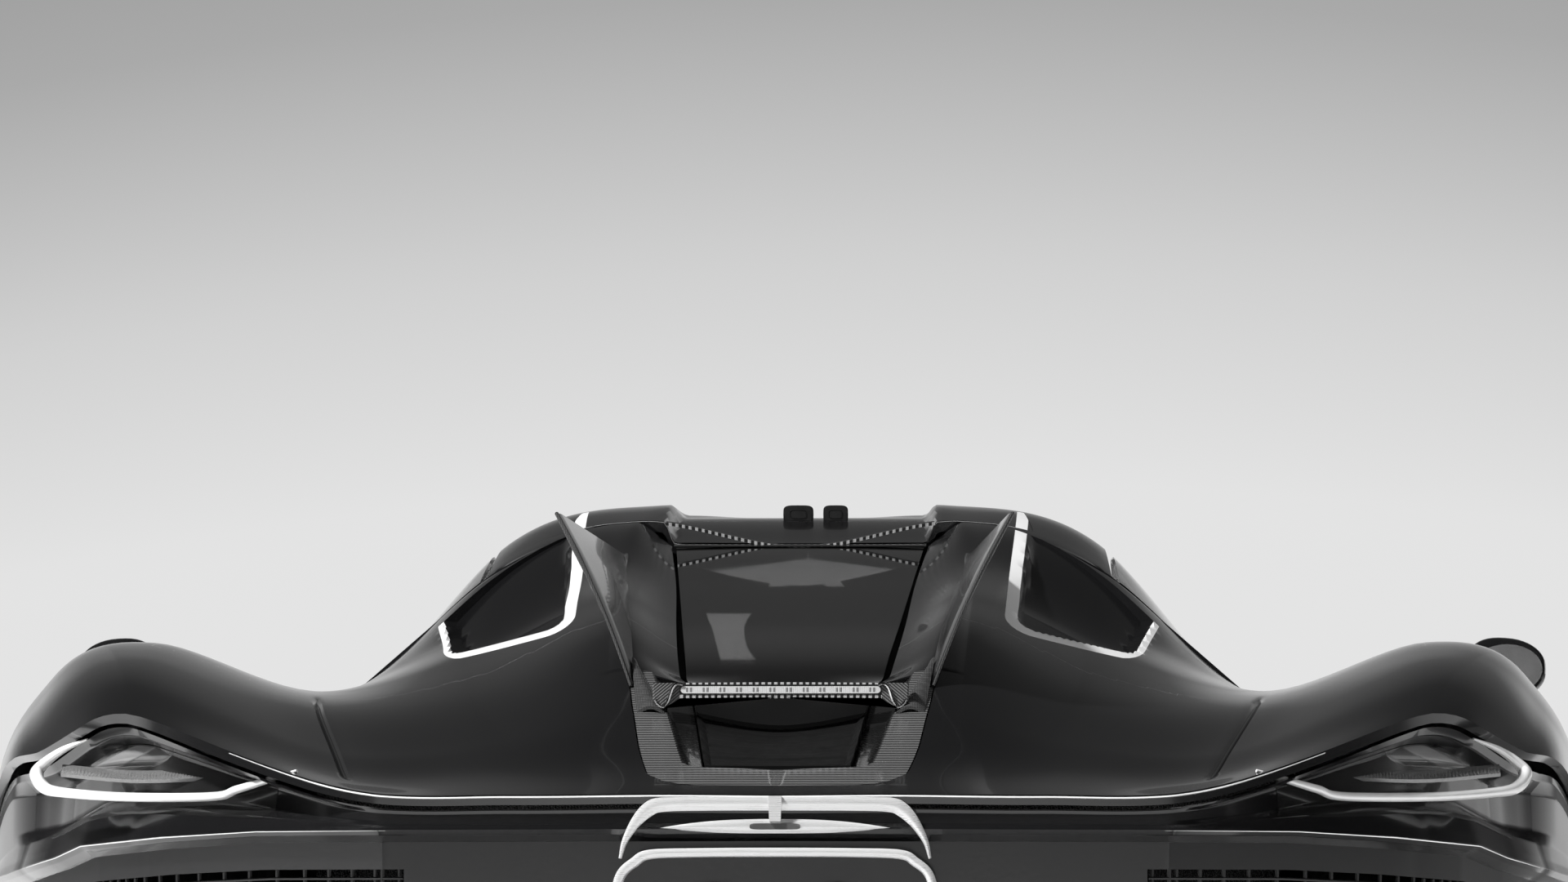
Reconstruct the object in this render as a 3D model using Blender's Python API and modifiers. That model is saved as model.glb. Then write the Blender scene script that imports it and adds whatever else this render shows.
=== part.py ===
"""Mid-engined two-seat hypercar, built as separate pieces in metres, +Y forward, +X right, +Z up.

The origin is on the ground under the middle of the car. The body panels are patches of one
smooth skin, which is set by a short table of cross sections, so neighbours stay flush.
"""
import bpy
import bmesh
import numpy as np
from math import cos, pi, radians, sin, sqrt, tan
from mathutils import Matrix, Vector

# Driving dimensions
FRONT_AXLE_Y = 1.4475
REAR_AXLE_Y = -1.2525
FRONT_HALF_TRACK = 0.850
REAR_HALF_TRACK = 0.828
FRONT_TYRE_RADIUS = 0.347
REAR_TYRE_RADIUS = 0.364
FRONT_TYRE_WIDTH = 0.265
REAR_TYRE_WIDTH = 0.325
FRONT_RIM_RADIUS = 0.254
REAR_RIM_RADIUS = 0.267
FRONT_ARCH_GAP = 0.043
REAR_ARCH_GAP = 0.041
FIT_GAP = 0.0003
PANEL_FIT = 0.0008
SHUT_GAP = 0.006
DOOR_FRONT_GAP = 0.010
PANEL_THICKNESS = 0.012
DOOR_THICKNESS = 0.055
FRAME_THICKNESS = 0.035
GLASS_THICKNESS = 0.005
FLOOR_Z = 0.100
FLOOR_THICKNESS = 0.030
SILL_TOP_Z = 0.270
BULKHEAD_TOP_Z = 0.800
COWL_Y = 1.256
HOOD_FRONT_Y = 2.060
HOOD_THICKNESS = 0.014
DOOR_HINGE = (0.952, 0.985, 0.52)
DOOR_HINGE_TILT = radians(10)
COVER_HINGE_Y = -2.398
HOOD_HINGE_Y = 1.291
FRONT_BUMPER_BOTTOM_Z = 0.140
REAR_BUMPER_BOTTOM_Z = 0.300
ARCH_CUT_SIDES = 40

# Cross sections of the skin. Each row is y, the height on the centre line, and then x and z
# of seven lines that run the length of the car on each side:
# ridge, mid, slit, crest, shoulder, flank and sill.
SECTIONS = np.array([
    (-2.420, 0.757, 0.130, 0.758, 0.300, 0.758, 0.470, 0.762, 0.700, 0.800, 0.740, 0.720, 0.750, 0.660,
     0.730, 0.300),
    (-2.200, 0.805, 0.160, 0.806, 0.330, 0.790, 0.506, 0.785, 0.758, 0.857, 0.840, 0.765, 0.850, 0.680,
     0.830, 0.270),
    (-2.030, 0.843, 0.175, 0.864, 0.340, 0.825, 0.530, 0.815, 0.775, 0.895, 0.885, 0.815, 0.915, 0.700,
     0.890, 0.240),
    (-1.650, 0.926, 0.197, 0.966, 0.380, 0.895, 0.580, 0.876, 0.800, 0.945, 0.920, 0.895, 0.985, 0.715,
     0.940, 0.180),
    (-1.250, 0.992, 0.215, 1.030, 0.420, 0.950, 0.610, 0.905, 0.817, 0.967, 0.945, 0.924, 1.012, 0.725,
     0.960, 0.140),
    (-0.850, 1.059, 0.232, 1.085, 0.425, 1.005, 0.625, 0.912, 0.830, 0.935, 0.955, 0.890, 1.000, 0.710,
     0.940, 0.140),
    (-0.450, 1.125, 0.225, 1.160, 0.420, 1.100, 0.635, 0.910, 0.835, 0.870, 0.945, 0.810, 0.975, 0.640,
     0.915, 0.140),
    (-0.050, 1.182, 0.205, 1.203, 0.420, 1.150, 0.645, 0.895, 0.830, 0.825, 0.930, 0.765, 0.955, 0.580,
     0.900, 0.140),
    (0.350, 1.168, 0.205, 1.176, 0.435, 1.100, 0.655, 0.855, 0.820, 0.800, 0.920, 0.745, 0.950, 0.560, 0.900,
     0.140),
    (0.650, 1.075, 0.210, 1.073, 0.450, 1.000, 0.655, 0.820, 0.815, 0.800, 0.920, 0.745, 0.957, 0.560, 0.910,
     0.140),
    (0.950, 0.930, 0.210, 0.925, 0.460, 0.875, 0.645, 0.785, 0.810, 0.805, 0.925, 0.755, 0.970, 0.580, 0.925,
     0.140),
    (1.200, 0.800, 0.210, 0.797, 0.470, 0.775, 0.630, 0.765, 0.800, 0.825, 0.930, 0.785, 0.990, 0.620, 0.950,
     0.140),
    (1.4475, 0.745, 0.200, 0.742, 0.460, 0.720, 0.625, 0.735, 0.800, 0.842, 0.935, 0.810, 1.000, 0.640,
     0.970, 0.140),
    (1.720, 0.680, 0.200, 0.677, 0.450, 0.660, 0.620, 0.690, 0.790, 0.805, 0.925, 0.775, 0.990, 0.600, 0.965,
     0.140),
    (2.000, 0.600, 0.200, 0.597, 0.440, 0.585, 0.610, 0.620, 0.775, 0.715, 0.900, 0.685, 0.965, 0.520, 0.950,
     0.140),
    (2.250, 0.505, 0.200, 0.500, 0.430, 0.495, 0.590, 0.515, 0.740, 0.575, 0.850, 0.550, 0.900, 0.420, 0.890,
     0.140),
    (2.420, 0.400, 0.200, 0.400, 0.420, 0.395, 0.580, 0.390, 0.700, 0.400, 0.780, 0.370, 0.820, 0.300, 0.820,
     0.140),
])
SLIT, CREST, SHOULDER, FLANK, SILL = 3.0, 4.0, 5.0, 6.0, 7.0

# Where panels meet, as (line, y) pairs: the line is the place across the skin, 0 at the middle
TAIL_EDGE = ((0, -2.400), (2.9, -2.400), (3.2, -2.365), (3.6, -2.290), (4, -2.200), (4.5, -2.130),
             (5, -2.030), (5.5, -1.900), (6, -1.680))
NOSE_EDGE = ((0, 2.335), (2, 2.330), (3, 2.300), (4, 2.230), (5, 2.130), (6, 2.010), (7, 1.920))
COVER_FRONT_EDGE = ((0, -0.440), (1.3, -0.440), (1.9, -0.520), (2.6, -0.660), (7, -0.660))
FENDER_REAR_EDGE = ((0, COWL_Y), (2.62, COWL_Y), (3.0, 0.990), (3.5, 0.950), (5, 0.943), (7, 0.943))

# Heights of the crease above the rear grilles, as (x, z) pairs
TAIL_CREASE = ((0, 0.722), (0.60, 0.720), (0.716, 0.7136), (0.822, 0.704), (0.86, 0.690),
               (0.94, 0.670), (1.1, 0.640))


def read_line(pairs, at):
    """Straight-line reading of a short table of pairs."""
    table = np.array(pairs, float)
    return np.interp(at, table[:, 0], table[:, 1])


def smooth(knots, values, at):
    """Cubic Hermite curve through the rows of values, with central slopes."""
    slopes = np.gradient(values, knots, axis=0)
    place = np.clip(np.searchsorted(knots, at) - 1, 0, len(knots) - 2)
    span = (knots[place + 1] - knots[place])[:, None]
    t = (at - knots[place])[:, None] / span
    start, end = values[place], values[place + 1]
    return (start * (1 + 2 * t) * (1 - t) ** 2 + slopes[place] * span * t * (1 - t) ** 2
            + end * t * t * (3 - 2 * t) - slopes[place + 1] * span * t * t * (1 - t))


def skin(y, line):
    """Points of the body skin at y, on a line counted from the middle, negative on the left."""
    y, line = np.broadcast_arrays(np.asarray(y, float), np.asarray(line, float))
    flat_y, flat_line = y.ravel(), np.abs(line.ravel())
    row = smooth(SECTIONS[:, 0], SECTIONS[:, 1:], flat_y)
    count = len(row)
    columns = np.zeros((count, 9, 2))
    columns[:, 1, 1] = row[:, 0]
    columns[:, 2:] = row[:, 1:].reshape(count, 7, 2)
    columns[:, 0] = columns[:, 2] * (-1, 1)
    slopes = np.zeros_like(columns)
    slopes[:, 1:-1] = (columns[:, 2:] - columns[:, :-2]) / 2
    slopes[:, -1] = columns[:, -1] - columns[:, -2]
    place = np.clip(np.floor(flat_line).astype(int), 0, 6) + 1
    t = (flat_line - (place - 1))[:, None]
    each = np.arange(count)
    start, end = columns[each, place], columns[each, place + 1]
    lead, trail = slopes[each, place], slopes[each, place + 1]
    point = (start * (1 + 2 * t) * (1 - t) ** 2 + lead * t * (1 - t) ** 2
             + end * t * t * (3 - 2 * t) - trail * t * t * (1 - t))
    x = point[:, 0] * np.where(line.ravel() < 0, -1, 1)
    return np.stack([x, flat_y, point[:, 1]], axis=1).reshape(y.shape + (3,))


def skin_normal(y, line):
    """Outward unit normal of the body skin."""
    step = 0.002
    across = skin(y, np.asarray(line) + step) - skin(y, np.asarray(line) - step)
    along = skin(np.asarray(y) + step, line) - skin(np.asarray(y) - step, line)
    normal = np.cross(across, along)
    return normal / np.linalg.norm(normal, axis=-1, keepdims=True)


def line_at_height(y, z, low=5.2, high=7.0):
    """The line on the side of the skin that lies at height z."""
    y = np.atleast_1d(np.asarray(y, float))
    low, high = np.full(y.shape, low), np.full(y.shape, high)
    for _ in range(24):
        middle = (low + high) / 2
        above = skin(y, middle)[..., 2] > z
        low = np.where(above, middle, low)
        high = np.where(above, high, middle)
    return (low + high) / 2


def line_at_width(y, x):
    """The line on the upper part of the skin that lies at x from the middle."""
    y, x = np.broadcast_arrays(np.asarray(y, float), np.asarray(x, float))
    low, high = np.zeros(y.shape), np.full(y.shape, 4.0)
    for _ in range(24):
        middle = (low + high) / 2
        inside = skin(y, middle)[..., 0] < np.abs(x)
        low = np.where(inside, middle, low)
        high = np.where(inside, high, middle)
    return (low + high) / 2 * np.where(x < 0, -1, 1)


# Scene and helpers
for old in list(bpy.data.objects):
    bpy.data.objects.remove(old, do_unlink=True)

car = bpy.data.collections.new("hypercar")
tools = bpy.data.collections.new("cutters")
bpy.context.scene.collection.children.link(car)
bpy.context.scene.collection.children.link(tools)


def finish(name, colour, roughness, metallic=0.0, alpha=1.0):
    """A plain Principled finish."""
    material = bpy.data.materials.new(name)
    material.use_nodes = True
    shader = material.node_tree.nodes["Principled BSDF"]
    shader.inputs["Base Color"].default_value = (*colour, 1.0)
    shader.inputs["Roughness"].default_value = roughness
    shader.inputs["Metallic"].default_value = metallic
    shader.inputs["Alpha"].default_value = alpha
    return material


PAINT = finish("black_paint", (0.012, 0.012, 0.013), 0.12)
CARBON = finish("carbon_weave", (0.03, 0.03, 0.032), 0.28)
SATIN = finish("satin_black", (0.04, 0.04, 0.04), 0.45)
DARK_GLASS = finish("dark_glass", (0.02, 0.02, 0.022), 0.04, 0.0, 0.4)
BRIGHT = finish("bright_silver", (0.75, 0.75, 0.76), 0.2, 1.0)
ALLOY = finish("dark_alloy", (0.12, 0.12, 0.125), 0.3, 1.0)
STEEL = finish("steel", (0.4, 0.4, 0.41), 0.35, 1.0)
RUBBER = finish("rubber", (0.02, 0.02, 0.02), 0.85)
TRIM = finish("cabin_trim", (0.05, 0.05, 0.05), 0.8)
LAMP = finish("lamp_lens", (0.5, 0.5, 0.5), 0.08)
HEAT = finish("heated_metal", (0.3, 0.28, 0.26), 0.3, 1.0)


def add(name, mesh, material, place=(0, 0, 0), group=car):
    """A mesh as a named object in the car's collection."""
    piece = bpy.data.objects.new(name, mesh)
    group.objects.link(piece)
    piece.location = place
    if material is not None:
        mesh.materials.append(material)
    return piece


def as_tool(piece):
    """Moves a helper to the cutters and takes it out of the model."""
    for group in list(piece.users_collection):
        group.objects.unlink(piece)
    tools.objects.link(piece)
    piece.hide_render = True
    piece.display_type = "WIRE"
    return piece


def boolean(piece, helper, operation):
    """A live Boolean with the exact solver."""
    as_tool(helper)
    step = piece.modifiers.new(helper.name, "BOOLEAN")
    step.operation = operation
    step.object = helper
    step.solver = "EXACT"
    return piece


def cut(piece, *helpers):
    """Takes the helpers out of the piece."""
    for helper in helpers:
        boolean(piece, helper, "DIFFERENCE")
    return piece


def fuse(piece, *helpers):
    """Joins the helpers to the piece as one body."""
    for helper in helpers:
        boolean(piece, helper, "UNION")
    return piece


def slab(name, outer, inner, material, group=car):
    """Closed body between two point grids of the same shape."""
    rows, columns = outer.shape[:2]
    body = bmesh.new()
    top = [[body.verts.new(outer[i, j]) for j in range(columns)] for i in range(rows)]
    under = [[body.verts.new(inner[i, j]) for j in range(columns)] for i in range(rows)]
    for i in range(rows - 1):
        for j in range(columns - 1):
            body.faces.new((top[i][j], top[i + 1][j], top[i + 1][j + 1], top[i][j + 1]))
            body.faces.new((under[i][j], under[i][j + 1], under[i + 1][j + 1], under[i + 1][j]))
    for i in range(rows - 1):
        body.faces.new((top[i][0], under[i][0], under[i + 1][0], top[i + 1][0]))
        body.faces.new((top[i][-1], top[i + 1][-1], under[i + 1][-1], under[i][-1]))
    for j in range(columns - 1):
        body.faces.new((top[0][j], top[0][j + 1], under[0][j + 1], under[0][j]))
        body.faces.new((top[-1][j], under[-1][j], under[-1][j + 1], top[-1][j + 1]))
    bmesh.ops.recalc_face_normals(body, faces=body.faces)
    bmesh.ops.triangulate(body, faces=body.faces, quad_method="FIXED")
    mesh = bpy.data.meshes.new(name)
    body.to_mesh(mesh)
    body.free()
    mesh.shade_smooth()
    mesh.set_sharp_from_angle(angle=radians(35))
    return add(name, mesh, material, group=group)


def drawn_in(grid, inset):
    """The grid with its four edges moved towards its middle by the inset."""
    grid = grid.copy()
    for edge, inner in ((np.s_[0], np.s_[1]), (np.s_[-1], np.s_[-2]),
                        (np.s_[:, 0], np.s_[:, 1]), (np.s_[:, -1], np.s_[:, -2])):
        way = grid[inner] - grid[edge]
        grid[edge] += way / np.linalg.norm(way, axis=-1, keepdims=True) * inset
    return grid


def panel(name, y, line, thickness, material, lift=0.0, taper=0.0, inset=0.0, group=car):
    """A patch of the skin, given its thickness inwards; inset draws in all its edges."""
    normal = skin_normal(y, line)
    outer = skin(y, line) + normal * lift
    inner = outer - normal * thickness
    return slab(name, drawn_in(outer, inset), drawn_in(inner, inset + taper), material, group)


def hole(name, y, line, depth=0.05):
    """Cutter that goes through the skin over the same patch as the panel that fills it."""
    return panel(name, y, line, depth + 0.01, None, 0.01, group=tools)


def between(low, high, count):
    """Rows of evenly spaced values from low to high, which may be arrays."""
    share = np.linspace(0, 1, count)
    return np.asarray(low)[None, :] + (np.asarray(high) - np.asarray(low))[None, :] * share[:, None]


def patch_by_line(lines, low_edge, high_edge, rows):
    """Grid of y and line between two edges that are given for each line."""
    lines = np.array(lines, float)
    y = between(low_edge(np.abs(lines)), high_edge(np.abs(lines)), rows)
    return y, np.broadcast_to(lines, y.shape).copy()


def patch_by_y(y_values, low_line, high_line, columns):
    """Grid of y and line between two lines that are given for each y."""
    y_values = np.array(y_values, float)
    line = between(low_line(y_values), high_line(y_values), columns).T
    return np.broadcast_to(y_values[:, None], line.shape).copy(), line


def box(name, low, high, material, group=car):
    """Box between two corners, with its origin at its middle."""
    low, high = Vector(map(min, low, high)), Vector(map(max, low, high))
    body = bmesh.new()
    bmesh.ops.create_cube(body, size=1.0)
    bmesh.ops.scale(body, vec=high - low, verts=body.verts)
    mesh = bpy.data.meshes.new(name)
    body.to_mesh(mesh)
    body.free()
    return add(name, mesh, material, (low + high) / 2, group)


def prism(name, outline, low_z, high_z, material, group=car):
    """Upright prism over a plan outline of (x, y) points."""
    body = bmesh.new()
    ring = [body.verts.new((x, y, low_z)) for x, y in outline]
    face = body.faces.new(ring)
    raised = bmesh.ops.extrude_face_region(body, geom=[face])
    top = [item for item in raised["geom"] if isinstance(item, bmesh.types.BMVert)]
    bmesh.ops.translate(body, vec=(0, 0, high_z - low_z), verts=top)
    bmesh.ops.recalc_face_normals(body, faces=body.faces)
    mesh = bpy.data.meshes.new(name)
    body.to_mesh(mesh)
    body.free()
    return add(name, mesh, material, group=group)


def cylinder(name, start, end, radius, material, sides=16, group=car, end_radius=None):
    """Round bar or cone from one point to another."""
    start, end = Vector(start), Vector(end)
    body = bmesh.new()
    bmesh.ops.create_cone(body, cap_ends=True, segments=sides, radius1=radius,
                          radius2=radius if end_radius is None else end_radius, depth=(end - start).length)
    mesh = bpy.data.meshes.new(name)
    body.to_mesh(mesh)
    body.free()
    mesh.shade_smooth()
    mesh.set_sharp_from_angle(angle=radians(40))
    piece = add(name, mesh, material, (start + end) / 2, group)
    piece.rotation_mode = "QUATERNION"
    piece.rotation_quaternion = (end - start).to_track_quat("Z", "Y")
    return piece


def turned(name, profile, material, steps, group=car):
    """Closed profile of (x, radius) points turned about the X axis."""
    mesh = bpy.data.meshes.new(name)
    count = len(profile)
    mesh.from_pydata([(x, 0, radius) for x, radius in profile],
                     [(i, (i + 1) % count) for i in range(count)], [])
    piece = add(name, mesh, material, group=group)
    screw = piece.modifiers.new("turn", "SCREW")
    screw.axis = "X"
    screw.steps = steps
    screw.render_steps = steps
    screw.use_merge_vertices = True
    screw.merge_threshold = 0.0001
    screw.use_normal_calculate = True
    screw.use_smooth_shade = True
    return piece


def mirrored(points):
    """The same grid on the other side of the car, turned round so that it still faces out."""
    return points[:, ::-1] * (-1, 1, 1)


# Monocoque tub: floor, two sills, hinge pillars, footbox, rear bulkhead and cowl beam
TUB_FRONT_Y = 1.100
TUB_REAR_Y = -0.830
BULKHEAD_Y = -0.610
BULKHEAD_THICKNESS = 0.030
TUB_HALF_WIDTH = 0.660
FOOTBOX_HALF_WIDTH = 0.500
COWL_BEAM = ((-0.60, 1.165, 0.680), (0.60, 1.235, 0.710))

tub = box("monocoque_tub", (-TUB_HALF_WIDTH - 0.02, TUB_REAR_Y, FLOOR_Z),
          (TUB_HALF_WIDTH + 0.02, 0.93, FLOOR_Z + FLOOR_THICKNESS), CARBON)
sill_y = np.linspace(TUB_REAR_Y, 0.93, 8)
sill_top = line_at_height(sill_y, SILL_TOP_Z)
for side, sign in (("right", 1), ("left", -1)):
    y, line = patch_by_y(sill_y, lambda at: sill_top, lambda at: np.full(at.shape, SILL), 3)
    outer = skin(y, line)
    inner = outer.copy()
    inner[..., 0] = TUB_HALF_WIDTH
    outer[:, -1, 2] = inner[:, -1, 2] = FLOOR_Z
    if sign < 0:
        outer, inner = mirrored(outer), mirrored(inner)
    fuse(tub, slab("sill_" + side, outer, inner, CARBON))
    fuse(tub, box("hinge_pillar_" + side, (sign * 0.88, 1.000, FLOOR_Z + 0.02), (sign * 0.83, 1.030, 0.650),
                  CARBON))
    fuse(tub, box("pillar_foot_" + side, (sign * 0.89, 0.90, FLOOR_Z + 0.01), (sign * 0.48, 1.028, 0.20),
                  CARBON))
fuse(tub,
     box("rear_bulkhead", (-TUB_HALF_WIDTH, BULKHEAD_Y - BULKHEAD_THICKNESS, FLOOR_Z + 0.01),
         (TUB_HALF_WIDTH, BULKHEAD_Y, BULKHEAD_TOP_Z), CARBON),
     box("footbox", (-FOOTBOX_HALF_WIDTH, 0.92, FLOOR_Z + 0.005), (FOOTBOX_HALF_WIDTH, TUB_FRONT_Y, 0.52),
         CARBON),
     box("centre_tunnel", (-0.11, BULKHEAD_Y - 0.01, FLOOR_Z + 0.012), (0.11, 0.93, 0.33), CARBON),
     box("cowl_post", (-0.42, 1.040, 0.50), (0.42, 1.090, 0.72), CARBON),
     box("cowl_shelf", (-0.42, 1.045, 0.681), (0.42, 1.20, 0.709), CARBON),
     box("cowl_beam", COWL_BEAM[0], COWL_BEAM[1], CARBON))
cut(tub, box("footwell", (-FOOTBOX_HALF_WIDTH + 0.03, 0.85, FLOOR_Z + FLOOR_THICKNESS),
             (FOOTBOX_HALF_WIDTH - 0.03, TUB_FRONT_Y - 0.03, 0.48), None, tools))

# Cabin frame: windscreen pillars, header, roof rails and rear hoop, in one with its feet
WINDSCREEN_TOP_Y = 0.365
ROOF_REAR_Y = -0.418
ROOF_LINE = 1.52
SIDE_GLASS_TOP_LINE = 2.12
SIDE_GLASS_REAR_Y = -0.493
SIDE_GLASS_FRONT_Y = 0.925
BELT_LINE = 3.0
BELT_LIP = 0.035


def windscreen_edge(y):
    """The line along the side of the windscreen."""
    return np.interp(y, (0.30, 1.25), (1.88, 2.42))


def frame_edge(y):
    """The outer edge of the cabin frame, which leaves the fender's corner at the front."""
    return np.interp(y, (0.990, COWL_Y), (BELT_LINE - 0.04, 2.56))


def side_glass_edge(y):
    """The upper edge of the side window, behind the windscreen pillar."""
    return np.interp(y, (0.30, 0.62, SIDE_GLASS_FRONT_Y), (SIDE_GLASS_TOP_LINE, 2.42, 2.90))


def cover_front(lines):
    """Front edge of the rear cover."""
    return read_line(COVER_FRONT_EDGE, lines)


frame_lines = np.array([1.0, 1.3, 1.9, 2.25, 2.6, BELT_LINE - 0.04])
frame_lines = np.concatenate([-frame_lines[::-1], [0], frame_lines])
frame_share = np.linspace(0, 1, 10)
frame_y = np.zeros((10, 13))
frame_line = np.zeros((10, 13))
for column, rear_line in enumerate(frame_lines):
    start = cover_front(abs(rear_line)) + SHUT_GAP
    frame_y[:, column] = start + (COWL_Y - FIT_GAP - start) * frame_share
    frame_line[:, column] = rear_line * frame_edge(frame_y[:, column]) / frame_lines[-1]
cabin_frame = panel("cabin_frame", frame_y, frame_line, FRAME_THICKNESS, CARBON)

WINDSCREEN_Y = np.linspace(WINDSCREEN_TOP_Y, 1.222, 8)
screen_y, screen_line = patch_by_y(WINDSCREEN_Y, lambda y: -windscreen_edge(y), windscreen_edge, 11)
panel("windscreen", screen_y, screen_line, GLASS_THICKNESS, DARK_GLASS, inset=PANEL_FIT)

# Roof panel between the header and the rear hoop, with its two small camera housings
ROOF_THICKNESS = 0.020
ROOF_POD = 0.034
roof_y, roof_line = patch_by_y(np.linspace(ROOF_REAR_Y, WINDSCREEN_TOP_Y - 0.035, 8),
                               lambda y: np.full(y.shape, -ROOF_LINE),
                               lambda y: np.full(y.shape, ROOF_LINE), 11)
roof_panel = panel("roof_panel", roof_y, roof_line, ROOF_THICKNESS, PAINT, inset=PANEL_FIT)
for pod, (pod_low_x, pod_high_x) in enumerate(((-0.030, 0.0156), (0.0275, 0.0653))):
    fuse(roof_panel, box(f"roof_pod_{pod}", (pod_low_x, -0.13, 1.170), (pod_high_x, -0.08, 1.2015), SATIN))

# Door openings and glass
GLASS_Y = np.linspace(SIDE_GLASS_REAR_Y, SIDE_GLASS_FRONT_Y, 10)
OPENING_Y = np.linspace(SIDE_GLASS_REAR_Y - SHUT_GAP, SIDE_GLASS_FRONT_Y + 0.020, 12)
openings = []
for side, sign in (("right", 1), ("left", -1)):
    y, line = patch_by_y(OPENING_Y, lambda y: side_glass_edge(y) - 0.050, lambda y: np.full(y.shape, 3.3), 7)
    normal = skin_normal(y, line)
    middle = skin(y, line)
    outer, inner = middle + normal * 0.05, middle - normal * 0.12
    if sign < 0:
        outer, inner = mirrored(outer), mirrored(inner)
    openings.append(slab("side_opening_" + side, outer, inner, None, tools))

cut(cabin_frame,
    hole("windscreen_hole", screen_y, screen_line),
    hole("roof_hole", roof_y, roof_line),
    *openings)
for side, sign in (("right", 1), ("left", -1)):
    fuse(cabin_frame,
         box("front_foot_" + side, (sign * 0.570, 1.168, COWL_BEAM[1][2] + FIT_GAP),
             (sign * 0.520, 1.195, 0.748), CARBON),
         box("rear_foot_" + side, (sign * 0.575, -0.640, BULKHEAD_TOP_Z + FIT_GAP),
             (sign * 0.495, -0.590, 0.955), CARBON))

# Doors: one thick panel each, from the belt down to the sill, with a goose-neck hinge arm
DOOR_BOTTOM_Z = SILL_TOP_Z + SHUT_GAP + 0.004
DOOR_REAR_Y = -0.648
hinge_point = Vector(DOOR_HINGE)


def fender_rear(lines):
    """Rear edge of the front fender."""
    return read_line(FENDER_REAR_EDGE, lines)


door_share = np.linspace(0, 1, 7)
door_lines = np.linspace(BELT_LINE + 0.01, 6.6, 9)
door_y = np.zeros((7, 9))
door_line = np.zeros((7, 9))
for column, full_line in enumerate(door_lines):
    front = fender_rear(full_line) - DOOR_FRONT_GAP
    door_y[:, column] = DOOR_REAR_Y + (front - DOOR_REAR_Y) * door_share
    low_line = line_at_height(door_y[:, column], DOOR_BOTTOM_Z)
    door_line[:, column] = door_lines[0] + (low_line - door_lines[0]) * column / 8
door_normal = skin_normal(door_y, door_line)
door_outer = skin(door_y, door_line)
door_inner = drawn_in(door_outer - door_normal * DOOR_THICKNESS, 0.018)

glass_y, glass_line = patch_by_y(GLASS_Y, side_glass_edge, lambda y: np.full(y.shape, door_lines[0]), 6)
glass_normal = skin_normal(glass_y, glass_line)
glass_outer = skin(glass_y, glass_line)
for axis in (0, 2):
    glass_outer[:, -1, axis] = np.interp(GLASS_Y, door_outer[:, 0, 1], door_outer[:, 0, axis])
glass_outer = drawn_in(glass_outer, PANEL_FIT)
glass_inner = glass_outer - glass_normal * GLASS_THICKNESS

HINGE_LEVELS = (("upper", 0.130), ("lower", 0.050))


def hinge_block(name, sign, low, high):
    """Block in the hinge's own frame: outwards, along the car and up the hinge's axis."""
    block = box(name, low, high, STEEL)
    block.data.transform(Matrix.Translation(block.location))
    block.location = (0, 0, 0)
    slope, rise = sin(DOOR_HINGE_TILT), cos(DOOR_HINGE_TILT)
    for vertex in block.data.vertices:
        out, along, up = vertex.co
        vertex.co = (sign * (DOOR_HINGE[0] + out * rise - up * slope), DOOR_HINGE[1] + along,
                     DOOR_HINGE[2] + out * slope + up * rise)
    if sign < 0:
        block.data.flip_normals()
    return block


MIRROR_CENTRE = (1.070, 0.700, 0.985)
MIRROR_SIZE = (0.066, 0.075, 0.050)
MIRROR_DOOR_ROW, MIRROR_DOOR_COLUMN = 5, 2
for side, sign in (("right", 1), ("left", -1)):
    turn = (lambda grid: grid) if sign > 0 else mirrored
    door = slab("door_" + side, turn(door_outer), turn(door_inner), PAINT)
    slab("door_glass_" + side, turn(glass_outer), turn(glass_inner), DARK_GLASS)
    for level, height in HINGE_LEVELS:
        fuse(door,
             hinge_block(f"hinge_eye_{level}_{side}", sign, (-0.0495, -0.008, height),
                         (0.006, 0.008, height + 0.024)),
             hinge_block(f"hinge_arm_{level}_{side}", sign, (-0.0500, -0.110, height + 0.001),
                         (-0.036, 0.0075, height + 0.023)),
             hinge_block(f"hinge_heel_{level}_{side}", sign, (-0.0490, -0.1105, height + 0.002),
                         (0.016, -0.076, height + 0.022)))
        fuse(tub,
             hinge_block(f"hinge_pin_{level}_{side}", sign, (-0.070, -0.0065, height - 0.020),
                         (0.004, 0.0085, height - FIT_GAP)),
             hinge_block(f"hinge_bracket_{level}_{side}", sign, (-0.090, -0.004, height - 0.019),
                         (-0.035, 0.040, height - 0.001)))
    mirror = bpy.data.meshes.new("mirror_" + side)
    body = bmesh.new()
    bmesh.ops.create_uvsphere(body, u_segments=10, v_segments=6, radius=1.0)
    bmesh.ops.scale(body, vec=MIRROR_SIZE, verts=body.verts)
    for vertex in body.verts:
        vertex.co.y = max(vertex.co.y, -0.035)
    bmesh.ops.dissolve_limit(body, angle_limit=radians(1), verts=body.verts, edges=body.edges)
    bmesh.ops.triangulate(body, faces=body.faces)
    body.to_mesh(mirror)
    body.free()
    mirror.shade_smooth()
    piece = add("mirror_" + side, mirror, PAINT, (sign * MIRROR_CENTRE[0], MIRROR_CENTRE[1],
                                                  MIRROR_CENTRE[2]))
    foot = door_outer[MIRROR_DOOR_ROW, MIRROR_DOOR_COLUMN]
    foot_normal = door_normal[MIRROR_DOOR_ROW, MIRROR_DOOR_COLUMN]
    low = foot + foot_normal * 0.017
    arm = cylinder("mirror_arm_" + side, (sign * low[0], low[1], low[2]),
                   (sign * (MIRROR_CENTRE[0] - 0.02), MIRROR_CENTRE[1],
                    MIRROR_CENTRE[2] - 0.01), 0.014, PAINT, 10)
    pad = cylinder("mirror_pad_" + side,
                   (foot + foot_normal * FIT_GAP) * (sign, 1, 1),
                   (foot + foot_normal * 0.022) * (sign, 1, 1),
                   0.020, PAINT, 12)
    fuse(piece, arm, pad)

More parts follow.
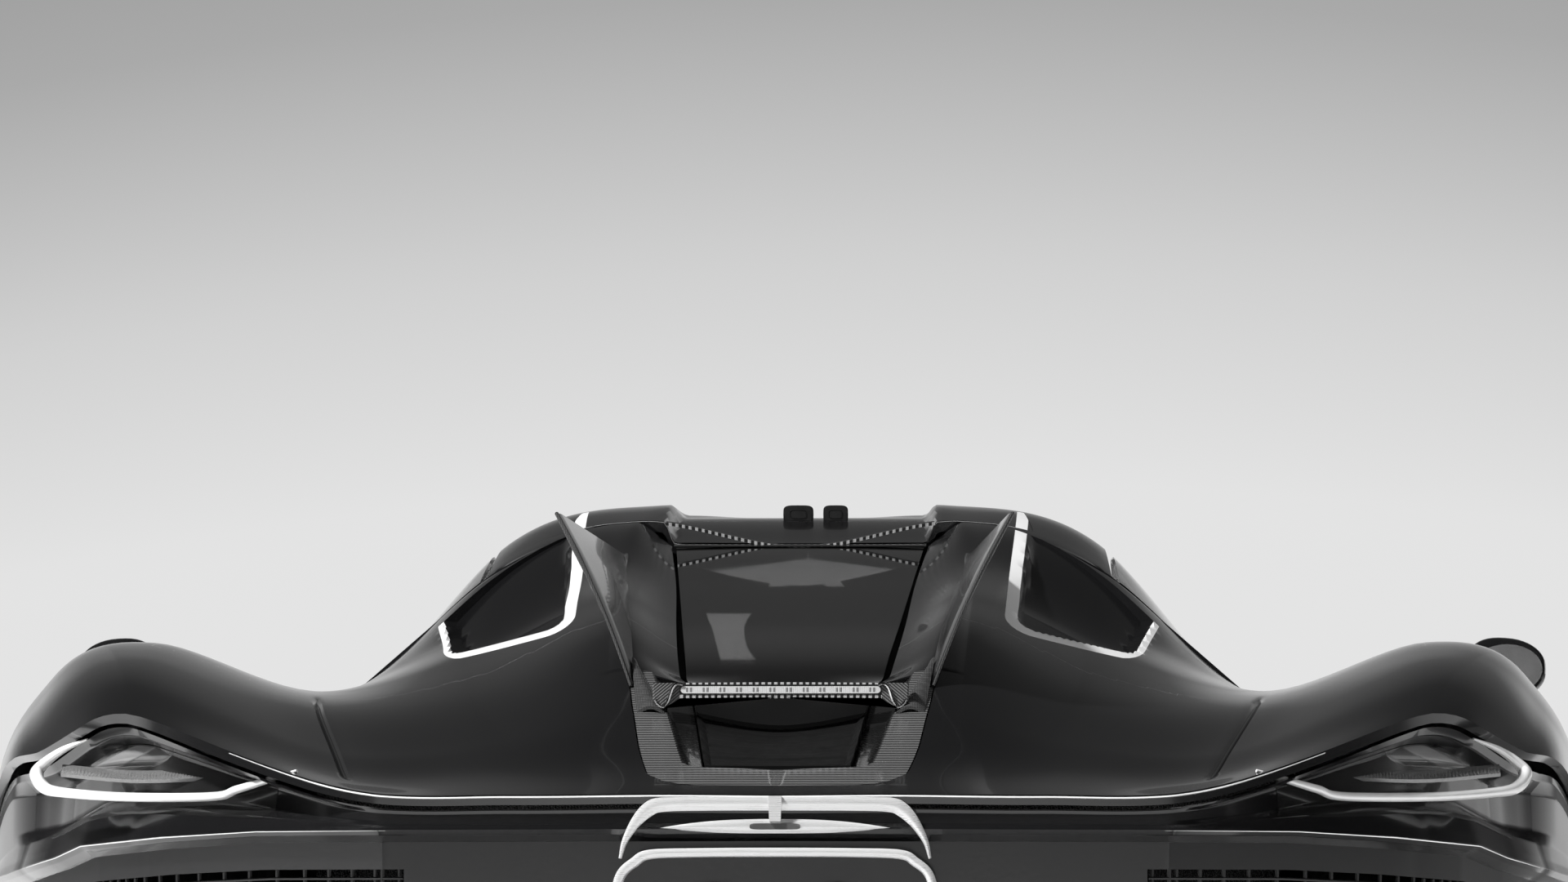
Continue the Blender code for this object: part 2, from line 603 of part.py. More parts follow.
# Front fenders and nose in one panel, with the hood's opening and the wheel arches
HOOD_LINE = 1.95


def nose_edge(lines):
    """Front edge of the fender panel."""
    return read_line(NOSE_EDGE, lines)


def arch_cutter(name, y, z, radius, inner_x):
    """Cylinder across one side of the car, for a wheel arch."""
    return cylinder(name, (inner_x, y, z), (inner_x + (1.2 if inner_x > 0 else -1.2), y, z), radius, None,
                    ARCH_CUT_SIDES, tools)


front_lines = np.array([6.75, 6.0, 5.4, 5.0, 4.5, 4, 3.5, 3.0, 2.62, 1.95])
front_lines = np.concatenate([-front_lines, [0], front_lines[::-1]])
wing_y, wing_line = patch_by_line(front_lines, fender_rear, nose_edge, 9)
front_clamshell = panel("front_clamshell", wing_y, wing_line, PANEL_THICKNESS, PAINT)
hood_y, hood_line = patch_by_y(np.linspace(COWL_Y + 0.014, HOOD_FRONT_Y, 8),
                               lambda y: np.full(y.shape, -HOOD_LINE),
                               lambda y: np.full(y.shape, HOOD_LINE), 11)
closed_y = hood_y.copy()
closed_y[0] = HOOD_HINGE_Y - 0.012
HOOD_HINGE_Z = skin(HOOD_HINGE_Y - 0.006, line_at_width(HOOD_HINGE_Y, 0.345))[2] - HOOD_THICKNESS - 0.007
HOOD_PIN_RADIUS = 0.005
hood = panel("hood", closed_y, hood_line, HOOD_THICKNESS, PAINT, inset=SHUT_GAP, taper=0.002)
open_y = hood_y.copy()
open_y[0] = COWL_Y - 0.016
cut(front_clamshell, hole("hood_hole", open_y, hood_line))
for side, sign in (("right", 1), ("left", -1)):
    fuse(hood,
         box("hood_lug_" + side, (sign * 0.301, HOOD_HINGE_Y - 0.004, HOOD_HINGE_Z),
             (sign * 0.324, HOOD_HINGE_Y + 0.010, HOOD_HINGE_Z + 0.016), STEEL),
         cylinder("hood_barrel_" + side, (sign * 0.300, HOOD_HINGE_Y, HOOD_HINGE_Z),
                  (sign * 0.325, HOOD_HINGE_Y, HOOD_HINGE_Z), HOOD_PIN_RADIUS, STEEL, 12))
    fuse(tub,
         box("hood_pin_stay_" + side, (sign * 0.327, 1.180, 0.685),
             (sign * 0.343, HOOD_HINGE_Y + 0.005, 0.705), STEEL),
         box("hood_pin_post_" + side, (sign * 0.328, HOOD_HINGE_Y - 0.004, 0.700),
             (sign * 0.342, HOOD_HINGE_Y + 0.004, HOOD_HINGE_Z), STEEL),
         cylinder("hood_pin_" + side, (sign * (0.325 + FIT_GAP), HOOD_HINGE_Y, HOOD_HINGE_Z),
                  (sign * 0.345, HOOD_HINGE_Y, HOOD_HINGE_Z), HOOD_PIN_RADIUS, STEEL, 12))
for side, sign in (("right", 1), ("left", -1)):
    cut(front_clamshell, arch_cutter("front_arch_" + side, FRONT_AXLE_Y, FRONT_TYRE_RADIUS,
                                     FRONT_TYRE_RADIUS + FRONT_ARCH_GAP, sign * 0.55))

# Nose: a wall that hangs from the fender panel's front edge
NOSE_WALL_ROWS = ((0.0, 0.0), (0.22, -0.030), (0.50, -0.058), (0.78, -0.066), (1.0, -0.050))


def plan_normal(points, outward):
    """Horizontal unit normals along a row of points that runs from left to right."""
    way = np.gradient(points[:, :2], axis=0)
    way /= np.linalg.norm(way, axis=1, keepdims=True)
    return np.stack([-way[:, 1] * outward, way[:, 0] * outward, np.zeros(len(way))], axis=1)


def nose_wall(lines, rows=NOSE_WALL_ROWS):
    """Outer and inner grids of the nose below the fender panel."""
    lines = np.asarray(lines, float)
    edge_y = nose_edge(np.abs(lines))
    top = skin(edge_y + PANEL_FIT, lines)
    facing = plan_normal(top, 1.0)
    swell = np.interp(np.abs(lines), (3.0, 6.0), (1.0, 0.0))
    outer, inner = [], []
    for share, inset in rows:
        row = top - facing * (inset * swell)[:, None]
        row[:, 2] = top[:, 2] + (FRONT_BUMPER_BOTTOM_Z - top[:, 2]) * share
        outer.append(row)
        inner.append(row - (skin_normal(edge_y, lines) if share == 0 else facing) * PANEL_THICKNESS)
    return np.array(outer), np.array(inner)


nose_outer, nose_inner = nose_wall(front_lines)
front_bumper = slab("front_bumper", nose_outer, nose_inner, PAINT)
INTAKES = ((0.0, 0.30, 0.185, 0.300), (0.60, 0.155, 0.200, 0.345), (-0.60, 0.155, 0.200, 0.345))
for middle_x, half_width, low_z, high_z in INTAKES:
    cut(front_bumper, box(f"intake_{middle_x:+.2f}", (middle_x - half_width, 1.9, low_z),
                          (middle_x + half_width, 2.6, high_z), None, tools))

# Splitter: flat blade under the nose, seated under the bumper and the front frame
SPLITTER_TOP_Z = FRONT_BUMPER_BOTTOM_Z - FIT_GAP
SPLITTER_THICKNESS = 0.018
splitter_edge = nose_outer[-1][::2, :2]
splitter_facing = plan_normal(nose_outer[-1][::2], 1.0)[:, :2]
front_reach = 2.4225 - splitter_edge[:, 1].max()
splitter_front = splitter_edge + splitter_facing * front_reach
splitter_front = [(float(x), float(y)) for x, y in splitter_front]
splitter_back = [(0.86, 1.88), (0.46, 1.62), (0.34, 1.20), (-0.34, 1.20), (-0.46, 1.62), (-0.86, 1.88)]
prism("front_splitter", splitter_front + splitter_back, SPLITTER_TOP_Z - SPLITTER_THICKNESS,
      SPLITTER_TOP_Z, CARBON)

# Headlamps let into the fender panel
HEADLAMP_FIT = 0.0025
LAMP_LINES = np.linspace(3.45, 4.55, 5)
for side, sign in (("right", 1), ("left", -1)):
    lamp_y, lamp_line = patch_by_line(sign * LAMP_LINES[::sign], lambda at: 1.93 - (at - 4) * 0.06,
                                      lambda at: 2.15 - (at - 4) * 0.10, 5)
    cut(front_clamshell, hole("headlamp_hole_" + side, lamp_y, lamp_line, 0.047))
    panel("headlamp_" + side, lamp_y, lamp_line, 0.045, LAMP, inset=HEADLAMP_FIT)

# Front frame with its wishbones, and the luggage tub on it
KINGPIN_X = FRONT_HALF_TRACK - 0.110
KNUCKLE_TOP = 0.140
KNUCKLE_BOTTOM = 0.120
BALL_RADIUS = 0.020
ARM_RADIUS = 0.013
FRONT_FRAME_HALF_WIDTH = 0.330
FRONT_FRAME_TOP_Z = 0.340
front_z = FRONT_TYRE_RADIUS
front_frame = box("front_frame", (-FRONT_FRAME_HALF_WIDTH, TUB_FRONT_Y + FIT_GAP, FRONT_BUMPER_BOTTOM_Z),
                  (FRONT_FRAME_HALF_WIDTH, 1.900, FRONT_FRAME_TOP_Z), SATIN)
for side, sign in (("right", 1), ("left", -1)):
    tower = box("spring_tower_" + side, (sign * 0.385, 1.33, 0.20), (sign * 0.325, 1.57, 0.54), SATIN)
    fuse(front_frame, tower)
    for level, ball_z, root_z in (("upper", front_z + KNUCKLE_TOP + FIT_GAP, 0.50),
                                  ("lower", front_z - KNUCKLE_BOTTOM - FIT_GAP - BALL_RADIUS, 0.21)):
        fuse(front_frame, cylinder(f"ball_{level}_{side}", (sign * KINGPIN_X, FRONT_AXLE_Y, ball_z),
                                   (sign * KINGPIN_X, FRONT_AXLE_Y,
                                    ball_z + BALL_RADIUS), BALL_RADIUS, SATIN, 12))
        for end, root_y in (("front", 1.555), ("rear", 1.345)):
            fuse(front_frame, cylinder(f"arm_{level}_{end}_{side}", (sign * 0.335, root_y, root_z),
                                       (sign * KINGPIN_X, FRONT_AXLE_Y,
                                        ball_z + BALL_RADIUS / 2), ARM_RADIUS * 0.7,
                                       SATIN, 8))

LUGGAGE_LOW = (-0.320, 1.290, FRONT_FRAME_TOP_Z + FIT_GAP)
LUGGAGE_HIGH = (0.320, 1.860, 0.560)
LUGGAGE_WALL = 0.010
luggage = box("luggage_tub", LUGGAGE_LOW, LUGGAGE_HIGH, SATIN)
cut(luggage, box("luggage_space", tuple(v + LUGGAGE_WALL for v in LUGGAGE_LOW),
                 (LUGGAGE_HIGH[0] - LUGGAGE_WALL, LUGGAGE_HIGH[1] - LUGGAGE_WALL, 0.70), None, tools))

# Knuckles of the front wheels, with their calipers
DISC_RADIUS = 0.190
DISC_X = -0.050
DISC_THICKNESS = 0.032
PIN_CLEARANCE = 0.005
HUB_INNER_X = -0.078


def placed(piece, parent):
    """Hangs a piece on an empty."""
    piece.parent = parent
    return piece


def upright(name, material, sign, group=car):
    """Knuckle plate, spindle and caliper around a wheel centre at the origin, facing out at +X."""
    plate = box(name, (sign * -0.125, -0.045, -KNUCKLE_BOTTOM), (sign * -0.095, 0.045, KNUCKLE_TOP),
                material, group)
    caliper = box(name + "_caliper", (sign * -0.105, 0.105, -0.055), (sign * -0.010, 0.215, 0.055), material)
    slot = box(name + "_slot", (sign * (DISC_X - DISC_THICKNESS / 2 - PIN_CLEARANCE), 0.0, -0.08),
               (sign * (DISC_X + DISC_THICKNESS / 2 + PIN_CLEARANCE), DISC_RADIUS + PIN_CLEARANCE,
                0.08), None)
    cut(caliper, slot)
    return fuse(plate,
                cylinder(name + "_spindle", (sign * -0.10, 0, 0), (sign * (HUB_INNER_X - FIT_GAP), 0, 0),
                         0.032, material, 16),
                box(name + "_bridge", (sign * -0.120, 0.02, -0.04), (sign * -0.098, 0.16, 0.04), material),
                caliper)


WHEELS = (
    # name, y, half track, tyre radius, tyre width, rim radius, spoke count
    ("front", FRONT_AXLE_Y, FRONT_HALF_TRACK, FRONT_TYRE_RADIUS, FRONT_TYRE_WIDTH, FRONT_RIM_RADIUS, 9),
    ("rear", REAR_AXLE_Y, REAR_HALF_TRACK, REAR_TYRE_RADIUS, REAR_TYRE_WIDTH, REAR_RIM_RADIUS, 9),
)
FLANGE = 0.009
WHEEL_STEPS = 24
BARREL_WALL = 0.008


def tyre_profile(radius, width, rim_radius):
    """Section of a tyre as (x, radius) points."""
    half = width / 2
    bead = half - 0.014
    shoulder = radius - 0.012
    middle = (radius + rim_radius) / 2
    right = [(bead, rim_radius + FIT_GAP), (bead, rim_radius + 0.012), (half, middle),
             (half - 0.005, shoulder), (half - 0.026, radius)]
    return right + [(-x, r) for x, r in right[::-1]]


def rim_profile(width, rim_radius):
    """Section of a wheel's barrel as (x, radius) points."""
    bead = width / 2 - 0.014 + FIT_GAP
    end = bead + 0.006
    return [(end, rim_radius - BARREL_WALL), (end, rim_radius + FLANGE), (bead, rim_radius + FLANGE),
            (bead, rim_radius), (-bead, rim_radius), (-bead, rim_radius + FLANGE),
            (-end, rim_radius + FLANGE),
            (-end, rim_radius - BARREL_WALL)]


def spoke_star(name, count, face_x, rim_radius, sign):
    """Tapered spokes from the hub to the barrel, as one helper of loose wedges."""
    body = bmesh.new()
    for step in range(count):
        angle = 2 * pi * step / count
        spoke = bmesh.ops.create_cube(body, size=1.0)["verts"]
        for vertex in spoke:
            outer_end = vertex.co.z > 0
            radius = rim_radius - BARREL_WALL / 2 if outer_end else 0.035
            half_width = 0.014 if outer_end else 0.011
            x = face_x - (0.0 if outer_end else 0.022) + (0.0 if vertex.co.x > 0 else -0.020)
            side = half_width if vertex.co.y > 0 else -half_width
            vertex.co = (sign * x, side * cos(angle) - radius * sin(angle),
                         side * sin(angle) + radius * cos(angle))
    bmesh.ops.recalc_face_normals(body, faces=body.faces)
    mesh = bpy.data.meshes.new(name)
    body.to_mesh(mesh)
    body.free()
    return add(name, mesh, ALLOY)


for axle, axle_y, half_track, tyre_radius, tyre_width, rim_radius, spokes in WHEELS:
    for side, sign in (("right", 1), ("left", -1)):
        centre = bpy.data.objects.new(f"wheel_centre_{axle}_{side}", None)
        car.objects.link(centre)
        centre.location = (sign * half_track, axle_y, tyre_radius)
        placed(turned(f"tyre_{axle}_{side}", tyre_profile(tyre_radius, tyre_width, rim_radius), RUBBER,
                      WHEEL_STEPS), centre)
        rim = placed(turned(f"rim_{axle}_{side}", rim_profile(tyre_width, rim_radius), ALLOY, WHEEL_STEPS),
                     centre)
        face_x = tyre_width / 2 - 0.022
        star = spoke_star(f"spokes_{axle}_{side}", spokes, face_x, rim_radius, sign)
        hub = cylinder(f"hub_{axle}_{side}", (sign * HUB_INNER_X, 0, 0), (sign * (face_x - 0.012), 0, 0),
                       0.055, ALLOY, 14)
        disc = cylinder(f"disc_{axle}_{side}", (sign * (DISC_X - DISC_THICKNESS / 2), 0, 0),
                        (sign * (DISC_X + DISC_THICKNESS / 2), 0, 0), DISC_RADIUS, ALLOY, 24)
        for helper in (star, hub, disc):
            placed(helper, centre)
        fuse(hub, disc)
        fuse(rim, star, hub)
        if axle == "front":
            knuckle = upright(f"knuckle_{side}", STEEL, sign)
            placed(knuckle, centre)
            for helper in [item for item in tools.objects if item.name.startswith(f"knuckle_{side}_")]:
                placed(helper, centre)

# Side panels between the doors and the rear wheels, with the side air intakes
COVER_LINE = FLANK
QUARTER_FRONT_Y = DOOR_REAR_Y - 0.012
for side, sign in (("right", 1), ("left", -1)):
    y, line = patch_by_y(np.linspace(-1.10, QUARTER_FRONT_Y, 7),
                         lambda at: line_at_height(at, skin(at, COVER_LINE)[..., 2] - SHUT_GAP - 0.002, 5.5,
                                                   7.0),
                         lambda at: line_at_height(at, SILL_TOP_Z + FIT_GAP), 6)
    normal = skin_normal(y, line)
    outer = skin(y, line)
    inner = outer - normal * 0.025
    inner[:, -1, 2] = outer[:, -1, 2] = SILL_TOP_Z + FIT_GAP
    if sign < 0:
        outer, inner = mirrored(outer), mirrored(inner)
    quarter = slab("quarter_" + side, outer, inner, PAINT)
    cut(quarter,
        arch_cutter("quarter_arch_" + side, REAR_AXLE_Y, REAR_TYRE_RADIUS, REAR_TYRE_RADIUS + REAR_ARCH_GAP,
                    sign * 0.55),
        box("side_intake_" + side, (sign * 0.80, -0.815, 0.42), (sign * 1.10, -0.705, 0.62), None, tools))

# Rear frame: two rails beside the engine, rear cross beam, wishbones and uprights
RAIL_INNER_X = 0.300
RAIL_OUTER_X = 0.340
RAIL_LOW_Z = 0.190
RAIL_HIGH_Z = 0.260
BULKHEAD_REAR_Y = BULKHEAD_Y - BULKHEAD_THICKNESS
FRAME_REAR_Y = -2.300
DIFFUSER_FLANGE_Z = REAR_BUMPER_BOTTOM_Z - FIT_GAP
DIFFUSER_PLATE = 0.012
KICK_TOP_Z = REAR_BUMPER_BOTTOM_Z + 0.060
rear_frame = box("rear_frame", (-RAIL_OUTER_X, FRAME_REAR_Y, REAR_BUMPER_BOTTOM_Z),
                 (RAIL_OUTER_X, FRAME_REAR_Y + 0.05, KICK_TOP_Z), SATIN)
rear_z = REAR_TYRE_RADIUS
for side, sign in (("right", 1), ("left", -1)):
    fuse(rear_frame,
         box("rail_" + side, (sign * RAIL_INNER_X, -1.76, RAIL_LOW_Z),
             (sign * RAIL_OUTER_X, BULKHEAD_REAR_Y - FIT_GAP, RAIL_HIGH_Z), SATIN),
         box("rail_post_" + side, (sign * RAIL_INNER_X, -1.755, RAIL_LOW_Z + 0.01),
             (sign * (RAIL_OUTER_X - 0.002), -1.700, KICK_TOP_Z - 0.002), SATIN),
         box("rail_kick_" + side, (sign * RAIL_INNER_X, FRAME_REAR_Y + 0.01, REAR_BUMPER_BOTTOM_Z + 0.002),
             (sign * (RAIL_OUTER_X - 0.001), -1.71, KICK_TOP_Z - 0.001), SATIN),
         box("rear_tower_" + side, (sign * RAIL_INNER_X, REAR_AXLE_Y - 0.15, RAIL_HIGH_Z - 0.01),
             (sign * (RAIL_OUTER_X - 0.002), REAR_AXLE_Y + 0.15, 0.56), SATIN),
         cylinder("drive_shaft_" + side, (sign * 0.33, REAR_AXLE_Y, rear_z),
                  (sign * (REAR_HALF_TRACK - 0.11), REAR_AXLE_Y, rear_z), 0.020, SATIN, 12))
    for level, end_z, root_z in (("upper", rear_z + 0.115, 0.50), ("lower", rear_z - 0.100, 0.21)):
        for end, root_y in (("front", REAR_AXLE_Y + 0.12), ("rear", REAR_AXLE_Y - 0.12)):
            fuse(rear_frame, cylinder(f"rear_arm_{level}_{end}_{side}", (sign * 0.325, root_y, root_z),
                                      (sign * (REAR_HALF_TRACK - 0.110),
                                       REAR_AXLE_Y + (root_y - REAR_AXLE_Y) * 0.15,
                                       end_z), ARM_RADIUS, SATIN, 8))
    rear_upright = upright("upright_" + side, SATIN, sign)
    rear_upright.location.x += sign * REAR_HALF_TRACK
    rear_upright.location.y += REAR_AXLE_Y
    rear_upright.location.z += rear_z
    for helper in [item for item in tools.objects if item.name.startswith(f"upright_{side}_")]:
        helper.location.x += sign * REAR_HALF_TRACK
        helper.location.y += REAR_AXLE_Y
        helper.location.z += rear_z
    fuse(rear_frame, rear_upright)

# Engine and gearbox, as the plain masses between the rails
ENGINE_HALF_WIDTH = RAIL_INNER_X - FIT_GAP
engine = box("engine", (-ENGINE_HALF_WIDTH, -1.320, 0.140), (ENGINE_HALF_WIDTH, -0.740, 0.400), HEAT)
fuse(engine,
     box("cylinder_heads", (-0.270, -1.280, 0.39), (0.270, -0.780, 0.640), HEAT),
     box("gearbox", (-0.150, -1.880, 0.210), (0.150, -1.31, 0.440), HEAT))

# Rear cover: fenders and deck in one panel, with the opening for the long rear window
GLASS_HALF_WIDTH = ((-2.240, 0.084), (-1.750, 0.120), (-0.400, 0.175))
SURROUND_HALF_WIDTH = ((-2.352, 0.090), (-2.335, 0.125), (-2.280, 0.150), (-2.150, 0.165),
                       (-2.000, 0.178), (-1.850, 0.188))
REAR_GLASS_Y = (-2.234, -0.450)


def tail_edge(lines):
    """Rear edge of the rear cover."""
    return read_line(TAIL_EDGE, lines)


def outline_of(pairs, gap=0.0):
    """Plan outline, mirrored, from a table of y and half width given from the rear forwards."""
    right = [(half + gap, y) for y, half in pairs]
    return right + [(-x, y) for x, y in right[::-1]]


tail_lines = np.array([6, 5.5, 5, 4.5, 4, 3.6, 3.2, 2.6, 1.9, 1.3, 1])
tail_lines = np.concatenate([-tail_lines, [0], tail_lines[::-1]])
cover_y, cover_line = patch_by_line(tail_lines, tail_edge, cover_front, 12)
rear_clamshell = panel("rear_clamshell", cover_y, cover_line, PANEL_THICKNESS, PAINT)
lip_under_z = skin(TAIL_EDGE[0][1], 1.3)[2] - PANEL_THICKNESS
COVER_HINGE_Z = lip_under_z - 0.0052
COVER_PIN_RADIUS = 0.0045
for side, sign in (("right", 1), ("left", -1)):
    fuse(rear_clamshell,
         box("cover_lug_" + side, (sign * 0.221, COVER_HINGE_Y - 0.001, COVER_HINGE_Z),
             (sign * 0.239, COVER_HINGE_Y + 0.012, lip_under_z + 0.007), STEEL),
         cylinder("cover_barrel_" + side, (sign * 0.220, COVER_HINGE_Y, COVER_HINGE_Z),
                  (sign * 0.240, COVER_HINGE_Y, COVER_HINGE_Z), COVER_PIN_RADIUS, STEEL, 12))
ROOF_INTAKE = ((0.306, -1.040), (0.430, -1.040), (0.442, -0.960), (0.310, -0.960))
for side, sign in (("right", 1), ("left", -1)):
    intake = [(sign * x, y) for x, y in ROOF_INTAKE][::sign]
    cut(rear_clamshell, prism("roof_intake_" + side, intake, 0.85, 1.20, None, tools))
window_pairs = ((-1.860, read_line(GLASS_HALF_WIDTH, -1.860)),) + GLASS_HALF_WIDTH[1:]
cut(rear_clamshell,
    prism("window_hole", outline_of(window_pairs, FIT_GAP), 0.70, 1.30, None, tools),
    prism("surround_hole", outline_of(SURROUND_HALF_WIDTH, FIT_GAP), 0.60, 1.20, None, tools))


def deck_plate(name, pairs, y_low, y_high, rows, columns, thickness, material, drop=0.0):
    """Plate that follows the skin over a tapered plan, with upright edges."""
    y = np.linspace(y_low, y_high, rows)[:, None] * np.ones(columns)
    x = read_line(pairs, y[:, :1]) * np.linspace(-1, 1, columns)
    outer = skin(y, line_at_width(y, x))
    outer[..., 2] -= drop
    return slab(name, outer, outer - (0, 0, thickness), material)


rear_glass = deck_plate("rear_glass", GLASS_HALF_WIDTH, REAR_GLASS_Y[0], REAR_GLASS_Y[1], 9, 5,
                        GLASS_THICKNESS, DARK_GLASS)
surround = deck_plate("deck_surround", SURROUND_HALF_WIDTH, -2.352, -1.8505, 8, 7, 0.010, CARBON)
cut(surround, prism("surround_window", outline_of(((REAR_GLASS_Y[0] - FIT_GAP,
                                                    0.0846),) + GLASS_HALF_WIDTH[1:], FIT_GAP),
                    0.60, 1.20, None, tools))

# Brake light bar across the window, resting on both legs of the surround
BAR_Y = (-2.030, -1.990)
BAR_HALF_WIDTH = 0.152
BAR_TOP_Z = 0.899
bar_rest = max(skin(y, line_at_width(y, BAR_HALF_WIDTH - 0.01))[2] for y in BAR_Y) - FIT_GAP
bar_outline = [(-BAR_HALF_WIDTH, bar_rest), (-0.140, bar_rest), (-0.118, 0.8805), (0.118, 0.8805),
               (0.140, bar_rest),
               (BAR_HALF_WIDTH, bar_rest), (BAR_HALF_WIDTH, bar_rest + 0.008), (0.122, BAR_TOP_Z),
               (-0.122, BAR_TOP_Z), (-BAR_HALF_WIDTH, bar_rest + 0.008)]


def crosswise(name, outline, low_y, high_y, material, group=car):
    """Prism along Y over an outline of (x, z) points."""
    piece = prism(name, outline, -high_y, -low_y, material, group)
    piece.data.transform(Matrix.Rotation(pi / 2, 4, "X"))
    return piece


crosswise("brake_light_bar", bar_outline, BAR_Y[0], BAR_Y[1], LAMP)

# Fins: two thin blades on the ridges, leaning outwards
FIN_ROOT_Y = (-1.930, -0.750)
FIN_TIP = (0.280, -1.750, 1.1135)
FIN_FRONT = (0.240, -0.750, 1.105)
FIN_THICKNESS = 0.012
fin_share = np.linspace(0, 1, 9)
fin_base_y = FIN_ROOT_Y[0] + (FIN_ROOT_Y[1] - FIN_ROOT_Y[0]) * fin_share
fin_base = skin(fin_base_y, 1.0)
fin_top = np.array(FIN_TIP) + (np.array(FIN_FRONT) - np.array(FIN_TIP)) * fin_share[:, None]
fin_base[:, 2] += FIT_GAP + 0.001
fin_inner = np.array([fin_base, fin_base + (fin_top - fin_base) * 0.5, fin_top])
for side, sign in (("right", 1), ("left", -1)):
    face = fin_inner if sign > 0 else fin_inner * (-1, 1, 1)
    slab("fin_" + side, face - (FIN_THICKNESS / 2, 0, 0), face + (FIN_THICKNESS / 2, 0, 0), PAINT)

# Tail: a wall under the rear cover's edge, recessed for the lamps, with grilles below the crease
TAIL_LEVELS = (
    # kind of height, its value, inset, further inset behind the lamps
    ("share", 1.00, 0.004, 0.000),
    ("share", 0.64, 0.004, 0.026),
    ("share", 0.20, 0.004, 0.020),
    ("share", 0.00, -0.004, 0.000),
    ("drop", 0.014, 0.010, 0.000),
    ("height", 0.500, 0.022, 0.000),
    ("height", 0.380, 0.034, 0.000),
    ("height", REAR_BUMPER_BOTTOM_Z, 0.055, 0.000))
TAIL_SIDE_Y = -1.44


def tail_wall(lines, levels):
    """Points and outward normals of the tail at lines (7 ends at the wheel arch) and levels."""
    lines = np.asarray(lines, float)
    size = np.abs(lines)
    edge_y = np.where(size > 6, -1.68 + (TAIL_SIDE_Y + 1.68) * (size - 6), tail_edge(size))
    edge_line = np.minimum(size, 6.0) * np.sign(lines)
    under = np.interp(size, (5.4, 6.0), (PANEL_THICKNESS + SHUT_GAP, 0.0))
    top = skin(edge_y, edge_line) - skin_normal(edge_y, edge_line) * under[:, None]
    top[:, 2] -= np.interp(size, (4.6, 5.4, 6.0), (0.0, 2.0, 1.3)) * SHUT_GAP
    facing = plan_normal(top, -1.0)
    crease = np.minimum(read_line(TAIL_CREASE, np.abs(top[:, 0])), top[:, 2] - 0.010)
    recess = np.interp(np.abs(top[:, 0]), (0.46, 0.56, 0.90, 0.95), (0.0, 1.0, 1.0, 0.0))
    rows = []
    for kind, value, inset, further in TAIL_LEVELS:
        row = top - facing * (inset + further * recess)[:, None]
        heights = {"share": crease + value * (top[:, 2] - crease), "drop": crease - value,
                   "height": np.full(crease.shape, value)}
        row[:, 2] = heights[kind]
        rows.append(row)
    rows = np.array(rows)
    level = np.asarray(levels, float)
    low = np.clip(np.floor(level).astype(int), 0, len(rows) - 2)
    part = (level - low)[:, None, None]
    return rows[low] * (1 - part) + rows[low + 1] * part, facing


wall_lines = np.array([7, 6.5, 6, 5.5, 5, 4.5, 4, 3.6, 3.2, 2.6, 1.3])
wall_lines = np.concatenate([-wall_lines, [0], wall_lines[::-1]])
wall_outer, wall_facing = tail_wall(wall_lines, range(len(TAIL_LEVELS)))
rear_bumper = slab("rear_bumper", wall_outer, wall_outer - wall_facing * PANEL_THICKNESS, PAINT)


def tail_hole(name, lines, levels):
    """Cutter through the tail over a patch of it."""
    points, facing = tail_wall(lines, levels)
    return slab(name, points + facing * 0.06, points - facing * 0.08, None, tools)


LAMP_FIT = 0.0015
GRILLE_FIT = 0.0006
GRILLE_ROWS, GRILLE_COLUMNS = 5, 10


def lattice(name, outer, inner, material):
    """Closed body between two point grids, with every other cell of every other row open."""
    rows, columns = outer.shape[:2]
    body = bmesh.new()
    top = [[body.verts.new(outer[i, j]) for j in range(columns)] for i in range(rows)]
    under = [[body.verts.new(inner[i, j]) for j in range(columns)] for i in range(rows)]
    for i in range(-1, rows):
        for j in range(-1, columns):
            outside = i in (-1, rows - 1) or j in (-1, columns - 1)
            solid = not outside and (i % 2 == 0 or j % 2 == 0)
            if solid:
                body.faces.new((top[i][j], top[i + 1][j], top[i + 1][j + 1], top[i][j + 1]))
                body.faces.new((under[i][j], under[i][j + 1], under[i + 1][j + 1], under[i + 1][j]))
            below = i + 1 < rows - 1 and 0 <= j < columns - 1 and (i % 2 == 1 or j % 2 == 0)
            beside = j + 1 < columns - 1 and 0 <= i < rows - 1 and (j % 2 == 1 or i % 2 == 0)
            if 0 <= j < columns - 1 and solid != below:
                body.faces.new((top[i + 1][j], top[i + 1][j + 1], under[i + 1][j + 1], under[i + 1][j]))
            if 0 <= i < rows - 1 and solid != beside:
                body.faces.new((top[i][j + 1], top[i + 1][j + 1], under[i + 1][j + 1], under[i][j + 1]))
    bmesh.ops.recalc_face_normals(body, faces=body.faces)
    bmesh.ops.triangulate(body, faces=body.faces, quad_method="FIXED")
    mesh = bpy.data.meshes.new(name)
    body.to_mesh(mesh)
    body.free()
    return add(name, mesh, material)


def spread(grid, knots, at):
    """Straight-line reading of a grid's columns at new places."""
    low = np.clip(np.searchsorted(knots, at) - 1, 0, len(knots) - 2)
    part = ((at - knots[low]) / (knots[low + 1] - knots[low]))[:, None]
    return grid[..., low, :] * (1 - part) + grid[..., low + 1, :] * part


def ribbed(low, high, bars, share):
    """Places of the edges of evenly spread bars, each taking its share of a step."""
    step = (high - low) / (bars - 1 + share)
    starts = low + step * np.arange(bars)
    return np.sort(np.concatenate([starts, starts + step * share]))


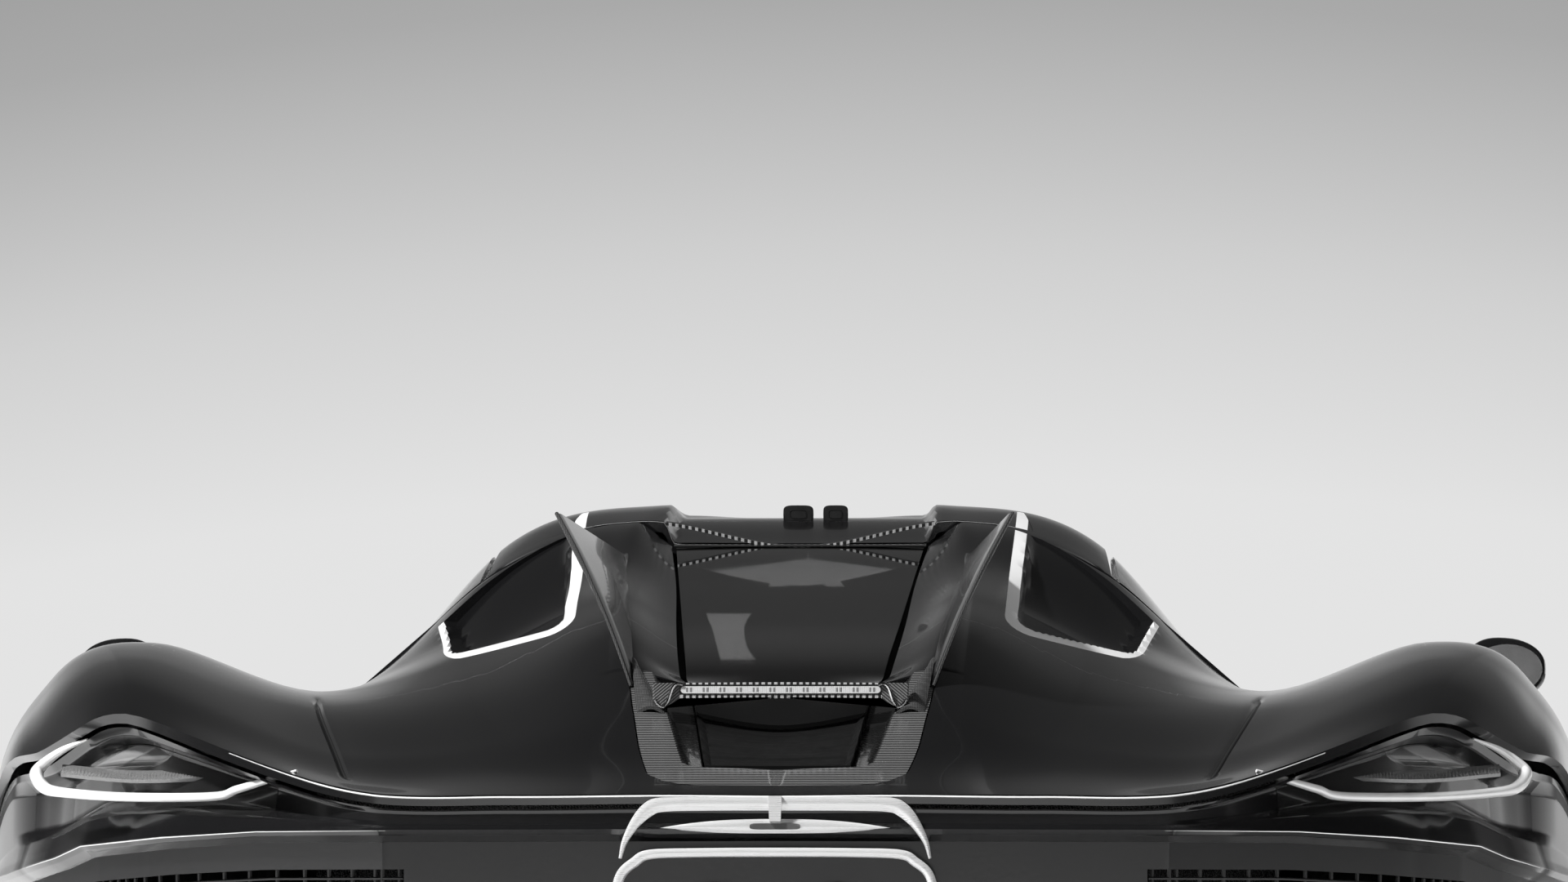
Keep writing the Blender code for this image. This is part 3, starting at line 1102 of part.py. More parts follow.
def rod(name, path, radius, material, sides=8):
    """Round bar along a path of points, with flat ends."""
    path = np.asarray(path, float)
    way = np.gradient(path, axis=0)
    way /= np.linalg.norm(way, axis=1, keepdims=True)
    up = np.cross(way, np.cross((0.0, -1.0, 0.0), way))
    up /= np.linalg.norm(up, axis=1, keepdims=True)
    out = np.cross(way, up)
    body = bmesh.new()
    rings = []
    for centre, first, second in zip(path, up, out):
        rings.append([body.verts.new(centre + radius * (cos(angle) * first + sin(angle) * second))
                      for angle in [2 * pi * k / sides for k in range(sides)]])
    for ring, following in zip(rings, rings[1:]):
        for k in range(sides):
            body.faces.new((ring[k], following[k], following[(k + 1) % sides], ring[(k + 1) % sides]))
    body.faces.new(rings[0])
    body.faces.new(rings[-1])
    bmesh.ops.recalc_face_normals(body, faces=body.faces)
    mesh = bpy.data.meshes.new(name)
    body.to_mesh(mesh)
    body.free()
    return add(name, mesh, material)


LAMP_SPAN = np.linspace(3.4, 5.05, 7)
LAMP_LEVELS = np.array([0.12, 0.5, 1.0, 1.35, 1.65])
GRILLE_SPAN = np.linspace(2.75, 5.45, 9)
GRILLE_LEVELS = np.array([4.25, 5.0, 5.5, 6.0, 6.5])
# Light tube of the tail lamp: (line, level) along it, from its inner end round the hook to its tip
LIGHT_TUBE = ((3.50, 1.15), (3.62, 1.42), (4.0, 1.50), (4.4, 1.50), (4.70, 1.42), (4.90, 1.05), (4.86, 0.70),
              (4.70, 0.42))
TUBE_RADIUS = 0.0065
for side, sign in (("right", 1), ("left", -1)):
    lamp_span = sign * LAMP_SPAN[::sign]
    grille_span = sign * GRILLE_SPAN[::sign]
    cut(rear_bumper, tail_hole("tail_lamp_hole_" + side, lamp_span, LAMP_LEVELS),
        tail_hole("grille_hole_" + side, grille_span, GRILLE_LEVELS),
        arch_cutter("bumper_arch_" + side, REAR_AXLE_Y, REAR_TYRE_RADIUS, REAR_TYRE_RADIUS + REAR_ARCH_GAP,
                    sign * 0.55))
    cut(rear_clamshell, arch_cutter("cover_arch_" + side, REAR_AXLE_Y, REAR_TYRE_RADIUS,
                                    REAR_TYRE_RADIUS + REAR_ARCH_GAP, sign * 0.55))
    points, facing = tail_wall(lamp_span, LAMP_LEVELS)
    points = drawn_in(points, LAMP_FIT)
    lamp = slab("tail_lamp_" + side, points + facing * 0.002, points - facing * 0.045, LAMP)
    tube_path = []
    for line, level in LIGHT_TUBE:
        spot, spot_facing = tail_wall([sign * (line - 0.01), sign * line, sign * (line + 0.01)][::sign],
                                      [level])
        tube_path.append(spot[0, 1] + spot_facing[1] * 0.004)
    fuse(lamp, rod("light_tube_" + side, tube_path, TUBE_RADIUS, LAMP))
    bars = ribbed(GRILLE_LEVELS[0], GRILLE_LEVELS[-1], GRILLE_ROWS, 0.28)
    posts = sign * ribbed(GRILLE_SPAN[0], GRILLE_SPAN[-1], GRILLE_COLUMNS, 0.22)[::sign]
    points, facing = tail_wall(grille_span, bars)
    points = drawn_in(spread(points, grille_span, posts), GRILLE_FIT)
    facing = spread(facing, grille_span, posts)
    lattice("rear_grille_" + side, points - facing * 0.004, points - facing * 0.010, SATIN)

# Exhaust: bright-edged hood in the middle of the tail, two pipes and the silencer behind it
HOOD_POINTS = ((-0.143, 0.693), (-0.176, 0.669), (-0.188, 0.600), (-0.150, 0.530))
HOOD_WALL = 0.012
TAIL_END_Y = -2.4225
hood_ring = [(x, z) for x, z in HOOD_POINTS] + [(-x, z) for x, z in HOOD_POINTS[::-1]]
hood_bore = [(x * 0.93, z - HOOD_WALL if z > 0.6 else z + HOOD_WALL * 0.5) for x, z in hood_ring]
exhaust = crosswise("exhaust", hood_ring[::-1], TAIL_END_Y, TAIL_END_Y + 0.10, BRIGHT)
cut(exhaust, crosswise("exhaust_bore", hood_bore[::-1], TAIL_END_Y - 0.02, TAIL_END_Y + 0.085, None, tools))
for sign in (1, -1):
    pipe = cylinder(f"pipe_{sign:+d}", (sign * 0.070, TAIL_END_Y + 0.020, 0.610),
                    (sign * 0.070, -2.10, 0.610), 0.048,
                    HEAT, 16)
    bore = cylinder(f"pipe_bore_{sign:+d}", (sign * 0.070, TAIL_END_Y - 0.01, 0.610),
                    (sign * 0.070, -2.30, 0.610), 0.042, None, 16, tools)
    fuse(exhaust, pipe)
    cut(exhaust, bore)
fuse(exhaust, box("silencer", (-0.28, -2.18, 0.50), (0.28, -1.95, 0.68), HEAT),
     box("silencer_stay", (-0.335, -2.17, KICK_TOP_Z + FIT_GAP), (0.335, -2.15, 0.52), HEAT))
hood_hole = [(x * 1.004, 0.6115 + (z - 0.6115) * 1.008) for x, z in hood_ring[::-1]]
cut(rear_bumper, crosswise("exhaust_hole", hood_hole,
                           -2.60, -2.25, None, tools))

# Notches and pins in the tail for the hinges of the rear cover
for side, sign in (("right", 1), ("left", -1)):
    cut(rear_bumper, box("cover_notch_" + side, (sign * 0.2197, -2.44, COVER_HINGE_Z - 0.014),
                         (sign * 0.246, -2.36, COVER_HINGE_Z + 0.03), None, tools))
    fuse(rear_bumper,
         box("cover_post_" + side, (sign * 0.1905, -2.3955, COVER_HINGE_Z - 0.022),
             (sign * 0.2180, -2.3905, COVER_HINGE_Z + 0.001), STEEL),
         cylinder("cover_pin_" + side, (sign * 0.190, COVER_HINGE_Y, COVER_HINGE_Z),
                  (sign * 0.2196, COVER_HINGE_Y, COVER_HINGE_Z), COVER_PIN_RADIUS, STEEL, 12))
# Diffuser: rising plate with strakes, seated under the frame and the tail
STRAKES = 5
DIFFUSER_HALF_WIDTH = 0.560
plate_profile = [(-1.700, 0.118), (-2.245, DIFFUSER_FLANGE_Z - DIFFUSER_PLATE),
                 (-2.405, DIFFUSER_FLANGE_Z - DIFFUSER_PLATE),
                 (-2.405, DIFFUSER_FLANGE_Z), (-2.240, DIFFUSER_FLANGE_Z), (-1.700, 0.118 + DIFFUSER_PLATE)]


def lengthwise(name, outline, low_x, high_x, material, group=car):
    """Prism along X over an outline of (y, z) points."""
    piece = prism(name, outline, low_x, high_x, material, group)
    piece.data.transform(Matrix(((0, 0, 1, 0), (1, 0, 0, 0), (0, 1, 0, 0), (0, 0, 0, 1))))
    return piece


diffuser = lengthwise("diffuser", plate_profile, -DIFFUSER_HALF_WIDTH, DIFFUSER_HALF_WIDTH, CARBON)
for strake in range(STRAKES):
    x = -DIFFUSER_HALF_WIDTH + 0.02 + (2 * DIFFUSER_HALF_WIDTH - 0.04) * strake / (STRAKES - 1)
    fuse(diffuser, lengthwise(f"strake_{strake}", [(-1.72, 0.112), (-2.38, 0.150), (-2.38, 0.292),
                                                   (-2.25, 0.292),
                                                   (-1.72, 0.126)], x - 0.005, x + 0.005, CARBON))

# Cabin: two bucket seats, dashboard and steering wheel
SEAT_X = 0.360
SEAT_PATH = ((0.330, 0.300), (0.200, 0.255), (0.020, 0.215), (-0.090, 0.225), (-0.165, 0.330),
             (-0.240, 0.500),
             (-0.310, 0.690), (-0.360, 0.860), (-0.385, 0.960))
SEAT_HALF_WIDTHS = (0.205, 0.225, 0.235, 0.240, 0.240, 0.240, 0.215, 0.140, 0.110)
SEAT_THICKNESS = 0.045
seat_path = np.array(SEAT_PATH)
seat_along = np.gradient(seat_path, axis=0)
seat_along /= np.linalg.norm(seat_along, axis=1, keepdims=True)
seat_face = np.stack([seat_along[:, 1], -seat_along[:, 0]], axis=1)
across = np.linspace(-1, 1, 7)
bolster = 0.075 * np.abs(across) ** 4
seat_outer = np.zeros((9, 7, 3))
for row in range(9):
    seat_outer[row, :, 0] = across * SEAT_HALF_WIDTHS[row]
    seat_outer[row, :, 1] = seat_path[row, 0] + seat_face[row, 0] * bolster
    seat_outer[row, :, 2] = seat_path[row, 1] + seat_face[row, 1] * bolster
seat_inner = seat_outer - np.array([[0, f[0], f[1]] for f in seat_face])[:, None, :] * SEAT_THICKNESS
for side, sign in (("right", 1), ("left", -1)):
    shift = (sign * SEAT_X, 0, 0)
    seat = slab("seat_" + side, seat_outer + shift, seat_inner + shift, TRIM)
    fuse(seat, box("seat_rails_" + side, (sign * SEAT_X - 0.15, -0.06, FLOOR_Z + FLOOR_THICKNESS + FIT_GAP),
                   (sign * SEAT_X + 0.15, 0.24, 0.200), TRIM))

DASH_FACE = ((0.630, 0.600), (0.660, 0.680))
DASH_OUTLINE = (DASH_FACE[0], DASH_FACE[1], (0.700, 0.735), (0.850, 0.750), (1.040 - FIT_GAP, 0.745),
                (1.040 - FIT_GAP, 0.640), (0.900, 0.590))
DASH_HALF_WIDTH = 0.500
lengthwise("dashboard", DASH_OUTLINE[::-1], -DASH_HALF_WIDTH, DASH_HALF_WIDTH, TRIM)

WHEEL_RADIUS = 0.160
WHEEL_BAR = 0.013
COLUMN_LENGTH = 0.130
dash_way = Vector((0, DASH_FACE[1][0] - DASH_FACE[0][0], DASH_FACE[1][1] - DASH_FACE[0][1])).normalized()
column_axis = Vector((0, dash_way.z, -dash_way.y))
column_end = Vector((-SEAT_X, (DASH_FACE[0][0] + DASH_FACE[1][0]) / 2,
                     (DASH_FACE[0][1] + DASH_FACE[1][1]) / 2))
column_end -= column_axis * FIT_GAP
wheel_centre = column_end - column_axis * COLUMN_LENGTH
ring = bmesh.new()
RING_STEPS, RING_SIDES = 20, 6
rings = []
for step in range(RING_STEPS):
    angle = 2 * pi * step / RING_STEPS
    radius = min(WHEEL_RADIUS, 0.118 / sin(angle)) if sin(angle) > 0 else WHEEL_RADIUS
    rings.append([ring.verts.new((cos(angle) * (radius + WHEEL_BAR * cos(turn_at)),
                                  sin(angle) * (radius + WHEEL_BAR * cos(turn_at)), WHEEL_BAR * sin(turn_at)))
                  for turn_at in [2 * pi * k / RING_SIDES for k in range(RING_SIDES)]])
for step in range(RING_STEPS):
    for k in range(RING_SIDES):
        following = rings[(step + 1) % RING_STEPS]
        ring.faces.new((rings[step][k], following[k], following[(k + 1) % RING_SIDES],
                        rings[step][(k + 1) % RING_SIDES]))
bmesh.ops.recalc_face_normals(ring, faces=ring.faces)
ring_mesh = bpy.data.meshes.new("steering_wheel")
ring.to_mesh(ring_mesh)
ring.free()
ring_mesh.shade_smooth()
wheel_turn = bpy.data.objects.new("steering_column_axis", None)
car.objects.link(wheel_turn)
wheel_turn.matrix_world = Matrix.Translation(wheel_centre) @ Matrix((
    (1, 0, 0), (0, -dash_way.y, column_axis.y), (0, -dash_way.z, column_axis.z))).to_4x4()
steering_wheel = placed(add("steering_wheel", ring_mesh, TRIM), wheel_turn)
fuse(steering_wheel,
     placed(box("wheel_spokes", (-WHEEL_RADIUS, -0.018, -0.008), (WHEEL_RADIUS, 0.022, 0.008), TRIM),
            wheel_turn),
     placed(box("wheel_boss", (-0.055, -0.045, -0.014), (0.055, 0.045, 0.030), TRIM), wheel_turn),
     placed(cylinder("column", (0, 0, 0.02), (0, 0, COLUMN_LENGTH), 0.022, TRIM, 14), wheel_turn))
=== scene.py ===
"""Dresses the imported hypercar: fine panels, glass, carbon, lamps, wheels and cabin around its solids."""
from math import cos, pi, radians, sin

import bpy
import numpy as np
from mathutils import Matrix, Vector


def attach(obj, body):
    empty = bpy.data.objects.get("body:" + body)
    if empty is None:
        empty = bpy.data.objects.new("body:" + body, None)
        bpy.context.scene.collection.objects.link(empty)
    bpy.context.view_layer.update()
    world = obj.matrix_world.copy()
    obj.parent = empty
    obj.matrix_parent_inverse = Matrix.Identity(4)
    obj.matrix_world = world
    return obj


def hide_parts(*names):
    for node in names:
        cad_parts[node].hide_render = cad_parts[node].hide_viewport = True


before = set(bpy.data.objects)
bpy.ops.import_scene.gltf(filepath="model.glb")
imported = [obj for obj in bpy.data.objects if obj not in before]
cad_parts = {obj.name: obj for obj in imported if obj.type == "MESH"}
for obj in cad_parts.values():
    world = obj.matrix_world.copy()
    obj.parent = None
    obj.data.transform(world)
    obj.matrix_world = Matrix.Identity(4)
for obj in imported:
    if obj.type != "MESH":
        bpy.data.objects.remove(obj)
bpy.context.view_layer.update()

# The studio: a pale floor with a low camera behind the car, which looks slightly up, so that
# the rear stands against a plain grey backdrop that darkens towards the top.
CAMERA_PLACE = (0.159, -11.25, 0.67)
FOCAL_PIXELS = 9480.0
PICTURE_MIDDLE = (1119.3, 1070.6)
SKY_STOPS = ((0.0, 0.79), (0.050, 0.77), (0.080, 0.63), (0.113, 0.40), (0.20, 0.10),
             (0.36, 0.030), (0.60, 0.012), (1.0, 0.04))
FLOOR_REACH = 60.0
SENSOR_WIDTH = 36.0
PICTURE_SIZE = (1920.0, 1080.0)


class Wire:
    """A socket of a material's tree; arithmetic on it adds Math nodes."""

    def __init__(self, finish, socket):
        self.finish, self.socket = finish, socket

    def math(self, operation, *others):
        return self.finish.node("ShaderNodeMath", {"operation": operation},
                                dict(enumerate((self,) + others)))

    def __add__(self, other):
        return self.math("ADD", other)

    __radd__ = __add__

    def __mul__(self, other):
        return self.math("MULTIPLY", other)

    __rmul__ = __mul__

    def __sub__(self, other):
        return self.math("SUBTRACT", other)

    def __rsub__(self, other):
        return (self * -1.0) + other

    def __truediv__(self, other):
        return self.math("DIVIDE", other)

    def __gt__(self, other):
        return self.math("GREATER_THAN", other)

    def __lt__(self, other):
        return self.math("LESS_THAN", other)

    def step(self, low, high):
        """0 below low, 1 above high, smooth between."""
        return self.finish.node("ShaderNodeMapRange", {"interpolation_type": "SMOOTHSTEP"},
                                {0: self, 1: low, 2: high, 3: 0.0, 4: 1.0})


class Finish:
    """A material, or the world, whose nodes are added one call at a time."""

    def __init__(self, name, tree_owner=None, **fixed):
        self.material = tree_owner or bpy.data.materials.new(name)
        self.material.use_nodes = True
        self.tree = self.material.node_tree
        if tree_owner is None:
            self.shader = self.tree.nodes["Principled BSDF"]
            for socket, value in fixed.items():
                self.shader.inputs[socket.replace("_", " ")].default_value = value

    def node(self, kind, settings=None, inputs=None, output=0):
        """Any node: its settings first, then the values or wires of its sockets."""
        made = self.tree.nodes.new(kind)
        for key, value in (settings or {}).items():
            if key == "stops":
                while len(made.color_ramp.elements) < len(value):
                    made.color_ramp.elements.new(1.0)
                for element, (place, colour) in zip(made.color_ramp.elements, value):
                    element.position = place
                    element.color = (*colour, 1.0) if len(colour) == 3 else colour
            else:
                setattr(made, key, value)
        for key, value in (inputs or {}).items():
            if isinstance(value, Wire):
                self.tree.links.new(value.socket, made.inputs[key])
            else:
                made.inputs[key].default_value = value
        return Wire(self, made.outputs[output])

    def feed(self, socket, wire):
        self.tree.links.new(wire.socket, self.shader.inputs[socket])
        return self

    def place(self):
        """Object coordinates, which are the car's own metres."""
        return self.node("ShaderNodeTexCoord", output=3)

    def axes(self, vector=None):
        """The three numbers of a vector, the place on the car if none is given."""
        parts = self.node("ShaderNodeSeparateXYZ", inputs={0: vector or self.place()})
        outputs = parts.socket.node.outputs
        return tuple(Wire(self, outputs[k]) for k in range(3))

    def noise(self, scale, detail=2.0, vector=None):
        return self.node("ShaderNodeTexNoise", inputs={
            "Vector": vector or self.place(), "Scale": scale, "Detail": detail})

    def mix(self, share, low, high):
        """Colour between two, by a number wire."""
        return self.node("ShaderNodeMix", {"data_type": "RGBA"}, {0: share, 6: low, 7: high}, 2)

    def between(self, share, low, high):
        """Number between two, by a number wire."""
        return self.node("ShaderNodeMapRange", {}, {0: share, 1: 0.0, 2: 1.0, 3: low, 4: high})

    def bump(self, height, distance, strength=1.0):
        return self.node("ShaderNodeBump", {}, {
            "Strength": strength, "Distance": distance, "Height": height})


def rgba(grey, blue=0.0):
    """A near-neutral colour."""
    return (grey, grey, grey + blue, 1.0)


world = bpy.data.worlds.new("studio")
bpy.context.scene.world = world
sky = Finish("studio", tree_owner=world)
sky.tree.nodes.clear()
ray = sky.node("ShaderNodeTexCoord", output=0)
height = sky.axes(ray)[2]
sideways = sky.axes(ray)[0].math("ABSOLUTE")
backdrop = sky.node(
    "ShaderNodeValToRGB", {"stops": tuple((place, (tone, tone, tone)) for place, tone in SKY_STOPS)},
    {0: height.math("MAXIMUM", 0.0) + sideways * sideways * 0.9 * (sideways < 0.12)})
light_path = sky.node("ShaderNodeLightPath")
path_outputs = light_path.socket.node.outputs
seen = Wire(sky, path_outputs["Is Camera Ray"]) + Wire(sky, path_outputs["Is Transmission Ray"])
lit = sky.mix((height * 1.2 + 0.35).math("MINIMUM", 1.0).math("MAXIMUM", 0.0), rgba(0.62), rgba(0.16))
shown = sky.mix(seen.math("MINIMUM", 1.0), lit, backdrop)
ahead = sky.axes(ray)[1].step(-0.30, 0.45) * 0.88 + 0.12
mirrored_sky = sky.mix(ahead, rgba(0.0), backdrop)
shown = sky.mix(Wire(sky, path_outputs["Is Glossy Ray"]), shown, mirrored_sky)
ground = sky.node("ShaderNodeBackground", inputs={"Color": shown, "Strength": 1.0})
world_end = sky.tree.nodes.new("ShaderNodeOutputWorld")
sky.tree.links.new(ground.socket, world_end.inputs["Surface"])

floor_finish = Finish("pale_floor", Roughness=0.6)
floor_finish.feed("Base Color", floor_finish.mix(floor_finish.noise(3.0, 4.0), rgba(0.62), rgba(0.66)))
floor_mesh = bpy.data.meshes.new("floor")
floor_mesh.from_pydata([(x * FLOOR_REACH, y * FLOOR_REACH, 0) for x, y in ((-1, -1), (1, -1), (1, 1), (-1, 1))],
                       [], [(0, 1, 2, 3)])
floor_mesh.materials.append(floor_finish.material)
floor = bpy.data.objects.new("floor", floor_mesh)
bpy.context.scene.collection.objects.link(floor)

# name, place, target, size, watts
LAMPS = (
    ("key", (-6.0, -5.0, 8.5), (0.0, -1.0, 0.8), 1.0, 2600.0),
    ("fill", (8.0, -3.0, 5.0), (0.0, 0.0, 0.6), 5.0, 220.0),
    ("front", (-3.0, 9.0, 6.0), (0.0, 1.0, 0.6), 5.0, 420.0),
)
for lamp_name, place, target, lamp_size, watts in LAMPS:
    light = bpy.data.lights.new(lamp_name, "AREA")
    light.shape = "DISK"
    light.size = lamp_size
    light.energy = watts
    lamp = bpy.data.objects.new(lamp_name, light)
    lamp.location = place
    lamp.visible_glossy = False
    lamp.visible_transmission = False
    lamp.rotation_euler = (Vector(target) - Vector(place)).to_track_quat("-Z", "Y").to_euler()
    bpy.context.scene.collection.objects.link(lamp)

camera_data = bpy.data.cameras.new("camera")
camera_data.sensor_width = SENSOR_WIDTH
camera_data.lens = FOCAL_PIXELS * SENSOR_WIDTH / PICTURE_SIZE[0]
camera_data.clip_end = 300.0
camera = bpy.data.objects.new("camera", camera_data)
camera.location = CAMERA_PLACE
aim_side = (PICTURE_SIZE[0] / 2 - PICTURE_MIDDLE[0]) / FOCAL_PIXELS
aim_up = (PICTURE_MIDDLE[1] - PICTURE_SIZE[1] / 2) / FOCAL_PIXELS
camera.rotation_euler = Vector((aim_side, 1.0, aim_up)).to_track_quat("-Z", "Y").to_euler()
bpy.context.scene.collection.objects.link(camera)
bpy.context.scene.camera = camera
bpy.context.scene.view_settings.view_transform = "Standard"

# The body skin: one smooth surface that every outer panel is a patch of, so that neighbours
# stay flush. It is set by cross sections: y, middle height, then x and z of seven lines that
# run the length of the car on each side: ridge, mid, slit, crest, shoulder, flank and sill.
SECTIONS = np.array([
    (-2.420, 0.757, 0.130, 0.758, 0.300, 0.758, 0.470, 0.762, 0.700, 0.800, 0.740, 0.720, 0.750, 0.660, 0.730, 0.300),
    (-2.200, 0.805, 0.160, 0.806, 0.330, 0.790, 0.506, 0.785, 0.758, 0.857, 0.840, 0.765, 0.850, 0.680, 0.830, 0.270),
    (-2.030, 0.843, 0.175, 0.864, 0.340, 0.825, 0.530, 0.815, 0.775, 0.895, 0.885, 0.815, 0.915, 0.700, 0.890, 0.240),
    (-1.650, 0.926, 0.197, 0.966, 0.380, 0.895, 0.580, 0.876, 0.800, 0.945, 0.920, 0.895, 0.985, 0.715, 0.940, 0.180),
    (-1.250, 0.992, 0.215, 1.030, 0.420, 0.950, 0.610, 0.905, 0.817, 0.967, 0.945, 0.924, 1.012, 0.725, 0.960, 0.140),
    (-0.850, 1.059, 0.232, 1.085, 0.425, 1.005, 0.625, 0.912, 0.830, 0.935, 0.955, 0.890, 1.000, 0.710, 0.940, 0.140),
    (-0.450, 1.125, 0.225, 1.160, 0.420, 1.100, 0.635, 0.910, 0.835, 0.870, 0.945, 0.810, 0.975, 0.640, 0.915, 0.140),
    (-0.050, 1.182, 0.205, 1.203, 0.420, 1.150, 0.645, 0.895, 0.830, 0.825, 0.930, 0.765, 0.955, 0.580, 0.900, 0.140),
    (0.350, 1.168, 0.205, 1.176, 0.435, 1.100, 0.655, 0.855, 0.820, 0.800, 0.920, 0.745, 0.950, 0.560, 0.900, 0.140),
    (0.650, 1.075, 0.210, 1.073, 0.450, 1.000, 0.655, 0.820, 0.815, 0.800, 0.920, 0.745, 0.957, 0.560, 0.910, 0.140),
    (0.950, 0.930, 0.210, 0.925, 0.460, 0.875, 0.645, 0.785, 0.810, 0.805, 0.925, 0.755, 0.970, 0.580, 0.925, 0.140),
    (1.200, 0.800, 0.210, 0.797, 0.470, 0.775, 0.630, 0.765, 0.800, 0.825, 0.930, 0.785, 0.990, 0.620, 0.950, 0.140),
    (1.4475, 0.745, 0.200, 0.742, 0.460, 0.720, 0.625, 0.735, 0.800, 0.842, 0.935, 0.810, 1.000, 0.640, 0.970, 0.140),
    (1.720, 0.680, 0.200, 0.677, 0.450, 0.660, 0.620, 0.690, 0.790, 0.805, 0.925, 0.775, 0.990, 0.600, 0.965, 0.140),
    (2.000, 0.600, 0.200, 0.597, 0.440, 0.585, 0.610, 0.620, 0.775, 0.715, 0.900, 0.685, 0.965, 0.520, 0.950, 0.140),
    (2.250, 0.505, 0.200, 0.500, 0.430, 0.495, 0.590, 0.515, 0.740, 0.575, 0.850, 0.550, 0.900, 0.420, 0.890, 0.140),
    (2.420, 0.400, 0.200, 0.400, 0.420, 0.395, 0.580, 0.390, 0.700, 0.400, 0.780, 0.370, 0.820, 0.300, 0.820, 0.140),
])
TAIL_EDGE = ((0, -2.400), (2.9, -2.400), (3.2, -2.365), (3.6, -2.290), (4, -2.200), (4.5, -2.130),
             (5, -2.030), (5.5, -1.900), (6, -1.680))
NOSE_EDGE = ((0, 2.335), (2, 2.330), (3, 2.300), (4, 2.230), (5, 2.130), (6, 2.010), (7, 1.920))
COVER_FRONT_EDGE = ((0, -0.440), (1.3, -0.440), (1.9, -0.520), (2.6, -0.660), (7, -0.660))
COWL_Y = 1.256
FENDER_REAR_EDGE = ((0, COWL_Y), (2.62, COWL_Y), (3.0, 0.990), (3.5, 0.950), (5, 0.943), (7, 0.943))
SHUT_GAP = 0.005
WALL = 0.012
# side: y and z of the axle, and the radius of the arch
REAR_ARCH = (-1.2525, 0.364, 0.405)
FRONT_ARCH = (1.4475, 0.347, 0.390)


def read_line(pairs, at):
    """Straight-line reading of a short table of pairs."""
    table = np.array(pairs, float)
    return np.interp(at, table[:, 0], table[:, 1])


def skin(y, line):
    """Points of the skin: cubic Hermite curves along the car through the sections, and then
    across it through the seven lines; a negative line is the same point on the left."""
    y, line = np.broadcast_arrays(np.asarray(y, float), np.asarray(line, float))
    at, size = y.ravel(), np.abs(line.ravel())
    knots, values = SECTIONS[:, 0], SECTIONS[:, 1:]
    slopes = np.gradient(values, knots, axis=0)
    place = np.clip(np.searchsorted(knots, at) - 1, 0, len(knots) - 2)
    span = (knots[place + 1] - knots[place])[:, None]
    t = (at - knots[place])[:, None] / span
    row = (values[place] * (1 + 2 * t) * (1 - t) ** 2 + slopes[place] * span * t * (1 - t) ** 2
           + values[place + 1] * t * t * (3 - 2 * t) - slopes[place + 1] * span * t * t * (1 - t))
    count = len(row)
    columns = np.zeros((count, 9, 2))
    columns[:, 1, 1] = row[:, 0]
    columns[:, 2:] = row[:, 1:].reshape(count, 7, 2)
    columns[:, 0] = columns[:, 2] * (-1, 1)
    across = np.zeros_like(columns)
    across[:, 1:-1] = (columns[:, 2:] - columns[:, :-2]) / 2
    across[:, -1] = columns[:, -1] - columns[:, -2]
    place = np.clip(np.floor(size).astype(int), 0, 6) + 1
    t = (size - (place - 1))[:, None]
    each = np.arange(count)
    point = (columns[each, place] * (1 + 2 * t) * (1 - t) ** 2 + across[each, place] * t * (1 - t) ** 2
             + columns[each, place + 1] * t * t * (3 - 2 * t) - across[each, place + 1] * t * t * (1 - t))
    x = point[:, 0] * np.where(line.ravel() < 0, -1, 1)
    return np.stack([x, at, point[:, 1]], axis=1).reshape(y.shape + (3,))


def skin_normal(y, line):
    """Outward unit normal of the skin, by differences of 4 mm along and across."""
    line = np.asarray(line, float)
    across = skin(y, line + 0.002) - skin(y, line - 0.002)
    along = skin(np.asarray(y) + 0.002, line) - skin(np.asarray(y) - 0.002, line)
    normal = np.cross(across, along)
    return normal / np.linalg.norm(normal, axis=-1, keepdims=True)


def halved(low, high, test):
    """Bisection on whole arrays: the value between low and high where the test turns true."""
    for _ in range(22):
        middle = (low + high) / 2
        past = test(middle)
        low, high = np.where(past, low, middle), np.where(past, middle, high)
    return (low + high) / 2


def line_at_height(y, z, low=5.2, high=7.0):
    """The line on the side of the skin that lies at height z."""
    y, z = np.broadcast_arrays(np.asarray(y, float), np.asarray(z, float))
    return halved(np.full(y.shape, low), np.full(y.shape, high), lambda line: skin(y, line)[..., 2] < z)


def line_at_width(y, x):
    """The line on the upper part of the skin that lies at x from the middle."""
    y, x = np.broadcast_arrays(np.asarray(y, float), np.asarray(x, float))
    found = halved(np.zeros(y.shape), np.full(y.shape, 4.0), lambda line: skin(y, line)[..., 0] > np.abs(x))
    return found * np.where(x < 0, -1, 1)


def grid_faces(rows, columns, closed_rows=False, closed_columns=False):
    """Four-sided faces that join each point of a grid to its neighbours."""
    i = np.arange(rows if closed_rows else rows - 1)[:, None]
    j = np.arange(columns if closed_columns else columns - 1)[None, :]
    following_i, following_j = (i + 1) % rows, (j + 1) % columns
    corners = (i * columns + j, following_i * columns + j, following_i * columns + following_j,
               i * columns + following_j)
    return np.stack([np.broadcast_to(c, (i.size, j.size)) for c in corners], -1).reshape(-1, 4)


def shell(outer, inner):
    """Points and faces of the closed wall between two grids of the same shape."""
    rows, columns = outer.shape[:2]
    count = rows * columns
    top = grid_faces(rows, columns)
    index = np.arange(count).reshape(rows, columns)
    loop = np.concatenate([index[0, :-1], index[:-1, -1], index[-1, :0:-1], index[:0:-1, 0]])
    following = np.roll(loop, -1)
    rim = np.stack([loop, following, following + count, loop + count], 1)
    return np.concatenate([outer.reshape(-1, 3), inner.reshape(-1, 3)]), np.concatenate(
        [top, top[:, ::-1] + count, rim])


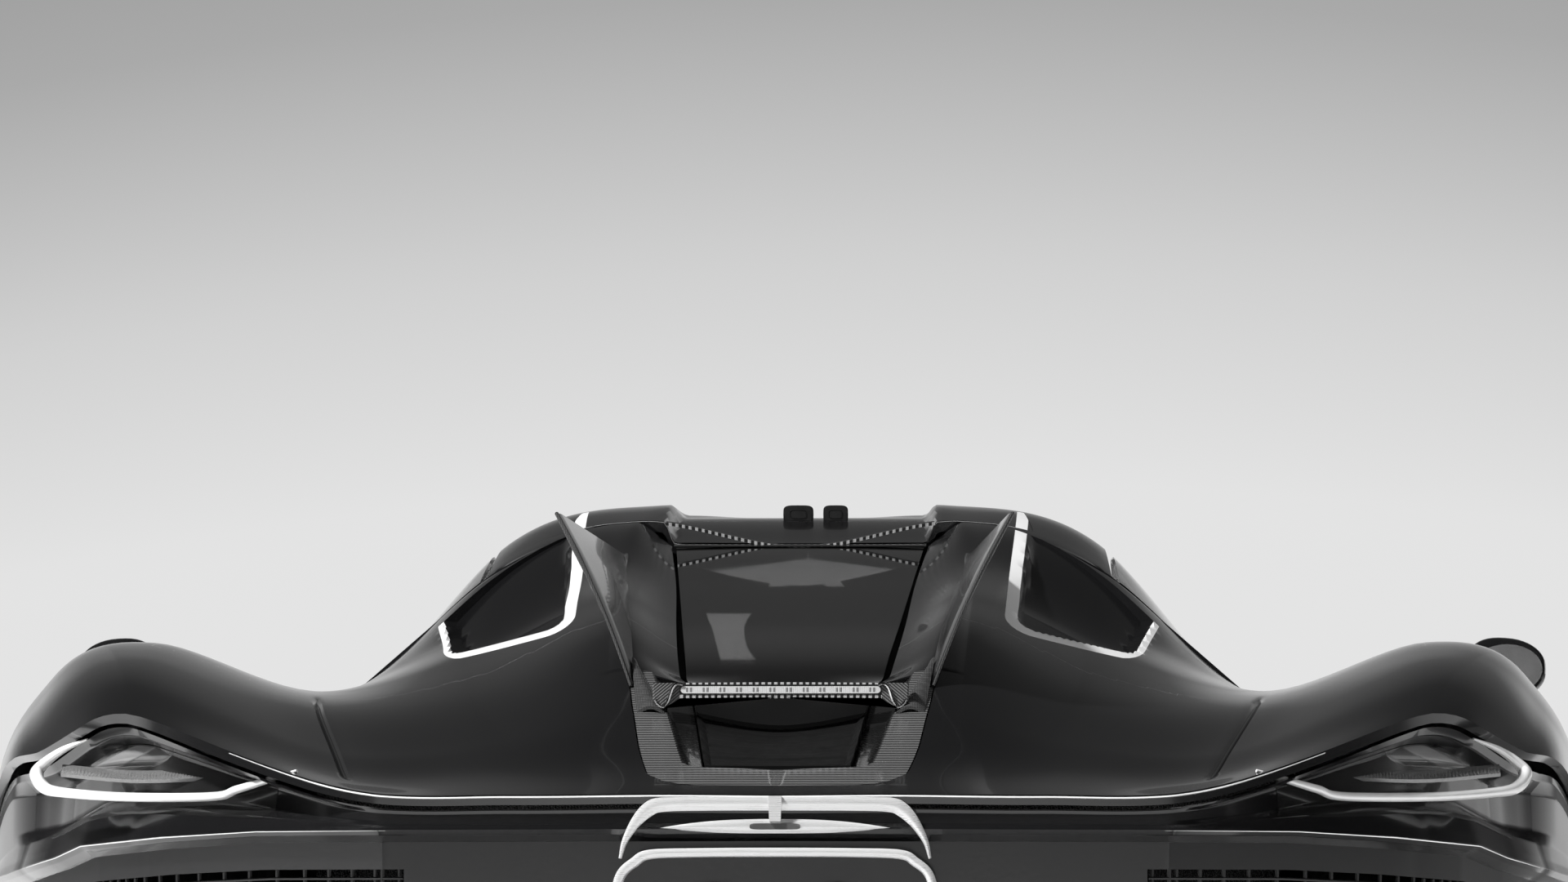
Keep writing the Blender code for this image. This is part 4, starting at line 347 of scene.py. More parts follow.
def outward(points, faces):
    """The same faces, turned round if they enclose a negative volume."""
    a, b, c, d = (points[faces[:, k]] for k in range(4))
    volume = np.einsum("ij,ij->i", a, np.cross(b, c)).sum() + np.einsum("ij,ij->i", a, np.cross(c, d)).sum()
    return faces if volume > 0 else faces[:, ::-1]


def joined(*pieces):
    """One set of points and faces from several."""
    points, faces, start = [], [], 0
    for piece_points, piece_faces in pieces:
        points.append(piece_points)
        faces.append(outward(piece_points, piece_faces) + start)
        start += len(piece_points)
    return np.concatenate(points), np.concatenate(faces)


def both_sides(points, faces):
    """A shape and its mirror image across the car's middle."""
    return joined((points, faces), (points * (-1, 1, 1), faces))


def build(name, shape, finish, body, nodes=(), sharp=35.0, values=None, uv=None):
    """Makes the object from its points and faces, with its finish, its body and its nodes."""
    points, faces = shape
    faces = outward(points, faces)
    fans = faces[:, 0] == faces[:, 3]
    mesh = bpy.data.meshes.new(name)
    mesh.from_pydata(points.tolist(), [], faces[~fans].tolist() + faces[fans, :3].tolist())
    for key, numbers in (values or {}).items():
        mesh.attributes.new(key, "FLOAT", "POINT").data.foreach_set("value", np.asarray(numbers, float).ravel())
    if uv is not None:
        corner = np.zeros(len(mesh.loops), int)
        mesh.loops.foreach_get("vertex_index", corner)
        mesh.uv_layers.new(name="pattern").data.foreach_set("uv", np.asarray(uv, float)[corner].ravel())
    mesh.shade_smooth()
    mesh.set_sharp_from_angle(angle=radians(sharp))
    mesh.materials.append(finish.material)
    piece = bpy.data.objects.new(name, mesh)
    bpy.context.scene.collection.objects.link(piece)
    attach(piece, body)
    if nodes:
        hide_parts(*nodes)
    return piece


def wall_of(y, line, thickness=WALL, lift=0.0, depth=None):
    """Closed wall on a patch of the skin; depth sinks each point below it."""
    normal = skin_normal(y, line)
    outer = skin(y, line) + normal * lift
    if depth is not None:
        outer = outer - normal * depth[..., None]
    return shell(outer, skin(y, line) + normal * (lift - thickness) - (
        0 if depth is None else normal * depth[..., None]))


# Rear cover: both haunches and the deck in one panel, with the opening for the long window,
# the slit beside each haunch, and a sunk air intake on each side that a white stripe outlines.
WINDOW_HALF_WIDTH = ((-2.240, 0.084), (-1.750, 0.120), (-0.400, 0.175))
SURROUND_HALF_WIDTH = ((-2.352, 0.090), (-2.335, 0.125), (-2.280, 0.150), (-2.150, 0.165),
                       (-2.000, 0.178), (-1.850, 0.188))
# Outline of the intake as x and z, seen along the car, and how wide the stripe is beside each edge
NOTCH = ((0.328, 1.200), (0.292, 0.986), (0.446, 0.957), (0.530, 1.080))
NOTCH_EDGE_SCALE = (1.0, 1.7, 1.7)
NOTCH_DEPTH = 0.034
NOTCH_CORNER = 0.022
STRIPE = 0.017
SLIT_DEPTH = 0.007
LIP = 0.0022

paint = Finish("black_paint", Roughness=0.13, Coat_Roughness=0.03, Coat_IOR=1.45)
stripe_at = paint.node("ShaderNodeAttribute", {"attribute_name": "stripe"}, output=2)
on_stripe = stripe_at.step(0.0014, 0.0026) * (1.0 - stripe_at.step(STRIPE + 0.0014, STRIPE + 0.0026))
haze = paint.noise(2.2, 5.0)
flake = paint.mix(paint.noise(900.0, 1.0), rgba(0.0040, 0.0002), rgba(0.0080, 0.0004))
paint.feed("Base Color", paint.mix(on_stripe, flake, rgba(0.86)))
paint.feed("Roughness", paint.between(haze, 0.10, 0.24) + on_stripe * 0.15)
paint.feed("Coat Weight", paint.between(haze, 0.60, 0.35))
paint.feed("Normal", paint.bump(paint.noise(160.0, 2.0), 0.00012, 0.35))


def seen_over(y, line):
    """Signed distance outwards from the notch's outline, seen along the car, with round corners."""
    place = np.abs(skin(y, line)[..., ::2])
    corners = np.array(NOTCH)
    reach = []
    for start, end, scale in zip(corners[:3], corners[1:], NOTCH_EDGE_SCALE):
        way = (end - start) / np.linalg.norm(end - start)
        reach.append(((place[..., 0] - start[0]) * way[1] - (place[..., 1] - start[1]) * way[0]) * scale)
    reach = np.stack(reach, -1) + NOTCH_CORNER
    outside = np.sqrt((np.maximum(reach, 0) ** 2).sum(-1))
    return np.where(reach.max(-1) > 0, outside, reach.max(-1)) - NOTCH_CORNER


def softened(value):
    """Smooth rise from 0 to 1 as the value goes from 0 to 1."""
    value = np.clip(value, 0, 1)
    return value * value * (3 - 2 * value)


def sunk(y, line):
    """Depth of the cover's recesses below the skin."""
    size = np.abs(line)
    groove = SLIT_DEPTH * np.exp(-((size - 3.0) / 0.016) ** 2)
    groove = groove * softened((y + 2.24) / 0.05) * softened((-1.42 - y) / 0.2)
    inside = np.where(size < 4.0, seen_over(y, line), 1.0)
    notch = NOTCH_DEPTH * softened(-inside / 0.016) * softened((-0.36 - y) / 0.55)
    half, ridge = read_line(WINDOW_HALF_WIDTH, y), skin(y, 1.0)[..., 0]
    share = np.clip((skin(y, size)[..., 0] - half) / (ridge - half), 0, 1)
    flank = (skin(y, size)[..., 2] - skin(y, 0.0 * size)[..., 2]) * (1 - share) * softened((y + 1.95) / 0.25)
    return groove + notch + np.maximum(flank, 0)


def half_opening(y):
    """Half width of the opening in the middle of the cover."""
    return np.where(y > -1.850, read_line(WINDOW_HALF_WIDTH, y), np.where(
        y > -2.352, read_line(SURROUND_HALF_WIDTH, y), 0.0)) + np.where(y > -2.352, 0.0012, 0.0)


def lower_edge(y):
    """Line of the cover's lower edge: the flank, or the rim of the wheel arch above it."""
    arch_y, arch_z, radius = REAR_ARCH
    rim = arch_z + np.sqrt(np.maximum(radius ** 2 - (y - arch_y) ** 2, 0.0))
    return np.minimum(line_at_height(y, rim, 4.8, 7.0), 6.0)


cover_share = np.unique(np.concatenate([
    np.linspace(0, 0.024, 4), (0.0241, 0.0250), np.linspace(0.03, 0.66, 64),
    (0.28025, 0.28075), np.linspace(0.66, 1.0, 96)]))
knots = np.concatenate([np.linspace(0, 1, 11) * 1.25, np.linspace(1.25, 2.95, 44)[1:],
                        (2.972, 2.986, 3.0, 3.014, 3.028), np.linspace(3.05, 6, 34)])
cover_line = np.broadcast_to(knots, (len(cover_share), len(knots))).copy()
for _ in range(5):
    low, high = read_line(TAIL_EDGE, cover_line), read_line(COVER_FRONT_EDGE, cover_line)
    cover_y = low + (high - low) * cover_share[:, None]
    inner_line = np.abs(line_at_width(cover_y, half_opening(cover_y)))
    inner_line = np.where(half_opening(cover_y) > 0, inner_line, 0)
    outer_line = lower_edge(cover_y)
    cover_line = np.where(knots < 1.25, inner_line + (1.25 - inner_line) * knots / 1.25, np.where(
        knots > 3.04, 3.05 + (outer_line - 3.05) * (knots - 3.05) / 2.95, knots))
cover_depth = sunk(cover_y, cover_line)
right_half = wall_of(cover_y, cover_line, depth=cover_depth)
stripe_map = np.where((cover_y > -1.5) & (cover_line < 4.0), seen_over(cover_y, cover_line), -1.0)
build("rear_cover", both_sides(*right_half), paint, "engine_cover", ("rear_clamshell",),
      values={"stripe": np.tile(np.concatenate([stripe_map.ravel(), np.full(stripe_map.size, -1.0)]), 2)})


def loft(rings):
    """Closed body through rings of points of equal count, with a fan at each end."""
    count, sides = rings.shape[:2]
    total, index = count * sides, np.arange(sides)
    following = (index + 1) % sides
    first = np.stack([np.full(sides, total), index, following, np.full(sides, total)], 1)
    last = np.stack([np.full(sides, total + 1), total - sides + following, total - sides + index,
                     np.full(sides, total + 1)], 1)
    points = np.concatenate([rings.reshape(-1, 3), [rings[0].mean(0), rings[-1].mean(0)]])
    return points, np.concatenate([grid_faces(count, sides, closed_columns=True), first, last])


def tube(path, radius, sides=10, flat=1.0):
    """Closed round bar along a path; the radius may vary, and flat squeezes it sideways."""
    path = np.asarray(path, float)
    way = np.gradient(path, axis=0)
    way /= np.linalg.norm(way, axis=1, keepdims=True)
    up = np.cross(way, np.cross((0.02, -1.0, 0.11), way))
    up /= np.linalg.norm(up, axis=1, keepdims=True)
    out = np.cross(way, up)
    turn = np.linspace(0, 2 * pi, sides, endpoint=False)[None, :, None]
    size = np.broadcast_to(radius, len(path))[:, None, None]
    return loft(path[:, None] + size * (np.cos(turn) * up[:, None] + flat * np.sin(turn) * out[:, None]))


def curve(points, steps):
    """Smooth path through a few points: cubic Hermite with central slopes."""
    points = np.asarray(points, float)
    knots = np.arange(len(points))
    slopes = np.gradient(points, axis=0)
    at = np.linspace(0, len(points) - 1, steps)
    place = np.clip(at.astype(int), 0, len(points) - 2)
    t = (at - place)[:, None]
    return (points[place] * (1 + 2 * t) * (1 - t) ** 2 + slopes[place] * t * (1 - t) ** 2
            + points[place + 1] * t * t * (3 - 2 * t) - slopes[place + 1] * t * t * (1 - t))


# Bright metal; the thin tubes of it along the tail's lip and along the creases above the grilles are painted
# highlights, lines of light on the black paint.
bright = Finish("bright_silver", Metallic=1.0)
worn = bright.noise(40.0, 6.0)
bright.feed("Base Color", bright.mix(worn, rgba(0.78), rgba(0.90)))
bright.feed("Roughness", bright.between(worn, 0.16, 0.30))
bright.feed("Normal", bright.bump(bright.noise(700.0, 2.0), 0.00006, 0.3))

# The tube along the tail's rolled lip is a painted highlight: a bright line where the edge catches the light.
lip_lines = np.concatenate([-np.linspace(3.55, 0, 90), np.linspace(0, 3.55, 90)[1:]])
lip_y = read_line(TAIL_EDGE, np.abs(lip_lines)) + 0.0004
lip_path = skin(lip_y, lip_lines) - (0, 0.0002, 0.0022)
lip_taper = LIP * (0.45 + 0.55 * softened((3.55 - np.abs(lip_lines)) / 0.5))
build("tail_lip_painted_highlight", tube(lip_path, lip_taper, 8), bright, "engine_cover")
slit_y = np.linspace(-2.20, -1.60, 40)
slit_path = skin(slit_y, 2.996) - skin_normal(slit_y, 2.996) * (SLIT_DEPTH - 0.003)
build("slit_lines", both_sides(*tube(slit_path, 0.0016, 6)), bright, "engine_cover")

# Surround of the window: a wide carbon U with fine ribs, its inner legs sunk towards the glass,
# and two runs of shiny carbon gills beside it at the ends of the light bar.
RIB_PITCH = 0.0029
SURROUND_INNER = ((-2.352, 0.0), (-2.262, 0.0), (-2.246, 0.098), (-2.225, 0.112), (-2.030, 0.136), (-1.850, 0.160))

carbon = Finish("ribbed_carbon", Coat_Roughness=0.06, Coat_Weight=0.8)
carbon_x, carbon_y, carbon_z = carbon.axes()
rib = (carbon_z * (2 * pi / RIB_PITCH)).math("SINE")
thread = ((carbon_x + carbon_y) * 1900.0).math("SINE")
on_rib = carbon.node("ShaderNodeAttribute", {"attribute_name": "rib"}, output=2)
carbon.feed("Base Color", carbon.mix((rib * 0.4 + 0.5 + thread * 0.1) * on_rib, rgba(0.008), rgba(0.130)))
carbon.feed("Roughness", carbon.between(rib * 0.5 + 0.5, 0.22, 0.42))
carbon.feed("Normal", carbon.bump(rib * on_rib, 0.0008, 0.9))

plate_y = np.concatenate([np.linspace(-2.352, -2.250, 30), np.linspace(-2.247, -2.2, 14),
                          np.linspace(-2.19, -1.8505, 40)])
outer_x = read_line(SURROUND_HALF_WIDTH, plate_y) - 0.0006
inner_x = np.minimum(read_line(SURROUND_INNER, plate_y), outer_x - 0.012)
glass_x = np.where(plate_y < -2.238, 0.0, read_line(WINDOW_HALF_WIDTH, plate_y) + 0.0012)
inner_x = np.maximum(inner_x, glass_x)
fractions = np.concatenate([np.linspace(0, 1, 8), np.linspace(1, 2, 14)[1:]])
plate_x = np.where(
    fractions <= 1, glass_x[:, None] + (inner_x - glass_x)[:, None] * np.minimum(fractions, 1),
    inner_x[:, None] + (outer_x - inner_x)[:, None] * np.maximum(fractions - 1, 0))
plate_grid_y = np.broadcast_to(plate_y[:, None], plate_x.shape)
plate_drop = 0.0004 + 0.012 * softened((inner_x[:, None] - plate_x) / 0.012) * softened(
    (plate_grid_y + 2.26) / 0.02)
plate_line = np.abs(line_at_width(plate_grid_y, np.maximum(plate_x, 1e-5)))
plate_top = skin(plate_grid_y, plate_line)
plate_top[..., 0] = plate_x
plate_top[..., 2] -= plate_drop
on_legs = softened((plate_x - inner_x[:, None] + 0.004) / 0.004)
surround_shape = both_sides(*shell(plate_top, plate_top - (0, 0, 0.008)))
build("window_surround", surround_shape, carbon, "engine_cover", ("deck_surround",),
      values={"rib": np.tile(on_legs.ravel(), 4)})

gill_share = np.linspace(0, 1, 150)
gill_rows = []
for step in np.linspace(0, 1, 9):
    gill_y = -2.035 + gill_share * 0.20
    reach_x = read_line(SURROUND_HALF_WIDTH, gill_y) - 0.004 - step * 0.034 * (1 - 0.75 * gill_share)
    spot = skin(gill_y, np.abs(line_at_width(gill_y, reach_x)))
    spot[:, 2] += 0.0005 + np.sin(pi * step) * 0.010 * (1 - 0.6 * gill_share) * (0.72 + 0.28 * np.abs(
        np.sin(gill_share * pi * 9))) + 0.020 * gill_share * (1 - step) * 0.6
    gill_rows.append(spot)
gill_top = np.array(gill_rows)
gill_under = gill_top - (0, 0, 0.004)
shiny = Finish("shiny_carbon", Roughness=0.25, Coat_Weight=0.4, Coat_Roughness=0.05)
shiny_x, shiny_y, shiny_z = shiny.axes()
twill = (shiny_x * 1500.0 + shiny_z * 1500.0).math("SINE") * (shiny_x * 1500.0 - shiny_z * 1500.0).math("SINE")
shiny.feed("Base Color", shiny.mix(twill * 0.5 + 0.5, rgba(0.010), rgba(0.075)))
shiny.feed("Normal", shiny.bump(twill, 0.0003, 0.5))
build("carbon_gills", both_sides(*shell(gill_top, gill_under)), shiny, "engine_cover")

# Long rear window: dark glass on the ridge line.
glass = Finish("dark_glass", Roughness=0.02, IOR=1.5, Transmission_Weight=1.0)
smear = glass.noise(7.0, 4.0)
glass.feed("Base Color", glass.mix(smear, rgba(0.60), rgba(0.66)))
glass.feed("Roughness", glass.between(smear, 0.0, 0.025))
window_y = np.linspace(-2.010, -0.450, 90)[:, None] * np.ones(15)
window_share = np.linspace(-1, 1, 15)
window_x = read_line(WINDOW_HALF_WIDTH, window_y[:, :1]) * window_share
window_z = skin(window_y, 0 * window_y)[..., 2] + 0.0015 * (1 - window_share ** 2)
window_top = np.stack([window_x, window_y, window_z], -1)
sill_z = skin(window_y, line_at_width(window_y, window_x))[..., 2]
window_top[..., 2] += (sill_z - window_top[..., 2]) * softened((-1.70 - window_y) / 0.25)
build("rear_window", shell(window_top, window_top - (0, 0, 0.005)), glass, "engine_cover", ("rear_glass",))

# Matt panel below the light bar, let into the surround a few millimetres and ribbed across
lower_y = np.linspace(-2.2345, -2.0115, 60)[:, None] * np.ones(41)
lower_share = np.linspace(-1, 1, 41)
lower_top = skin(lower_y, line_at_width(lower_y, read_line(WINDOW_HALF_WIDTH, lower_y[:, :1]) * lower_share))
lower_top[..., 2] -= 0.006 * softened((0.98 - np.abs(lower_share)) / 0.08) * softened((lower_y + 2.2345) / 0.01)
lower_top[..., 2] -= 0.0016 * (np.sin(lower_y * 2 * pi / 0.055) > 0)
matt = Finish("matt_black", Specular_IOR_Level=0.2)
matt.feed("Base Color", matt.mix(matt.noise(30.0, 4.0), rgba(0.004), rgba(0.009)))
matt.feed("Roughness", matt.between(matt.noise(90.0, 3.0), 0.45, 0.65))
build("window_lower_panel", shell(lower_top, lower_top - (0, 0, 0.005)), matt, "engine_cover")

# Light bar across the window: a long row of cells in a carbon frame, which bends down at both ends
# onto the surround's legs; bright dashes along the frame's edges are painted glints.
BAR_Y = (-2.030, -1.990)
BAR_HALF = 0.119
BAR_CELLS = 12
CELL_Z = 0.8893
CELL_HALF_HEIGHT = 0.0042

bar_outline = np.array([(-0.152, 0.876), (-0.141, 0.868), (-0.128, 0.8745), (-0.121, 0.8795), (0.121, 0.8795),
                        (0.128, 0.8745), (0.141, 0.868), (0.152, 0.876), (0.153, 0.8975), (0.0, 0.8985),
                        (-0.153, 0.8975)])


def crosswise(outline, low_y, high_y, rounding=0.0):
    """Closed prism along the car over an outline of x and z, given anticlockwise."""
    outline = np.asarray(outline, float)
    count = len(outline)
    middle = outline.mean(0)
    small = middle + (outline - middle) * (1 - rounding)
    rings = [(small, low_y), (outline, low_y + 0.002), (outline, high_y - 0.002), (small, high_y)]
    points = np.concatenate([np.stack([ring[:, 0], np.full(count, y), ring[:, 1]], 1) for ring, y in rings]
                            + [[(middle[0], low_y, middle[1]), (middle[0], high_y, middle[1])]])
    index = np.arange(count)
    following = (index + 1) % count
    sides = grid_faces(4, count, closed_columns=True)
    front = np.stack([np.full(count, 4 * count), index, following, np.full(count, 4 * count)], 1)
    back = np.stack([np.full(count, 4 * count + 1), 3 * count + following, 3 * count + index,
                     np.full(count, 4 * count + 1)], 1)
    return points, np.concatenate([sides, front, back])


glinting_carbon = Finish("carbon_with_painted_glints", Roughness=0.3, Coat_Weight=0.7, Coat_Roughness=0.05)
dash_x, dash_y, dash_z = glinting_carbon.axes()
# Bright dashes along the frame's top and bottom edges: painted glints of light on the carbon.
near_edge = (dash_z - 0.8895).math("ABSOLUTE").step(0.0058, 0.0064)
edge_glints = ((dash_x * (2 * pi / 0.0075)).math("SINE") * 0.5 + 0.5).step(0.35, 0.5)
hatch = ((dash_x.math("ABSOLUTE") + dash_z * 1.2) * (2 * pi / 0.0046)).math("SINE") * 0.5 + 0.5
outer_part = dash_x.math("ABSOLUTE").step(0.1200, 0.1206)
glinting_carbon.feed("Base Color", glinting_carbon.mix((near_edge * edge_glints * (1.0 - outer_part) * 0.75) + hatch * outer_part * 0.30,
                                     rgba(0.010), rgba(0.62)))
glinting_carbon.feed("Normal", glinting_carbon.bump(hatch * outer_part + edge_glints * near_edge, 0.0005, 0.6))
build("light_bar_frame", crosswise(bar_outline, *BAR_Y, 0.01), glinting_carbon, "engine_cover", ("brake_light_bar",))

cells = Finish("light_cells", Roughness=0.12, Coat_Weight=1.0, Coat_Roughness=0.03)
cell_x, cell_y, cell_z = cells.axes()
pitch = 2 * BAR_HALF / BAR_CELLS
within = ((cell_x + BAR_HALF) * (1.0 / pitch)).math("FRACT")
chip = (within - 0.5).math("ABSOLUTE").step(0.20, 0.17)
chip_pair = ((within * 4.0).math("FRACT") - 0.5).math("ABSOLUTE").step(0.36, 0.26)
row_band = (cell_z - CELL_Z).math("ABSOLUTE").step(0.0032, 0.0022)
lens_lines = (cell_x * (2 * pi / 0.0016)).math("SINE") * 0.5 + 0.5
cells.feed("Base Color", cells.mix(chip * chip_pair * row_band * 0.75 + lens_lines * 0.12, rgba(0.70), rgba(0.10)))
cells.feed("Roughness", cells.between(lens_lines, 0.10, 0.30))
cells.feed("Normal", cells.bump(lens_lines + chip, 0.0004, 0.5))
cell_turn = np.linspace(-pi / 2, pi / 2, 9)
cell_end = np.c_[BAR_HALF - CELL_HALF_HEIGHT * (1 - np.cos(cell_turn)), CELL_Z + CELL_HALF_HEIGHT * np.sin(cell_turn)]
cell_outline = np.concatenate([cell_end, cell_end[::-1] * (-1, 1)])
build("light_bar_cells", crosswise(cell_outline, BAR_Y[0] - 0.0012, BAR_Y[0] + 0.004), cells, "engine_cover")
hook = [(x, BAR_Y[0] - proud, z) for x, proud, z in (
    (0.1165, 0.0012, 0.8955), (0.1235, 0.0016, 0.8960), (0.1290, 0.0020, 0.8905), (0.1340, 0.0016, 0.8760),
    (0.1400, 0.0016, 0.8690), (0.1460, 0.0012, 0.8720), (0.1495, 0.0012, 0.8775))]
build("light_bar_hooks", both_sides(*tube(curve(hook, 40), 0.0021, 8)), bright, "engine_cover")

# Fins: two thin blades on the ridges that lean outwards, with a carbon rear edge.
FIN_TIP = (0.280, -1.750, 1.1125)
FIN_FRONT = (0.240, -0.750, 1.104)
FIN_ROOT_Y = (-1.930, -0.750)
FIN_HALF_THICKNESS = 0.0055

rise = np.linspace(0, 1, 22)[:, None]
run = np.linspace(0, 1, 60)[None, :]
root_y = FIN_ROOT_Y[0] + (FIN_ROOT_Y[1] - FIN_ROOT_Y[0]) * run
root = skin(np.broadcast_to(root_y, (22, 60)), 1.0)
top_edge = np.array(FIN_TIP) + (np.array(FIN_FRONT) - np.array(FIN_TIP)) * run[..., None]
bow = np.sin(pi * rise) * (1 - run) * 0.006
fin_face = root + (top_edge - root) * rise[..., None] + np.stack([-bow, 0 * bow, 0 * bow], -1)
fin_face[..., 2] += 0.0012 * (1 - rise)
slim = FIN_HALF_THICKNESS * (0.35 + 0.65 * np.minimum(1, np.minimum(run, 1 - run) * 30 + 0.2))
slim = np.broadcast_to(slim * (1 - 0.35 * rise), rise.shape[:1] + run.shape[1:])[..., None]
side_way = np.array([0.94, 0.0, -0.34])
fin_shape = shell(fin_face - side_way * slim, fin_face + side_way * slim)
build("fins", both_sides(*fin_shape), paint, "engine_cover", ("fin_left", "fin_right"))
rear_edge = fin_face[:, 0] + (0, -0.001, 0)
edge_size = np.interp(rise[:, 0], (0, 0.55, 0.78, 1), (0.0026, 0.0030, 0.0052, 0.0036))
edge_size = np.interp(np.linspace(0, 1, 60), rise[:, 0], edge_size)
build("fin_edges", both_sides(*tube(curve(rear_edge, 60), edge_size, 10, 0.7)), shiny, "engine_cover")

# Tail: a wall under the cover's edge, deeply recessed under a brow for the lamps, with a crease
# above each rear grille. Its rows run from the cover down to the diffuser.
TAIL_CREASE = ((0, 0.722), (0.60, 0.720), (0.716, 0.7136), (0.822, 0.704), (0.86, 0.690), (0.94, 0.670),
               (1.1, 0.640))
TAIL_LEVELS = (
    # kind of height, its value, inset, further inset behind the lamps
    ("share", 1.00, 0.003, 0.000),
    ("share", 0.93, 0.003, 0.006),
    ("share", 0.80, 0.004, 0.034),
    ("share", 0.40, 0.004, 0.030),
    ("share", 0.27, 0.004, 0.004),
    ("share", 0.10, 0.000, 0.000),
    ("share", 0.00, -0.004, 0.000),
    ("drop", 0.006, 0.002, 0.000),
    ("drop", 0.014, 0.016, 0.000),
    ("height", 0.500, 0.026, 0.000),
    ("height", 0.380, 0.036, 0.000),
    ("height", 0.300, 0.055, 0.000))
GRILLE_LINES = (2.75, 5.45)
GRILLE_LEVELS = (8.15, 9.9)


def plan_normal(points, way_out):
    """Horizontal unit normals along a row of points that runs from left to right."""
    way = np.gradient(points[:, :2], axis=0)
    way /= np.linalg.norm(way, axis=1, keepdims=True)
    return np.stack([-way[:, 1] * way_out, way[:, 0] * way_out, np.zeros(len(way))], axis=1)


def tail_wall(lines, levels, sink=0.0):
    """Points of the tail and their level outward directions; line 7 is at the wheel arch."""
    lines = np.asarray(lines, float)
    size = np.abs(lines)
    edge_y = np.where(size > 6, -1.68 + 0.24 * (size - 6), read_line(TAIL_EDGE, size))
    edge_line = np.minimum(size, 6.0) * np.sign(lines)
    drawn_in = np.interp(size, (5.4, 6.0), (0.0165, 0.0))[:, None]
    top = skin(edge_y, edge_line) - skin_normal(edge_y, edge_line) * drawn_in
    top[:, 2] -= np.interp(size, (4.6, 5.4, 6.0), (0.0, 2.0, 1.3)) * SHUT_GAP
    top[:, 2] -= 0.0005
    facing = plan_normal(top, -1.0)
    crease = np.minimum(read_line(TAIL_CREASE, np.abs(top[:, 0])), top[:, 2] - 0.010)
    recess = softened(np.interp(np.abs(top[:, 0]), (0.455, 0.60, 0.895, 0.94), (0.0, 1.0, 1.0, 0.0)))
    rows = []
    for kind, value, inset, further in TAIL_LEVELS:
        row = top - facing * (inset + further * recess + sink)[:, None]
        row[:, 2] = {"share": crease + value * (top[:, 2] - crease), "drop": crease - value,
                     "height": np.full(crease.shape, value)}[kind]
        rows.append(row)
    rows = np.array(rows)
    level = np.asarray(levels, float)
    low = np.clip(np.floor(level).astype(int), 0, len(rows) - 2)
    part = (level - low)[:, None, None]
    return rows[low] * (1 - part) + rows[low + 1] * part, facing


satin = Finish("satin_black")
cloud = satin.noise(12.0, 6.0)
satin.feed("Base Color", satin.mix(cloud, rgba(0.016), rgba(0.030)))
satin.feed("Roughness", satin.between(cloud, 0.32, 0.55))
satin.feed("Normal", satin.bump(satin.noise(800.0, 2.0), 0.0002, 0.4))

wall_levels = np.concatenate([np.linspace(0, 8.0, 90), np.linspace(8.0, 11, 28)[1:]])
ranges = (
    # name, line ends, columns, level ends; the grille fills what they leave open
    ("inner", 0.0, GRILLE_LINES[0] - 0.01, 30, 0.0, 11.0),
    ("above", GRILLE_LINES[0] - 0.01, GRILLE_LINES[1] + 0.01, 90, 0.0, GRILLE_LEVELS[0]),
    ("below", GRILLE_LINES[0] - 0.01, GRILLE_LINES[1] + 0.01, 40, GRILLE_LEVELS[1], 11.0),
    ("outer", GRILLE_LINES[1] + 0.01, 7.0, 34, 0.0, 11.0),
)
tail_pieces = []
for name, low_line, high_line, columns, low_level, high_level in ranges:
    lines = np.linspace(low_line, high_line, columns)
    levels = np.unique(np.clip(wall_levels, low_level, high_level))
    outer, facing = tail_wall(lines, levels)
    if name == "outer":
        arch_y, arch_z, radius = REAR_ARCH
        near = np.hypot(outer[..., 1] - arch_y, outer[..., 2] - arch_z)
        outer[..., 1] -= np.maximum(radius - near, 0) * 1.02
    tail_pieces.append(shell(outer, outer - facing * 0.012))
tail_right = joined(*tail_pieces)
build("tail_panel", both_sides(*tail_right), paint, "chassis", ("rear_bumper",))

lattice = Finish("grille_mesh")
lattice.feed("Base Color", lattice.mix(lattice.noise(30.0, 4.0), rgba(0.010), rgba(0.022)))
lattice.feed("Roughness", lattice.between(lattice.noise(90.0, 3.0), 0.35, 0.55))
grille_pieces = []
for level in np.linspace(GRILLE_LEVELS[0] + 0.05, GRILLE_LEVELS[1] - 0.05, 9):
    bar, facing = tail_wall(np.linspace(GRILLE_LINES[0], GRILLE_LINES[1], 60), [level], 0.012)
    grille_pieces.append(tube(bar[0], 0.0030, 6, 0.6))
for line in np.linspace(GRILLE_LINES[0] + 0.02, GRILLE_LINES[1] - 0.02, 26):
    span_lines = [line - 0.01, line, line + 0.01]
    post, facing = tail_wall(span_lines, np.linspace(GRILLE_LEVELS[0], GRILLE_LEVELS[1], 14), 0.013)
    grille_pieces.append(tube(post[:, 1], 0.0026, 6))
build("rear_grilles", both_sides(*joined(*grille_pieces)), lattice, "chassis",
      ("rear_grille_left", "rear_grille_right"))
# A bright tube just under the crease above each grille is a painted highlight: the line of light along the shelf's
# edge.
crease_line, facing = tail_wall(np.linspace(2.85, 5.3, 90), [6.15])
crease_highlight_size = 0.0013 * np.sin(np.linspace(0.12, pi - 0.35, 90))
build("crease_painted_highlights", both_sides(*tube(crease_line[0], crease_highlight_size, 6)), bright, "chassis")

